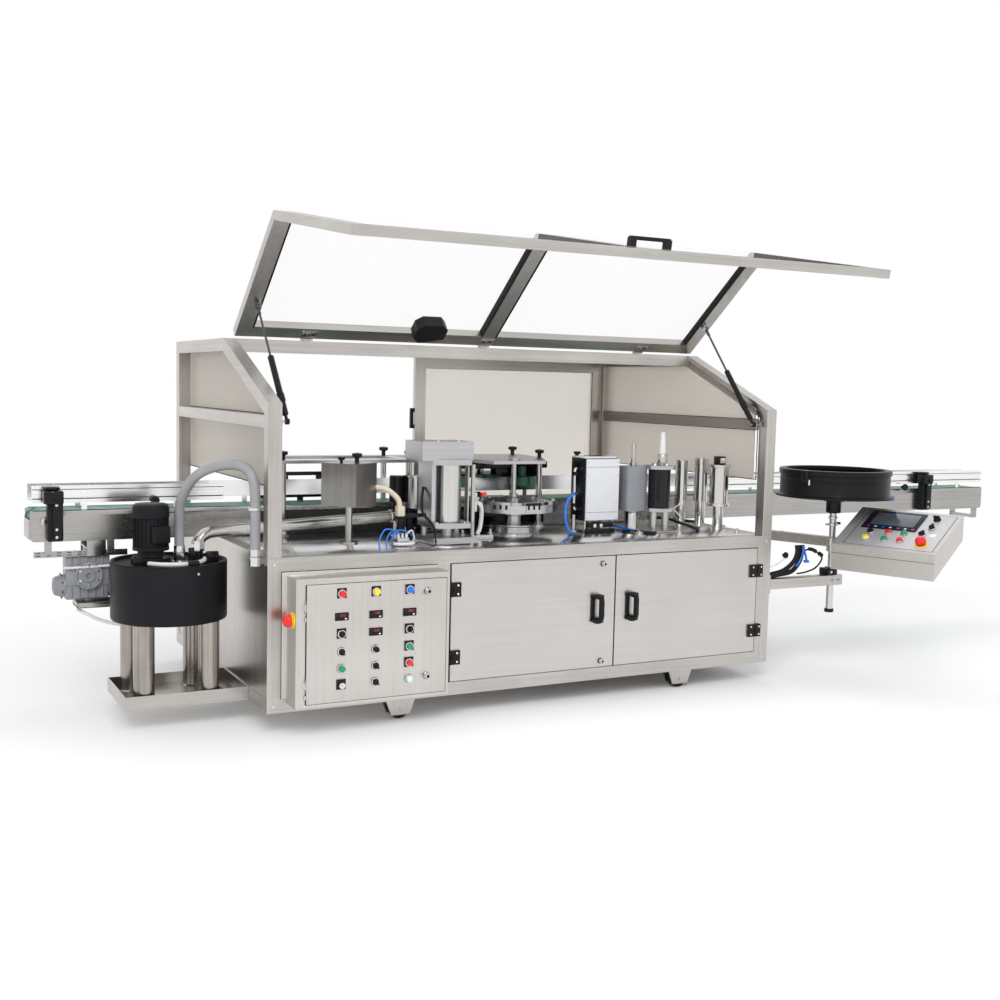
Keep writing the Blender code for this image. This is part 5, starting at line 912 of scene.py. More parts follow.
black_hose = moulded("black_hose", (0.012, 0.012, 0.013), 0.48, 1.5, 500.0, 0.2)
blue_tube = moulded("blue_air_tube", (0.01, 0.15, 0.62), 0.26, 1.25, 300.0, 0.05, 0.001, 0.3)
pale_tube = moulded("pale_tube", (0.66, 0.66, 0.65), 0.34, 1.15, 300.0, 0.05, 0.001, 0.2)
beige_hose = moulded("beige_hose", (0.6, 0.53, 0.42), 0.42, 1.15, 300.0, 0.1)
tube("lever_rod", (at(-0.3, 0.752, 0.944), at(-0.3, 0.748, 0.905), at(-0.3, 0.744, 0.8)), 0.0035, chrome)
lever_foot = ((0.012, 0.0), (0.02, 0.006), (0.02, 0.016), (0.014, 0.022))
spun(gloss_black, "lever_knob", lever_foot, at(-0.3, 0.7585, 0.948), TO_FRONT)
slab(zinc, "lever_block", at(-0.318, 0.738, 0.79), at(-0.278, 0.7605, 0.812), 0.003)
assemble("rail_lever", "machine", "black_plastic")
slab(blue_cap, "blue block", at(4.25, 0.735, 0.838), at(4.3, 0.7605, 0.868), 0.004)
knob(at(4.38, 0.7605, 0.924), 0.022, 0.036, TO_FRONT)
assemble("right_rail_fittings", "machine", "black_plastic")


# Belt drive
# A worm gearbox and its motor in grey enamel hang from a bracket under the bed, over a drip tray, with a blue seal
# strip under the bracket and a clear hose that drops from the tray.

grey_enamel = moulded("grey_enamel", (0.215, 0.222, 0.234), 0.34, 1.3, 420.0, 0.35, 0.003, 0.2)
dark_enamel = moulded("dark_enamel", (0.034, 0.035, 0.038), 0.45, 1.4, 420.0, 0.3)
slab(bed_steel, "bracket", at(-0.6, 0.766, 0.732), at(-0.515, 0.934, 0.741), 0.001)
for low, high in ((0.7645, 0.7695), (0.9305, 0.9355)):
    slab(bed_steel, "cheek", at(-0.599, low, 0.7), at(-0.516, high, 0.8), 0.001)
slab(blue_cap, "seal strip", at(-0.64, 0.778, 0.7), at(-0.42, 0.79, 0.7115), 0.002)
slab(grey_enamel, "hanger", at(-0.598, 0.79, 0.7), at(-0.517, 0.89, 0.737), 0.003)
slab(grey_enamel, "gearbox", at(-0.686, 0.784, 0.56), at(-0.494, 0.896, 0.706), 0.014, 3)
slab(grey_enamel, "worm housing", at(-0.69, 0.79, 0.5), at(-0.5, 0.892, 0.6), 0.012, 3)
for number in range(5):
    x = -0.668 + number * 0.034
    slab(grey_enamel, "rib", at(x, 0.778, 0.64), at(x + 0.007, 0.902, 0.712), 0.002)
    slab(grey_enamel, "rib", at(x, 0.782, 0.506), at(x + 0.007, 0.8, 0.56), 0.002)
cover_steps = ((0.062, 0.0), (0.062, 0.024), (0.054, 0.028), (0.05, 0.0235), (0.03, 0.0235), (0.027, 0.03),
               (0.014, 0.03), (0.011, 0.022))
spun(grey_enamel, "output cover", cover_steps, at(-0.59, 0.7905, 0.61), TO_FRONT)
spun(grey_enamel, "far cover", ((0.062, 0.0), (0.062, 0.024), (0.05, 0.026)), at(-0.59, 0.894, 0.61), TO_BACK)
for number in range(6):
    turn = math.radians(30 + 60 * number)
    bolt(at(-0.59 + 0.044 * math.cos(turn), 0.7665, 0.61 + 0.044 * math.sin(turn)), TO_FRONT, 0.0045)
motor_steps = [(0.046, 0.0), (0.058, 0.004), (0.058, 0.02)]
for number in range(9):
    x = 0.024 + number * 0.014
    motor_steps += [(0.052, x), (0.052, x + 0.008), (0.06, x + 0.009), (0.06, x + 0.013)]
motor_steps += [(0.057, 0.152), (0.057, 0.192), (0.05, 0.2), (0.03, 0.2)]
spun(grey_enamel, "motor", motor_steps, at(-0.5, 0.84, 0.56), TO_RIGHT, 56)
cap_steps = ((0.052, 0.0), (0.052, 0.018), (0.048, 0.026), (0.042, 0.044), (0.036, 0.05), (0.024, 0.05),
             (0.02, 0.044), (0.01, 0.044))
spun(grey_enamel, "end cap", cap_steps, at(-0.685, 0.84, 0.56), TO_LEFT, 48)
for number in range(8):
    turn = math.radians(22.5 + 45 * number)
    bolt(at(-0.7, 0.84 + 0.056 * math.cos(turn), 0.56 + 0.056 * math.sin(turn)), TO_LEFT, 0.004, dark_enamel)
slab(dark_enamel, "terminal box", at(-0.47, 0.776, 0.6), at(-0.38, 0.846, 0.64), 0.006)
tube("conduit", (at(-0.7, 0.772, 0.65), at(-0.64, 0.768, 0.65), at(-0.47, 0.772, 0.655), at(-0.38, 0.79, 0.67)),
     0.006, pale_tube)
slab(bed_steel, "tray", at(-0.64, 0.77, 0.462), at(-0.455, 0.91, 0.47), 0.001)
for low, high in (((-0.64, 0.77), (-0.455, 0.773)), ((-0.64, 0.907), (-0.455, 0.91)),
                  ((-0.64, 0.77), (-0.637, 0.91))):
    slab(bed_steel, "tray lip", at(*low, 0.463), at(*high, 0.486), 0.0006)
slab(zinc, "tray post", at(-0.6, 0.82, 0.465), at(-0.56, 0.86, 0.53), 0.003)
assemble("belt_drive", "machine", "grey_paint", "gearmotor")
drain = (at(-0.64, 0.8, 0.458), at(-0.61, 0.79, 0.44), at(-0.54, 0.76, 0.405), at(-0.44, 0.72, 0.385),
         at(-0.33, 0.68, 0.39))
tube("drain hose", drain, 0.008, pale_tube)
assemble("tray_drain_hose", "machine", "grey_hose")


# Tank stand
# A folded tray welded to the frame's left side, with four bright round legs.


def tray(name, low, high, wall, floor_at):
    """An open tray: a block whose top is inset and pushed down."""
    piece = block(name, low, high, 0.0)
    pick(piece, "polygons", lambda face: face.normal.z > 0.9)
    bpy.ops.mesh.inset(thickness=wall)
    bpy.ops.mesh.extrude_region_move(TRANSFORM_OT_translate={"value": (0.0, 0.0, floor_at - high[2])})
    bpy.ops.mesh.select_all(action="SELECT")
    bpy.ops.mesh.normals_make_consistent(inside=False)
    bpy.ops.object.mode_set(mode="OBJECT")
    return piece


TANK_LEVEL, TRAY_FLOOR = 0.456, 0.112
TANK_MIDDLE = at(-0.3, 0.47, TANK_LEVEL)
leg_steel = brushed("leg_steel", "Z", (0.62, 0.575, 0.53), (0.2, 0.18, 0.16), 0.26, 0.06)
put(tray("tray", at(-0.53, 0.27, 0.1), at(-0.0003, 0.67, 0.16), 0.004, TRAY_FLOOR), steel_x)
for x in (-0.14, 0.14):
    for y in (-0.14, 0.14):
        leg_foot = (TANK_MIDDLE.x + x, TANK_MIDDLE.y + y, 0.0)
        spun(leg_steel, "leg", ((0.045, 0.11), (0.045, 0.4555)), leg_foot, sides=56)
        spun(steel_z, "weld", ((0.05, 0.1115), (0.046, 0.1165)), leg_foot, sides=56)
slab(steel_y, "cross angle", at(-0.11, 0.274, TRAY_FLOOR), at(-0.106, 0.666, 0.16), 0.0)
assemble("tank_stand_welded", "machine", "stainless", "tank_stand")


# Glue tank and stirrer
# A spun steel tank in satin black, its flat lid let in below the rim, with the stirrer's motor, clips and hose feet.

satin_black = moulded("satin_black", (0.008, 0.0085, 0.01), 0.4, 1.35, 240.0, 0.1, 0.002)
tank_steps = ((0.242, 0.0), (0.2475, 0.0025), (0.25, 0.008), (0.25, 0.2495), (0.2485, 0.2525), (0.2465, 0.253),
              (0.2455, 0.2515), (0.245, 0.2485), (0.245, 0.006), (0.06, 0.005))
spun(satin_black, "shell", tank_steps, TANK_MIDDLE, sides=128)
screw_steps = ((0.0062, 0.0), (0.0062, 0.002), (0.0045, 0.0042), (0.002, 0.0045))
spun(chrome, "screw", screw_steps, TANK_MIDDLE + Vector((0.07, -0.2397, 0.222)), (0.28, -0.96, 0.0), 24)
assemble("glue_tank_shell", "machine", "black_paint", "glue_tank")


RIM = 0.7093


def on_lid(x, y, z=0.0):
    """A place measured from the middle of the tank's lid, with its height over the rim."""
    return Vector((TANK_MIDDLE.x + x, TANK_MIDDLE.y + y, RIM + z))


lid_steps = ((0.2435, -0.015), (0.2435, 0.0), (0.2485, 0.0), (0.2485, 0.0035), (0.232, 0.0035), (0.231, -0.007),
             (0.06, -0.0075))
spun(satin_black, "lid", lid_steps, on_lid(0.0, 0.0), sides=128)
motor_foot = on_lid(-0.079, 0.0)
flange_steps = ((0.08, -0.008), (0.084, -0.005), (0.084, 0.014), (0.08, 0.018), (0.058, 0.021), (0.056, 0.046),
                (0.078, 0.05), (0.078, 0.064), (0.07, 0.066), (0.07, 0.19), (0.078, 0.192), (0.079, 0.2),
                (0.079, 0.236), (0.075, 0.246), (0.066, 0.2525), (0.03, 0.255))
spun(satin_black, "stirrer motor", flange_steps, motor_foot, sides=72)


def round_motor(degrees):
    """The stirrer motor's own place, turned about its axis."""
    return Matrix.Translation(motor_foot) @ Matrix.Rotation(math.radians(degrees), 4, "Z")


for number in range(24):
    slab(satin_black, "fin", (0.066, -0.0016, 0.064), (0.0765, 0.0016, 0.194), 0.0, place=round_motor(15 * number))
slab(satin_black, "terminal box", (0.06, -0.04, 0.085), (0.094, 0.04, 0.16), 0.005, place=round_motor(-70.0))
bolt_ring(motor_foot + Vector((0.0, 0.0, 0.018)), 0.07, 4, 40, 0.005)
spun(bright_steel, "shaft", ((0.008, -0.16), (0.008, -0.007)), motor_foot, sides=24)
for degrees in (0.0, 90.0):
    paddle = (-0.06, -0.002, -0.16), (0.06, 0.002, -0.13)
    slab(bright_steel, "paddle", *paddle, 0.001, place=round_motor(degrees))
hose_foot = on_lid(0.04, -0.02)
pipe_foot = on_lid(0.127, 0.0)
spun(chrome, "hose foot", ((0.03, -0.008), (0.03, -0.002), (0.025, 0.0), (0.025, 0.0355)), hose_foot, sides=40)
spun(gloss_black, "pipe foot", ((0.032, -0.008), (0.032, 0.004), (0.0216, 0.006), (0.0216, 0.0355)), pipe_foot,
     sides=40)
for x, y, wide, tall in ((-0.16, -0.12, 0.02, 0.045), (0.06, -0.195, 0.024, 0.022), (0.175, -0.06, 0.028, 0.04),
                         (0.1, -0.01, 0.018, 0.052)):
    slab(gloss_black, "clip", on_lid(x - wide, y - 0.012, -0.009), on_lid(x + wide, y + 0.012, tall), 0.006, 3)
bow = [math.radians(degrees) for degrees in range(-140, -10, 16)]
tube("lid hose", [on_lid(0.15 * math.cos(turn), 0.19 * math.sin(turn), 0.006) for turn in bow], 0.01, pale_tube)
assemble("stirrer_and_lid", "machine", "black_paint", "tank_mixer")


# Glue hose and return pipe
# Pale ribbed suction hose held by a worm clip at each end, and a polished pipe with screwed collars, propped over the
# table by a thin post.


def ribbed(name, colour):
    made, shader, wire = new_finish(name, Metallic=0.0, Coat_Weight=0.25, Coat_Roughness=0.15)
    place = wire.add("ShaderNodeTexCoord", output="Object")
    slow = noise(place, 22.0, 4.0)
    weave = noise(place, 420.0, 2.0)
    darker = [part * 0.74 for part in colour]
    connect(shader, "Base Color", between(wire, darker, colour, (slow * 0.9 + weave * 0.7 - 0.2).fenced()))
    connect(shader, "Roughness", (weave * 0.2 + 0.28).fenced())
    connect(shader, "Normal", eased_edges(wire, 0.001, weave, 0.3, 0.0005))
    return made


hose_grey = ribbed("hose_grey", (0.32, 0.32, 0.33))
foot = hose_foot + Vector((0.0, 0.0, 0.036))
rising = (0.0, 0.0, 0.012), (-0.002, -0.006, 0.12), (-0.005, -0.06, 0.24), (0.04, -0.15, 0.35)
hose_route = [foot + Vector(step) for step in rising]
hose_route += [at(-0.13, 0.22, 1.142), at(-0.062, 0.13, 1.138), at(-0.034, 0.09, 1.08), at(-0.03, 0.08, 0.98)]
hose_route += [at(-0.03, 0.078, 0.88), at(-0.03, 0.078, 0.746)]
tube("hose", hose_route, 0.022, hose_grey, 0.0035, 0.0008, 7)
clip_steps = ((0.0235, 0.0), (0.025, 0.001), (0.025, 0.012), (0.0235, 0.013))
ferrule_steps = ((0.023, 0.0), (0.025, 0.002), (0.025, 0.03), (0.0228, 0.031))
spun(chrome, "ferrule", ferrule_steps, foot, sides=40)
spun(chrome, "ferrule", ferrule_steps, at(-0.03, 0.078, 0.766), sides=40)
spun(chrome, "foot ferrule", ((0.025, 0.0), (0.025, 0.038)), at(-0.03, 0.078, 0.726), sides=40)
spun(chrome, "clip", clip_steps, at(-0.031, 0.08, 0.96), sides=40)
slab(chrome, "clip screw", at(-0.06, 0.074, 0.96), at(-0.051, 0.088, 0.973), 0.002)
slab(steel_x, "bracket", at(-0.03, 0.066, 0.734), at(-0.0003, 0.09, 0.758), 0.001)
assemble("glue_hose_ribbed", "machine", "grey_hose", "glue_hose")

foot = pipe_foot + Vector((0.0, 0.0, 0.036))
elbow = (0.0, 0.0, 0.028), (0.012, 0.004, 0.056), (0.045, 0.012, 0.075), (0.09, 0.02, 0.081)
pipe_route = [foot + Vector(step) for step in elbow]
pipe_route += [at(0.1, 0.515, 0.8323), at(0.45, 0.55, 0.8463), at(0.82, 0.58, 0.8603)]
tube("pipe", pipe_route, 0.027, bright_steel, 0.012, 0.0, 9)
spun(chrome, "union", ((0.028, 0.0), (0.031, 0.002), (0.031, 0.044), (0.028, 0.046)), foot, sides=8)
run = (at(0.45, 0.55, 0.8463) - at(0.1, 0.515, 0.8323)).normalized()
for along in (-0.01, 0.09):
    place = at(0.1, 0.515, 0.8323) + run * along
    spun(chrome, "collar", ((0.028, 0.0), (0.0305, 0.002), (0.0305, 0.016), (0.028, 0.018)), place, run, 40)
spun(chrome, "end collar", ((0.029, -0.03), (0.032, -0.028), (0.032, 0.028), (0.029, 0.03)), at(0.82, 0.58, 0.8603),
     (1.0, 0.1, 0.0), 40)
spun(bright_steel, "prop", ((0.03, 0.0003), (0.03, 0.006), (0.026, 0.008), (0.012, 0.009), (0.012, 0.094)),
     at(0.82, 0.58, 0.766), sides=36)
assemble("glue_return_pipe", "machine", "stainless", "glue_pipe")


# Square cover on its pole
# A folded brushed cover turned on its corner over a round pole, its steel darkened as painted shade, with a black
# knob on top and a beige hose that leaves its right side.

# The cover's steel is much darker than the frame's: painted shade for its dark faces.
cover_steel_painted_shade = brushed("cover_steel_painted_shade", "Z", (0.38, 0.375, 0.365), (0.24, 0.235, 0.23), 0.3)
COVER_MIDDLE = at(0.492, 0.35, 0.0)


def cover_finish(middle):
    if middle.z < 0.944:
        return 1
    return 2 if middle.z > 1.1405 else 0


dressed("cover_box", "machine", "stainless", (cover_steel_painted_shade, bright_steel, gloss_black), cover_finish)
knob(COVER_MIDDLE + Vector((-0.05, -0.03, 1.1395)), 0.016, 0.03)
elbow_route = (COVER_MIDDLE + Vector((0.07, 0.012, 1.026)), at(0.655, 0.33, 1.02), at(0.718, 0.318, 0.975),
               at(0.731, 0.312, 0.93))
tube("elbow hose", elbow_route, 0.013, beige_hose, 0.006)
slab(beige_hose, "fitting", at(0.712, 0.294, 0.89), at(0.75, 0.33, 0.938), 0.004)
spun(gloss_black, "stub", ((0.01, ON_TABLE - 0.0001), (0.01, 0.894)), at(0.731, 0.312, 0.0), sides=32)
spun(zinc, "stub foot", ((0.024, ON_TABLE - 0.0001), (0.024, 0.78), (0.018, 0.786)), at(0.731, 0.312, 0.0), sides=32)
assemble("cover_hose_elbow", "machine", "grey_hose")


# Air valve on the table
# A small nickel valve body on two feet, with a loop of clear hose and blue air lines pushed into it.

slab(zinc, "valve", at(0.66, 0.168, 0.768), at(0.72, 0.204, 0.806), 0.005)
for x in (0.67, 0.69, 0.71):
    spun(chrome, "port", ((0.008, 0.0), (0.008, 0.01), (0.006, 0.013), (0.006, 0.02)), at(x, 0.186, 0.806), sides=24)
loop = [at(0.69 + 0.052 * math.cos(math.radians(a)), 0.18 + 0.04 * math.sin(math.radians(a)), 0.782)
        for a in range(-160, 90, 25)]
tube("clear loop", loop, 0.0065, pale_tube, 0.006)
tube("grey line", (at(0.712, 0.186, 0.82), at(0.736, 0.186, 0.838), at(0.755, 0.2, 0.8), at(0.75, 0.23, 0.77)),
     0.0035, pale_tube, 0.006)
tube("blue line", (at(0.545, 0.1, 0.768), at(0.551, 0.12, 0.806), at(0.585, 0.14, 0.85), at(0.63, 0.15, 0.846),
                   at(0.67, 0.186, 0.824)), 0.0036, blue_tube, 0.006)
tube("blue line", (at(0.59, 0.13, 0.768), at(0.594, 0.14, 0.8), at(0.612, 0.15, 0.832), at(0.65, 0.17, 0.836),
                   at(0.69, 0.186, 0.824)), 0.0033, blue_tube, 0.006)
tube("blue line", (at(0.62, 0.15, 0.8), at(0.655, 0.16, 0.842), at(0.72, 0.19, 0.83), at(0.755, 0.2, 0.806)), 0.0033,
     blue_tube, 0.006)
assemble("air_valve_and_lines", "machine", "grey_hose")


# Glue station
# Bearing plates on a base, a bright roller between them, a box cover above and the glue pump behind.


def foot_and_height(node):
    """The middle of an upright node's foot, and how tall it is."""
    low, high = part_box(node)
    return centre_of(node) + Vector((0.0, 0.0, low.z)), high.z - low.z


grey_plate = brushed("grey_plate", "X", (0.6, 0.6, 0.61), (0.44, 0.44, 0.45), 0.3)
dressed("glue_station", "machine", "stainless", (grey_plate, bright_steel),
        lambda middle: 1 if 0.858 < middle.z < 1.128 and middle.y > FRAME_FRONT + 0.436 else 0)
foot, tall = foot_and_height("glue_roller")
roller_steps = ((0.0105, 0.0), (0.012, 0.002), (0.012, 0.02), (0.0575, 0.02), (0.06, 0.0225), (0.06, tall - 0.0205),
                (0.0575, tall - 0.018), (0.012, tall - 0.018), (0.012, tall - 0.001), (0.01, tall))
roller_chrome = brushed("roller_chrome", "Z", (0.74, 0.73, 0.71), (0.55, 0.54, 0.52), 0.14, 0.03, 0.001)
spun(roller_chrome, "roller", roller_steps, foot, sides=80)
assemble("glue_roller_ground", "glue_roller", "stainless", "glue_roller")
slab(bright_steel, "scraper post", at(1.074, 0.25, 0.786), at(1.09, 0.266, 1.132), 0.002)
slab(bright_steel, "scraper", at(1.058, 0.262, 0.86), at(1.064, 0.3, 1.128), 0.001)
spun(pale_tube, "sensor", ((0.009, 0.0), (0.01, 0.003), (0.01, 0.086), (0.008, 0.09)), at(1.108, 0.286, 0.905),
     sides=28)
slab(zinc, "sensor arm", at(1.086, 0.262, 0.962), at(1.12, 0.296, 0.976), 0.003)
spun(red_cap, "red cap", ((0.0085, 0.0), (0.0085, 0.024), (0.006, 0.028)), at(1.142, 0.286, 0.986), (1.0, 0.15, 0.1),
     28)
tube("return tube", (at(1.12, 0.3, 0.95), at(1.146, 0.298, 0.93), at(1.162, 0.32, 0.88), at(1.16, 0.33, 0.82),
                     at(1.146, 0.33, 0.788)), 0.0105, pale_tube, 0.008)
slab(zinc, "cross foot", at(1.095, 0.29, ON_TABLE), at(1.215, 0.33, 0.788), 0.003)
for x in (1.06, 1.21):
    spun(bright_steel, "peg", ((0.011, 0.0), (0.011, 0.03), (0.007, 0.034), (0.007, 0.048)), at(x, 0.316, ON_TABLE),
         sides=28)
tube("black line", (at(0.88, 0.23, 0.768), at(0.872, 0.25, 0.85), at(0.84, 0.29, 0.9), at(0.85, 0.33, 0.96),
                    at(0.87, 0.36, 1.02)), 0.006, black_hose)
slab(gloss_black, "hinge arm", at(0.74, 0.3, 0.884), at(0.862, 0.312, 0.902), 0.003)
for x in (0.895, 1.0, 1.06):
    bolt(at(x, 0.255, 1.2402), size=0.0065)
for x, y in ((0.895, 0.256), (1.04, 0.252), (1.06, 0.262)):
    bolt(at(x, y, 0.8562), size=0.006)
for x, y in ((0.885, 0.245), (1.085, 0.245)):
    bolt(at(x, y, 0.7885), size=0.007)
assemble("glue_station_fittings", "machine", "stainless")


# Pad drum
# An aluminium plate with sixteen flats carries eight rubber-faced pads; the bright axle runs up to the bridge.

drum_grey = brushed("drum_aluminium", "X", (0.62, 0.62, 0.63), (0.46, 0.46, 0.47), 0.3)


def drum_reach(spot):
    """How far this spot is from the drum's axis."""
    return math.hypot(spot.x - drum_middle.x, spot.y - drum_middle.y)


dressed("vacuum_drum", "vacuum_drum", "aluminium", (drum_grey, bright_steel),
        lambda middle: 1 if middle.z < 0.878 or drum_reach(middle) < 0.045 else 0)
for number in range(8):
    place = Matrix.Translation(drum_middle) @ Matrix.Rotation(math.radians(45 * number), 4, "Z")
    rubber = grey_plate if number % 2 else grip_plastic
    slab(rubber, "pad rubber", (0.214, -0.046, 0.887), (0.2175, 0.046, 0.934), 0.0012, place=place)
    for across in (-0.03, 0.0, 0.03):
        low, high = (0.217, across - 0.006, 0.9), (0.2182, across + 0.006, 0.922)
        slab(gloss_black, "suction groove", low, high, 0.0005, place=place)
bolt_ring(drum_middle + Vector((0.0, 0.0, 0.931)), 0.16, 8, 22.5, 0.006)
collar_steps = ((0.034, 0.9312), (0.034, 0.94), (0.022, 0.948), (0.022, 0.962), (0.0126, 0.964))
spun(bright_steel, "collar", collar_steps, drum_middle)
assemble("drum_pads", "vacuum_drum", "rubber")


# Bridge and star wheel
# Steel plates on round posts over the belt, clamped with black knobs; under them turns the dark green star wheel, with
# a matching green guide on the far side.


def bridge_finish(middle):
    if middle.z > 1.1335 and drum_reach(middle) > 0.04:
        return 2
    return 1 if middle.z < 1.114 else 0


dressed("star_bridge", "machine", "stainless", (grey_plate, bright_steel, gloss_black), bridge_finish)
star_green = moulded("star_green", (0.006, 0.085, 0.055), 0.36, 1.5, 260.0, 0.1, 0.001, 0.15)
star_middle = centre_of("center_star")
dressed("center_star", "center_star", "green_plastic", (star_green, bright_steel),
        lambda middle: 1 if math.hypot(middle.x - star_middle.x, middle.y - star_middle.y) < 0.0605 else 0)
for x, y in ((0.285, 0.685), (0.285, 1.015), (0.935, 0.685), (0.935, 1.015), (1.7, 1.015), (1.7, 0.715)):
    spun(bright_steel, "post", ((0.0155, 0.776), (0.0155, 1.1155)), at(x, y, 0.0), sides=40)
    ring_steps = ((0.0155, 0.7762), (0.024, 0.777), (0.024, 0.792), (0.0155, 0.796))
    spun(bright_steel, "post collar", ring_steps, at(x, y, 0.0), sides=40)
assemble("bridge_posts", "machine", "stainless")
# The shade plate, the side and far aprons and the back rail are black blocks set where the space under the bridge lies
# in shadow: painted shade.
slab(gloss_black, "shade", at(1.16, 0.73, 1.076), at(1.76, 0.985, 1.112), 0.004)
slab(gloss_black, "side shade apron", at(1.49, 0.8, 1.026), at(1.77, 0.812, 1.08), 0.003)
slab(gloss_black, "far shade apron", at(1.54, 0.955, 0.94), at(1.8, 0.967, 1.08), 0.003)
for x in (0.835, 0.905):
    case_steps = ((0.016, ON_TABLE), (0.016, 0.924), (0.034, 0.928), (0.036, 0.931), (0.036, 1.052), (0.032, 1.058))
    spun(gloss_black, "spindle case", case_steps, at(x, 0.6, 0.0), sides=40)
slab(gloss_black, "back shade rail", at(1.0, 0.738, 0.779), at(1.75, 0.748, 0.877), 0.002)
for x in (1.02, 1.34, 1.705):
    slab(gloss_black, "rail post", at(x, 0.735, ON_TABLE), at(x + 0.03, 0.752, 0.955), 0.004)
assemble("bridge_shades", "machine", "black_paint")
for x in (1.22, 1.6):
    roll_steps = ((0.058, 0.986), (0.06, 0.988), (0.06, 1.033), (0.058, 1.035), (0.02, 1.036), (0.02, 1.089))
    spun(star_green, "guide disc", roll_steps, at(x, 0.72, 0.0), sides=56)
assemble("bottle_guide_discs", "machine", "green_plastic")


# Label cutter
# A housing with a pale painted front plate held by corner screws over a black body, on round feet, with a chrome
# handle on its left side and the blade motor below.

pale_paint = moulded("pale_paint", (0.66, 0.67, 0.7), 0.34, 1.08, 800.0, 0.08, 0.003, 0.1)
cutter_low, cutter_high = at(1.775, 0.375, 0.828), at(1.98, 0.52, 1.146)


def on_cutter(x, y, z):
    """A place measured from the cutter housing's lower front left corner."""
    return cutter_low + Vector((x, y, z))


dressed("cutter_housing", "machine", "aluminium", (gloss_black, bright_steel),
        lambda middle: 1 if middle.z < 0.826 else 0)
wide, deep, tall = cutter_high - cutter_low
slab(pale_paint, "front plate", on_cutter(0.006, -0.01, 0.002), on_cutter(wide, -0.0002, tall - 0.002), 0.004, 3)
for z in (0.044, tall - 0.042):
    slab(grey_plate, "fold", on_cutter(0.008, -0.0112, z - 0.0015), on_cutter(wide - 0.002, -0.0095, z + 0.0015),
         0.0006)
for x in (0.018, wide - 0.014):
    for z in (0.016, 0.1, tall - 0.085, tall - 0.016):
        spun(chrome, "screw", ((0.0042, 0.0), (0.0042, 0.0016), (0.002, 0.002)), on_cutter(x, -0.01, z), TO_FRONT, 20)
slab(pale_paint, "top plate", on_cutter(0.004, 0.004, tall), on_cutter(wide - 0.012, deep - 0.006, tall + 0.01),
     0.003)
knob(on_cutter(0.022, deep - 0.03, tall + 0.004), 0.018, 0.028)
handle = ((-0.004, 0.05, 0.06), (-0.03, 0.046, 0.066), (-0.03, 0.046, 0.16), (-0.03, 0.046, 0.256),
          (-0.004, 0.05, 0.264))
tube("side handle", [on_cutter(*spot) for spot in handle], 0.008, chrome, 0.006)
for z in (0.08, 0.24):
    slab(gloss_black, "handle clamp", on_cutter(-0.04, 0.034, z - 0.01), on_cutter(-0.018, 0.06, z + 0.01), 0.003)
spun(bright_steel, "shaft", ((0.02, 0.0), (0.02, 0.01), (0.012, 0.014), (0.012, 0.09)),
     on_cutter(-0.022, 0.06, -0.0615), sides=32)
slab(gloss_black, "knife base", at(1.79, 0.372, ON_TABLE), at(1.965, 0.384, 0.786), 0.004)
for x in (1.842, 1.88):
    spun(chrome, "button", ((0.01, 0.0), (0.01, 0.004), (0.005, 0.007)), at(x, 0.3715, 0.802), TO_FRONT, 24)
slab(gloss_black, "motor plate", at(1.8, 0.372, 0.792), at(1.955, 0.38, 0.82), 0.003)
tube("air line", (at(1.705, 0.35, 0.77), at(1.65, 0.3, 0.784), at(1.618, 0.29, 0.85), at(1.64, 0.32, 0.93),
                  at(1.7, 0.36, 0.968), at(1.742, 0.4, 0.966)), 0.007, blue_tube, 0.008)
tube("air line", (at(1.99, 0.47, 0.8), at(2.02, 0.44, 0.786), at(2.06, 0.3, 0.775), at(2.08, 0.28, 0.768)), 0.006,
     blue_tube, 0.008)
assemble("cutter_front", "machine", "aluminium")


# Feed station
# The feed motor's grey case on a round column, two eight-sided plates with a glossy black rubber roller between them,
# and a white cone on a bright cylinder behind.

FEED = at(2.085, 0.4, 0.0)


def feed_finish(middle):
    if abs(middle.x - FEED.x) < 0.068 and abs(middle.y - FEED.y) < 0.062 and 0.8735 < middle.z < 1.107:
        return 1
    if middle.z > 1.1705 and middle.x > FEED.x + 0.1:
        return 2
    return 0


white_plastic = moulded("white_plastic", (0.78, 0.78, 0.79), 0.3, 1.05, 300.0, 0.05, 0.001, 0.3)
feed_case = moulded("feed_case", (0.235, 0.245, 0.265), 0.3, 1.12, 700.0, 0.05, 0.003, 0.2)
dressed("feed_station", "machine", "stainless", (grey_plate, feed_case, white_plastic), feed_finish)
foot, tall = foot_and_height("feed_roller")
feed_steps = ((0.009, 0.0), (0.01, 0.001), (0.01, 0.012), (0.056, 0.012), (0.058, 0.014), (0.058, tall - 0.008),
              (0.056, tall - 0.006), (0.01, tall - 0.006), (0.01, tall - 0.001), (0.009, tall))
glossy_rubber = moulded("glossy_rubber", (0.008, 0.008, 0.01), 0.16, 1.6, 200.0, 0.04, 0.001, 0.3)
spun(glossy_rubber, "roller", feed_steps, foot, sides=72)
assemble("feed_roller_covered", "feed_roller", "rubber", "feed_roller")
spun(bright_steel, "column", ((0.04, ON_TABLE), (0.04, 0.772), (0.0385, 0.776), (0.0385, 0.866), (0.034, 0.8745)),
     FEED, sides=56)
spun(bright_steel, "upper rod", ((0.012, 1.106), (0.012, 1.214), (0.009, 1.221), (0.004, 1.2225)), FEED, sides=32)
spun(bright_steel, "rod ferrule", ((0.018, 1.106), (0.018, 1.122), (0.013, 1.126)), FEED, sides=32)
post = at(2.24, 0.36, 0.0)
spun(bright_steel, "far cylinder", ((0.0262, 1.112), (0.0268, 1.114), (0.0268, 1.166), (0.024, 1.1705)), post,
     sides=48)
spun(white_plastic, "cone", ((0.0185, 1.17), (0.0185, 1.178), (0.0125, 1.28), (0.01, 1.2825)), post, sides=40)
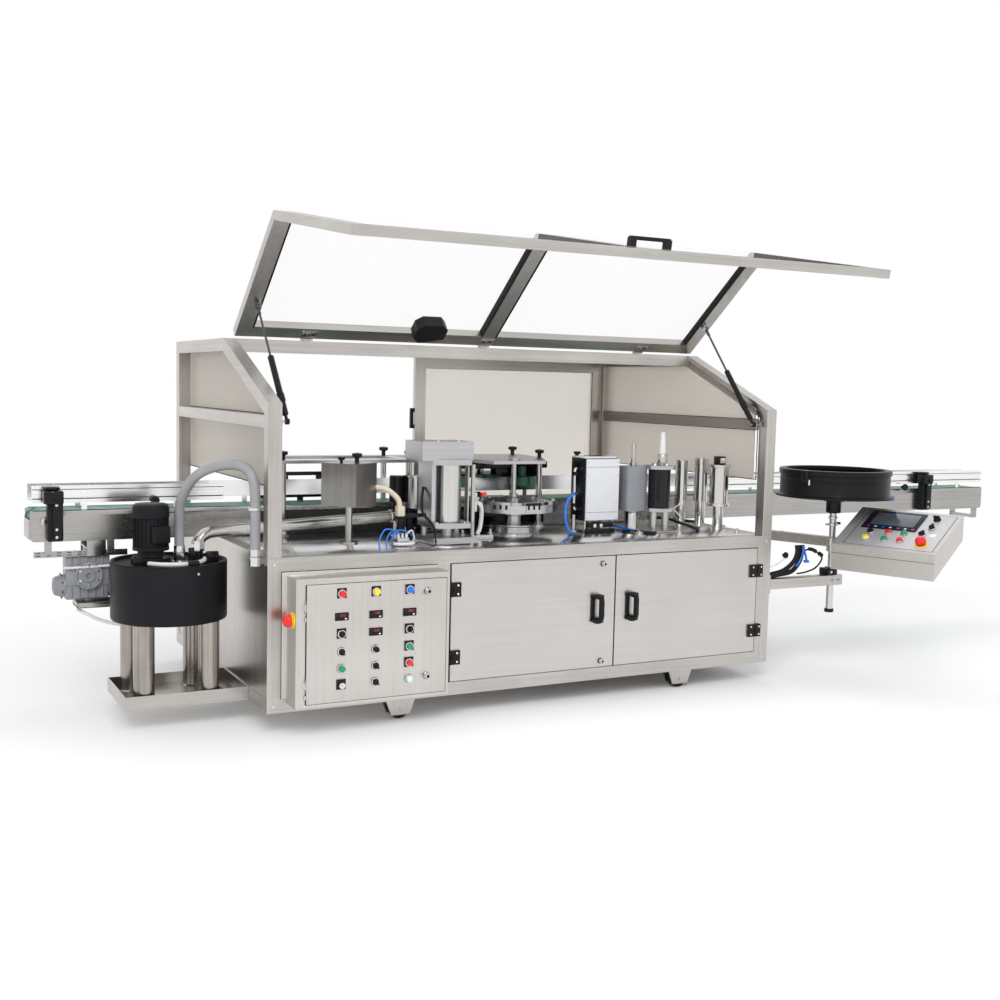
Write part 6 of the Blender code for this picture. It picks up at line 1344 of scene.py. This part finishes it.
for x, y in ((2.16, 0.31), (2.235, 0.31), (2.205, 0.38)):
    spun(bright_steel, "standoff", ((0.0205, ON_TABLE), (0.0205, 0.776), (0.0184, 0.778), (0.0184, 0.872)),
         at(x, y, 0.0), sides=36)
    bolt(at(x, y, 1.1122), size=0.006)
    spun(chrome, "nut", ((0.013, 1.1125), (0.013, 1.119), (0.008, 1.125)), at(x, y, 0.0), sides=6)
slab(grip_plastic, "scale plate", at(2.148, 0.2655, 0.93), at(2.164, 0.2675, 1.06), 0.0008)
finger = (at(2.246, 0.255, 0.89), at(2.268, 0.24, 0.912), at(2.286, 0.236, 0.93), at(2.296, 0.236, 0.928))
tube("bent finger", finger, 0.0032, chrome, 0.005)
finger = (at(2.25, 0.255, 0.886), at(2.27, 0.24, 0.862), at(2.284, 0.232, 0.842))
tube("bent finger", finger, 0.0032, chrome, 0.005)
assemble("feed_station_fittings", "machine", "stainless")


# Web guides
# Ground steel rollers turning on shafts fixed in the table, and the black angled web bars screwed down beside them.

for number, x, y, radius, low, high in ((1, 2.484, 0.52, 0.034, 0.112, 0.36), (2, 2.58, 0.47, 0.039, 0.137, 0.372)):
    steps = ((0.0265, 0.0), (0.027, 0.001), (0.027, low), (radius - 0.0015, low), (radius, low + 0.0015),
             (radius, high - 0.048), (radius - 0.0009, high - 0.047), (radius - 0.0009, high - 0.045),
             (radius, high - 0.044), (radius, high - 0.002), (radius - 0.002, high), (0.02, high),
             (0.018, high - 0.003))
    spun(roller_chrome, "roller", steps, at(x, y, TABLE_TOP + 0.0003), sides=64)
    assemble(f"web_guide_{number}", f"idler_roller_{number}", "stainless", f"idler_roller_{number}")
low, high = 0.129, 0.35
steps = ((0.0265, 0.0), (0.027, 0.001), (0.027, low), (0.0585, low), (0.06, low + 0.0015), (0.06, low + 0.012),
         (0.0585, low + 0.014), (0.05, low + 0.0145), (0.05, high - 0.0145), (0.0585, high - 0.014),
         (0.06, high - 0.012), (0.06, high - 0.0015), (0.0585, high), (0.02, high))
spindle = at(2.56, 0.286, TABLE_TOP + 0.0003)


def over_guide(x, y, z):
    """A place measured from the middle of the third guide's top."""
    return spindle + Vector((x, y, high + z))


spun(roller_chrome, "web guide", steps, spindle, sides=72)
slab(gloss_black, "square nut", over_guide(-0.024, -0.024, -0.001), over_guide(0.024, 0.024, 0.044), 0.006, 3)
slab(chrome, "nut face", over_guide(-0.016, -0.0248, 0.008), over_guide(0.016, -0.0235, 0.036), 0.004)
assemble("web_guide_3", "idler_roller_3", "stainless", "idler_roller_3")

for start, end in ((at(2.005, 0.355, 0.774), at(2.115, 0.215, 0.774)), (at(2.3, 0.4, 0.83), at(2.42, 0.25, 0.776)),
                   (at(2.455, 0.76, 0.79), at(2.625, 0.56, 0.778))):
    along = end - start
    place = Matrix.Translation(start) @ along.to_track_quat("X", "Z").to_matrix().to_4x4()
    slab(gloss_black, "web bar", (0.0, -0.016, -0.007), (along.length, 0.016, 0.007), 0.003, place=place)
    bolt(start + along * 0.45 + Vector((0.0, 0.0, 0.008)), size=0.006)
slab(zinc, "bar block", at(2.405, 0.23, ON_TABLE), at(2.475, 0.28, 0.792), 0.003)
bolt(at(2.44, 0.256, 0.7925), size=0.0055)
for x, y in ((2.02, 0.225), (2.25, 0.2), (2.61, 0.18), (2.64, 0.33)):
    spun(chrome, "stud", ((0.014, ON_TABLE), (0.014, 0.772), (0.008, 0.774), (0.008, 0.784), (0.005, 0.786)),
         at(x, y, 0.0), sides=24)
assemble("web_bars", "machine", "black_paint")


# Mast and lower arm
# A square stainless arm welded to an end plate on the right rear of the frame holds a polished mast in a black clamp;
# the mast has a dark end cap and a black boss for the reel.

MAST = at(3.135, 0.03, 0.0)
ARM_LEVEL = 0.507
slab(steel_x, "lower arm", at(2.6903, 0.0025, ARM_LEVEL - 0.0275), at(3.197, 0.0575, ARM_LEVEL + 0.0275), 0.004, 3)
slab(steel_y, "end plate", at(2.6903, 0.001, 0.457), at(2.7, 0.075, 0.557), 0.002)
for y, z in ((0.014, 0.47), (0.062, 0.47), (0.014, 0.545), (0.062, 0.545)):
    bolt(at(2.7, y, z), TO_RIGHT, 0.0055)
mast_steps = ((0.019, 0.346), (0.019, 0.536), (0.0195, 0.538), (0.0195, 0.54), (0.019, 0.541), (0.019, 0.886))
spun(roller_chrome, "mast", mast_steps, MAST, sides=64)
spun(gloss_black, "mast foot", ((0.022, 0.33), (0.025, 0.333), (0.025, 0.348), (0.023, 0.35), (0.0185, 0.35)), MAST,
     sides=48)
spun(gloss_black, "clamp", ((0.031, 0.5346), (0.035, 0.537), (0.035, 0.571), (0.032, 0.575), (0.0192, 0.575)), MAST,
     sides=48)
slab(gloss_black, "clamp ears", at(3.083, -0.004, 0.5346), at(3.11, 0.064, 0.572), 0.004)
bolt(at(3.108, -0.004, 0.553), TO_FRONT, 0.0055)
for x in (3.128, 3.172):
    bolt(at(x, 0.0025, ARM_LEVEL), TO_FRONT, 0.0062, zinc)
spun(bright_steel, "arm ring", ((0.0192, 0.661), (0.031, 0.6615), (0.031, 0.6863), (0.0192, 0.6867)), MAST, sides=48)
for z, radius in ((0.8, 0.028), (0.835, 0.026)):
    ring_steps = ((0.0192, z), (radius, z + 0.002), (radius, z + 0.012), (0.0192, z + 0.014))
    spun(chrome, "reel clamp", ring_steps, MAST, sides=48)
slab(chrome, "reel clamp screw", (MAST.x - 0.046, MAST.y - 0.01, 0.802), (MAST.x - 0.02, MAST.y + 0.01, 0.812), 0.003)
slab(gloss_black, "reel clamp screw", (MAST.x + 0.018, MAST.y - 0.014, 0.804),
     (MAST.x + 0.044, MAST.y + 0.006, 0.818), 0.003)
spun(gloss_black, "boss", ((0.019, 0.866), (0.036, 0.868), (0.04, 0.872), (0.04, 0.93), (0.02, 0.93)), MAST, sides=48)
assemble("mast_and_lower_arm", "machine", "stainless", "reel_support")


# Cable bundle
# Two thick black sleeves with blue air lines leave the upper arm and run back into the lower arm, beside a thin looped
# sensor lead with its connector.

for shift in (0.0, 0.03):
    route = (at(2.905 + shift, 0.044, 0.7), at(2.905 + shift, 0.04, 0.66), at(2.88 + shift * 1.3, 0.036, 0.615),
             at(2.815 + shift * 1.6, 0.034, 0.572 - shift * 0.3), at(2.74 + shift, 0.034, 0.556 - shift * 0.2),
             at(2.702, 0.034, 0.552 - shift * 0.5))
    tube("sleeve", route, 0.0125, black_hose)
blue_route = (at(2.946, 0.04, 0.7), at(2.948, 0.034, 0.668), at(2.956, 0.03, 0.64), at(2.962, 0.03, 0.618))
tube("blue line", blue_route, 0.006, blue_tube)
tube("blue line", (at(2.93, 0.024, 0.698), at(2.925, 0.02, 0.655), at(2.902, 0.018, 0.615), at(2.88, 0.018, 0.592)),
     0.0045, blue_tube)
slab(blue_cap, "blue clip", at(2.948, 0.02, 0.606), at(2.974, 0.04, 0.62), 0.003)
loop = (at(2.958, 0.036, 0.672), at(2.985, 0.03, 0.678), at(3.03, 0.026, 0.658), at(3.06, 0.024, 0.64),
        at(3.056, 0.022, 0.612), at(3.015, 0.022, 0.575), at(2.95, 0.024, 0.556), at(2.9, 0.03, 0.55))
tube("sensor lead", loop, 0.0045, black_hose, 0.008)
tube("connector", (at(2.975, 0.029, 0.679), at(3.0, 0.028, 0.674), at(3.022, 0.026, 0.663)), 0.01, black_hose, 0.006)
tube("connector", (at(3.042, 0.025, 0.654), at(3.062, 0.024, 0.641)), 0.011, grip_plastic, 0.006)
tube("grey lead", (at(2.702, 0.02, 0.596), at(2.74, 0.016, 0.606), at(2.78, 0.012, 0.628), at(2.806, 0.01, 0.652)),
     0.004, pale_tube, 0.008)
knob(at(2.8, 0.03, 0.655), 0.017, 0.026, TO_FRONT)
assemble("cable_bundle", "machine", "black_plastic")


# Screen arm
# A square tube that turns on the mast, open end capped in black, with the flat end plate that carries the operator
# box.

ARM_TURN = Matrix.Rotation(math.radians(-70.0), 4, "Z")
SWING = Matrix.Translation((MAST.x, MAST.y, 0.0)) @ ARM_TURN
arm_steel = brushed("arm_steel", "Y", (0.64, 0.62, 0.59), (0.45, 0.43, 0.41), 0.28)
dressed("screen_arm", "screen", "stainless", (arm_steel,))
slab(grip_plastic, "end cap", (-0.446, -0.0255, 0.6865), (-0.4395, 0.0255, 0.7375), 0.003, place=SWING)
for y in (-0.032, 0.032):
    bolt_steps = ((0.0058, 0.0), (0.0058, 0.005), (0.004, 0.006))
    spun(chrome, "plate bolt", bolt_steps, (0.104, y, 0.762), TO_LEFT, 6, place=SWING)
for x in (-0.4, -0.3):
    bolt_steps = ((0.008, -0.001), (0.008, 0.001), (0.006, 0.0012), (0.006, 0.005))
    spun(zinc, "arm bolt", bolt_steps, (x, 0.0, 0.737), sides=20, place=SWING)
slab(arm_steel, "weld", (-0.002, -0.0262, 0.7362), (0.1, 0.0262, 0.7385), 0.001, place=SWING)
assemble("screen_arm_fittings", "screen", "stainless")


# Operator box
# A folded stainless desk box: a lid with a let-in front plate, a dark touch screen, lamps, push buttons, selectors
# and an emergency stop on a yellow disc.

SLOPE = math.radians(27.1)
DESK = Matrix.Translation((0.836, -0.5727, 0.731)) @ ARM_TURN
FACE = DESK @ Matrix.Rotation(SLOPE, 4, "X")
desk_steel = brushed("desk_steel", "Y", (0.64, 0.635, 0.64), (0.52, 0.515, 0.52), 0.46, 0.04, metal=0.5)
desk_side = brushed("desk_side", "X", (0.66, 0.635, 0.6), (0.54, 0.515, 0.48), 0.32, 0.05)
dressed("screen_box", "screen", "stainless", (desk_steel, desk_side),
        lambda middle: 0 if (FACE.inverted() @ Vector(middle)).z > -0.002 else 1)


def stud(look, name, profile, x, up, sides=40):
    """A turned shape that stands up from the sloping plate."""
    spun(look, name, profile, (x, up, 0.0), sides=sides, place=FACE)


for left, right, low, high in ((0.0435, 0.046, 0.02, 0.356), (0.5155, 0.518, 0.02, 0.356),
                               (0.0435, 0.518, 0.355, 0.3572), (0.0435, 0.518, 0.0188, 0.0206)):
    slab(gloss_black, "gap", (left, low, -0.0006), (right, high, 0.0004), 0.0, place=FACE)
slab(desk_steel, "plate", (0.0468, 0.0212, -0.0002), (0.5148, 0.3545, 0.0012), 0.0006, place=FACE)
for x, up in ((0.03, 0.345), (0.53, 0.345), (0.03, 0.03), (0.53, 0.03)):
    stud(chrome, "screw", ((0.004, 0.0), (0.004, 0.0014), (0.0025, 0.002)), x, up, 20)
navy_bezel = moulded("navy_bezel", (0.008, 0.01, 0.026), 0.18, 1.5, 200.0, 0.03, 0.001, 0.15)
slab(navy_bezel, "bezel", (0.07, 0.178, 0.001), (0.367, 0.348, 0.0062), 0.002, place=FACE)


def screen_glow(name):
    """A switched-off colour display: grey-blue glass, a little lighter in its middle."""
    made, shader, wire = new_finish(name, Metallic=0.0, Coat_Weight=0.6, Coat_Roughness=0.06)
    place = wire.add("ShaderNodeTexCoord", output="Object")
    slow = noise(place, 7.0, 2.0)
    fine = noise(place, 180.0, 2.0)
    connect(shader, "Base Color", between(wire, (0.045, 0.06, 0.075), (0.11, 0.13, 0.15),
                                          (slow * 1.8 - 0.45).fenced()))
    connect(shader, "Roughness", (fine * 0.08 + 0.12).fenced())
    connect(shader, "Normal", eased_edges(wire, 0.0006))
    return made


slab(screen_glow("display_grey"), "display", (0.106, 0.214, 0.0058), (0.342, 0.328, 0.0068), 0.0004, place=FACE)
for number, look in enumerate((red_cap, pale_cap, blue_cap, pale_cap, red_cap, pale_cap, red_cap)):
    x = 0.1 + number * 0.04
    slab(look, "soft key", (x, 0.19, 0.0058), (x + 0.014, 0.199, 0.0067), 0.0004, place=FACE)
slab(red_cap, "status lamp", (0.118, 0.336, 0.0058), (0.126, 0.34, 0.0067), 0.0003, place=FACE)


def ringed(x, up, ring_look):
    """The seal and the screwed ring that hold a control in the sloping plate."""
    steps = ((0.019, 0.0), (0.019, 0.0055), (0.0172, 0.0085), (0.0152, 0.0085), (0.0148, 0.005))
    stud(gloss_black, "base ring", ((0.0195, 0.0), (0.0195, 0.003), (0.0185, 0.0038)), x, up)
    stud(ring_look, "ring", steps, x, up)


cap_steps = ((0.015, 0.003), (0.015, 0.014), (0.0132, 0.0172), (0.009, 0.0184), (0.003, 0.0187))
for x, up, look in ((0.235, 0.15, red_cap), (0.319, 0.153, green_cap), (0.139, 0.086, yellow_cap),
                    (0.24, 0.086, green_cap), (0.323, 0.088, red_cap)):
    ringed(x, up, pale_cap if look is yellow_cap else chrome)
    stud(look, "cap", cap_steps, x, up)
for x, up, turn in ((0.142, 0.143, 70.0), (0.41, 0.16, 60.0), (0.434, 0.228, 75.0), (0.428, 0.312, 0.0)):
    ringed(x, up, chrome if turn else gloss_black)
    stud(gloss_black, "skirt", ((0.0135, 0.003), (0.0135, 0.011), (0.011, 0.014), (0.006, 0.0145)), x, up)
    place = FACE @ Matrix.Translation((x, up, 0.0)) @ Matrix.Rotation(math.radians(turn), 4, "Z")
    slab(gloss_black, "grip", (-0.0185, -0.0048, 0.01), (0.015, 0.0048, 0.0262), 0.002, place=place)
slab(white_plastic, "blank label", (0.446, 0.15, 0.001), (0.48, 0.18, 0.0018), 0.0006, place=FACE)
stop_place = Vector((0.44, 0.075, 0.0))
disc_steps = ((0.033, 0.0), (0.033, 0.003), (0.0315, 0.0042), (0.0205, 0.0042))
stud(yellow_plastic, "yellow disc", disc_steps, stop_place.x, stop_place.y, 56)
collar_steps = ((0.0206, 0.004), (0.0206, 0.008), (0.018, 0.009), (0.0112, 0.009))
stud(gloss_black, "stop collar", collar_steps, stop_place.x, stop_place.y, 48)
slab(gloss_black, "front seam", (-0.0092, -0.0009, -0.0465), (0.5404, 0.0006, -0.0445), 0.0, place=DESK)
for x in (0.012, 0.51):
    screw_steps = ((0.0036, 0.0), (0.0036, 0.0012), (0.002, 0.0016))
    spun(zinc, "front screw", screw_steps, (x, -0.0001, -0.112), TO_FRONT, 20, place=DESK)
assemble("operator_panel", "screen", "stainless")
emergency_stop("screen_estop", FACE @ stop_place, (FACE.to_3x3() @ Vector(UP)).normalized())


# Label reel
# A deep dish spun in black-coated steel: hub, floor, a wall with a rolled bead and a thick lip, and a wider plate
# below; a black clamp with a chrome screw sits on its left edge.

reel_black = moulded("reel_black", (0.007, 0.007, 0.008), 0.36, 1.6, 260.0, 0.08, 0.002, 0.02)
low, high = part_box("label_reel")
reel_foot = Vector((MAST.x, MAST.y, low.z))
tall = high.z - low.z
reel_steps = ((0.052, 0.0), (0.055, 0.002), (0.06, 0.026), (0.3, 0.0265), (0.308, 0.027), (0.31, 0.031),
              (0.309, 0.037), (0.304, 0.04), (0.288, 0.042), (0.286, 0.046), (0.286, tall - 0.062),
              (0.2885, tall - 0.059), (0.2885, tall - 0.054), (0.286, tall - 0.051), (0.286, tall - 0.03),
              (0.293, tall - 0.027), (0.293, tall - 0.004), (0.289, tall - 0.0005), (0.262, tall),
              (0.258, tall - 0.004), (0.258, tall - 0.018), (0.276, tall - 0.022), (0.276, 0.043), (0.272, 0.041),
              (0.042, 0.041), (0.04, 0.043), (0.04, 0.074), (0.037, 0.077), (0.012, 0.077))
spun(reel_black, "dish", reel_steps, reel_foot, sides=144)
left_edge = reel_foot + Vector((-0.281, -0.085, tall - 0.045))
slab(gloss_black, "edge clamp", left_edge - Vector((0.014, 0.02, 0.022)), left_edge + Vector((0.014, 0.02, 0.046)),
     0.006, 3)
spun(chrome, "clamp screw", ((0.006, 0.0), (0.006, 0.026), (0.004, 0.028)),
     left_edge + Vector((0.004, -0.024, -0.03)), sides=24)
bolt_ring(reel_foot + Vector((0.0, 0.0, 0.0412)), 0.16, 6, 15, 0.007)
assemble("label_reel_spun", "label_reel", "black_plastic", "label_reel")


# Pane gaskets and hinge leaves
# Black rubber section pressed round the panes and down both sides of the hood's rails, and the ground leaves of the
# hood's three hinges, each held by two screws.

rubber_seal = moulded("rubber_seal", (0.007, 0.007, 0.007), 0.6, 1.5, 500.0, 0.2)
for low, high in (((-0.7075, 0.8315), (-0.7025, 1.6015)), ((0.4295, 0.8315), (0.4345, 1.6015)),
                  ((-0.7075, 0.8315), (0.4345, 0.8365)), ((-0.7075, 1.5965), (0.4345, 1.6015))):
    slab(rubber_seal, "seal", (low[0], 1.1758, low[1]), (high[0], 1.1792, high[1]), 0.0006)
assemble("rear_door_seals", "rear_door", "rubber")

for x in (-2.0738, 0.4912):
    for low, high in (((-0.35, 1.3065), (1.136, 1.3098)), ((-0.35, 1.3622), (1.136, 1.3655)),
                      ((-0.35, 1.051), (1.136, 1.0548)), ((-0.351, 1.051), (-0.347, 1.408))):
        slab(rubber_seal, "seal", (x, low[0], low[1]), (x + 0.0035, high[0], high[1]), 0.0006)
assemble("side_pane_seals", "machine", "rubber")

HINGE_LINE = Vector((0.0, 0.2853, HINGE_LEVEL))
LOWER_TILT, UPPER_LENGTH = math.radians(9.3), 0.762
UPPER_LEAF = Matrix.Translation(HINGE_LINE) @ Matrix.Rotation(UPPER_TILT, 4, "X")
BEND = UPPER_LEAF @ Vector((0.0, -UPPER_LENGTH, 0.0))
LOWER_LEAF = Matrix.Translation(BEND) @ Matrix.Rotation(LOWER_TILT, 4, "X")
for x in (-2.01, -0.829, -0.75, 0.431):
    slab(rubber_seal, "seal", (x, -0.742, -0.005), (x + 0.009, -0.07, 0.0341), 0.001, place=UPPER_LEAF)
    slab(rubber_seal, "seal", (x, -0.834, -0.005), (x + 0.009, -0.02, 0.0341), 0.001, place=LOWER_LEAF)
for left, right in ((-2.01, -0.82), (-0.75, 0.44)):
    for place, low, high in ((UPPER_LEAF, -0.0745, -0.07), (LOWER_LEAF, -0.84, -0.835)):
        slab(rubber_seal, "seal", (left, low, 0.0285), (right, high, 0.0341), 0.0006, place=place)
for x in (-1.73, -0.785, 0.16):
    low, high = (x - 0.036, -0.064, -0.0088), (x + 0.036, -0.014, -0.0058)
    slab(bright_steel, "hinge leaf", low, high, 0.001, place=UPPER_LEAF)
    for step in (-0.02, 0.02):
        screw_steps = ((0.006, 0.0), (0.006, 0.0026), (0.004, 0.0034))
        spun(gloss_black, "leaf screw", screw_steps, (x + step, -0.042, -0.0086), (0.0, 0.0, -1.0), 20,
             place=UPPER_LEAF)
assemble("hood_seals_and_leaves", "hood", "rubber")


def leaf_screws(x):
    """The four screws of two hinge leaves, one leaf above the other."""
    for z in (0.255, 0.295, 0.566, 0.606):
        spun(chrome, "leaf screw", ((0.0052, 0.0), (0.0052, 0.0016), (0.0034, 0.0028)), at(x, -0.015, z), TO_FRONT,
             20)


for name, body, columns in (("door_left_hinge_screws", "door_left", (0.882,)),
                            ("frame_hinge_screws", "machine", (0.831, 2.62)),
                            ("door_right_hinge_screws", "door_right", (2.569,))):
    for x in columns:
        leaf_screws(x)
    assemble(name, body, "stainless")


# Door grips and locks
# Black moulded grips bent out from a foot plate on each door, and the left door's two turned locks with their key
# slots.

for door, x in (("door_left", 1.634), ("door_right", 1.832)):
    low, high = at(x - 0.04, -0.01, GRIP_LEVEL - 0.064), at(x - 0.018, -0.0052, GRIP_LEVEL + 0.064)
    slab(gloss_black, "foot plate", low, high, 0.002)
    half = ((-0.03, 0.01, 0.056), (-0.02, 0.028, 0.062), (-0.004, 0.042, 0.057), (0.001, 0.046, 0.036))
    upper_half = [at(x + out, -away, GRIP_LEVEL + rise) for out, away, rise in half]
    lower_half = [at(x + out, -away, GRIP_LEVEL - rise) for out, away, rise in reversed(half)]
    tube("grip", [*upper_half, at(x + 0.001, -0.046, GRIP_LEVEL), *lower_half], 0.0105, gloss_black, 0.006)
    assemble(f"{door}_grip", door, "black_plastic")
for z in (0.193, 0.667):
    lock_foot = at(1.658, -0.005, z)
    spun(gloss_black, "lock seal", ((0.0145, 0.0), (0.0145, 0.0014)), lock_foot, TO_FRONT, 32)
    lock_steps = ((0.0118, 0.0012), (0.0118, 0.02), (0.01, 0.0225), (0.006, 0.0225))
    spun(lock_steel, "lock", lock_steps, lock_foot, TO_FRONT, 32)
    spun(gloss_black, "key slot", ((0.006, 0.02), (0.006, 0.0232)), lock_foot, TO_FRONT, 20)
assemble("door_left_locks", "door_left", "stainless")


# Frame plugs
# Turned blanking plugs pressed into the front corners of the base frame.

for x in (-2.1, 0.53):
    for z in (0.13, 0.736):
        spun(chrome, "plug", ((0.006, 0.0), (0.006, 0.001), (0.0045, 0.0016)), (x, FRAME_FRONT, z), TO_FRONT, 24)
assemble("frame_plugs", "machine", "stainless")
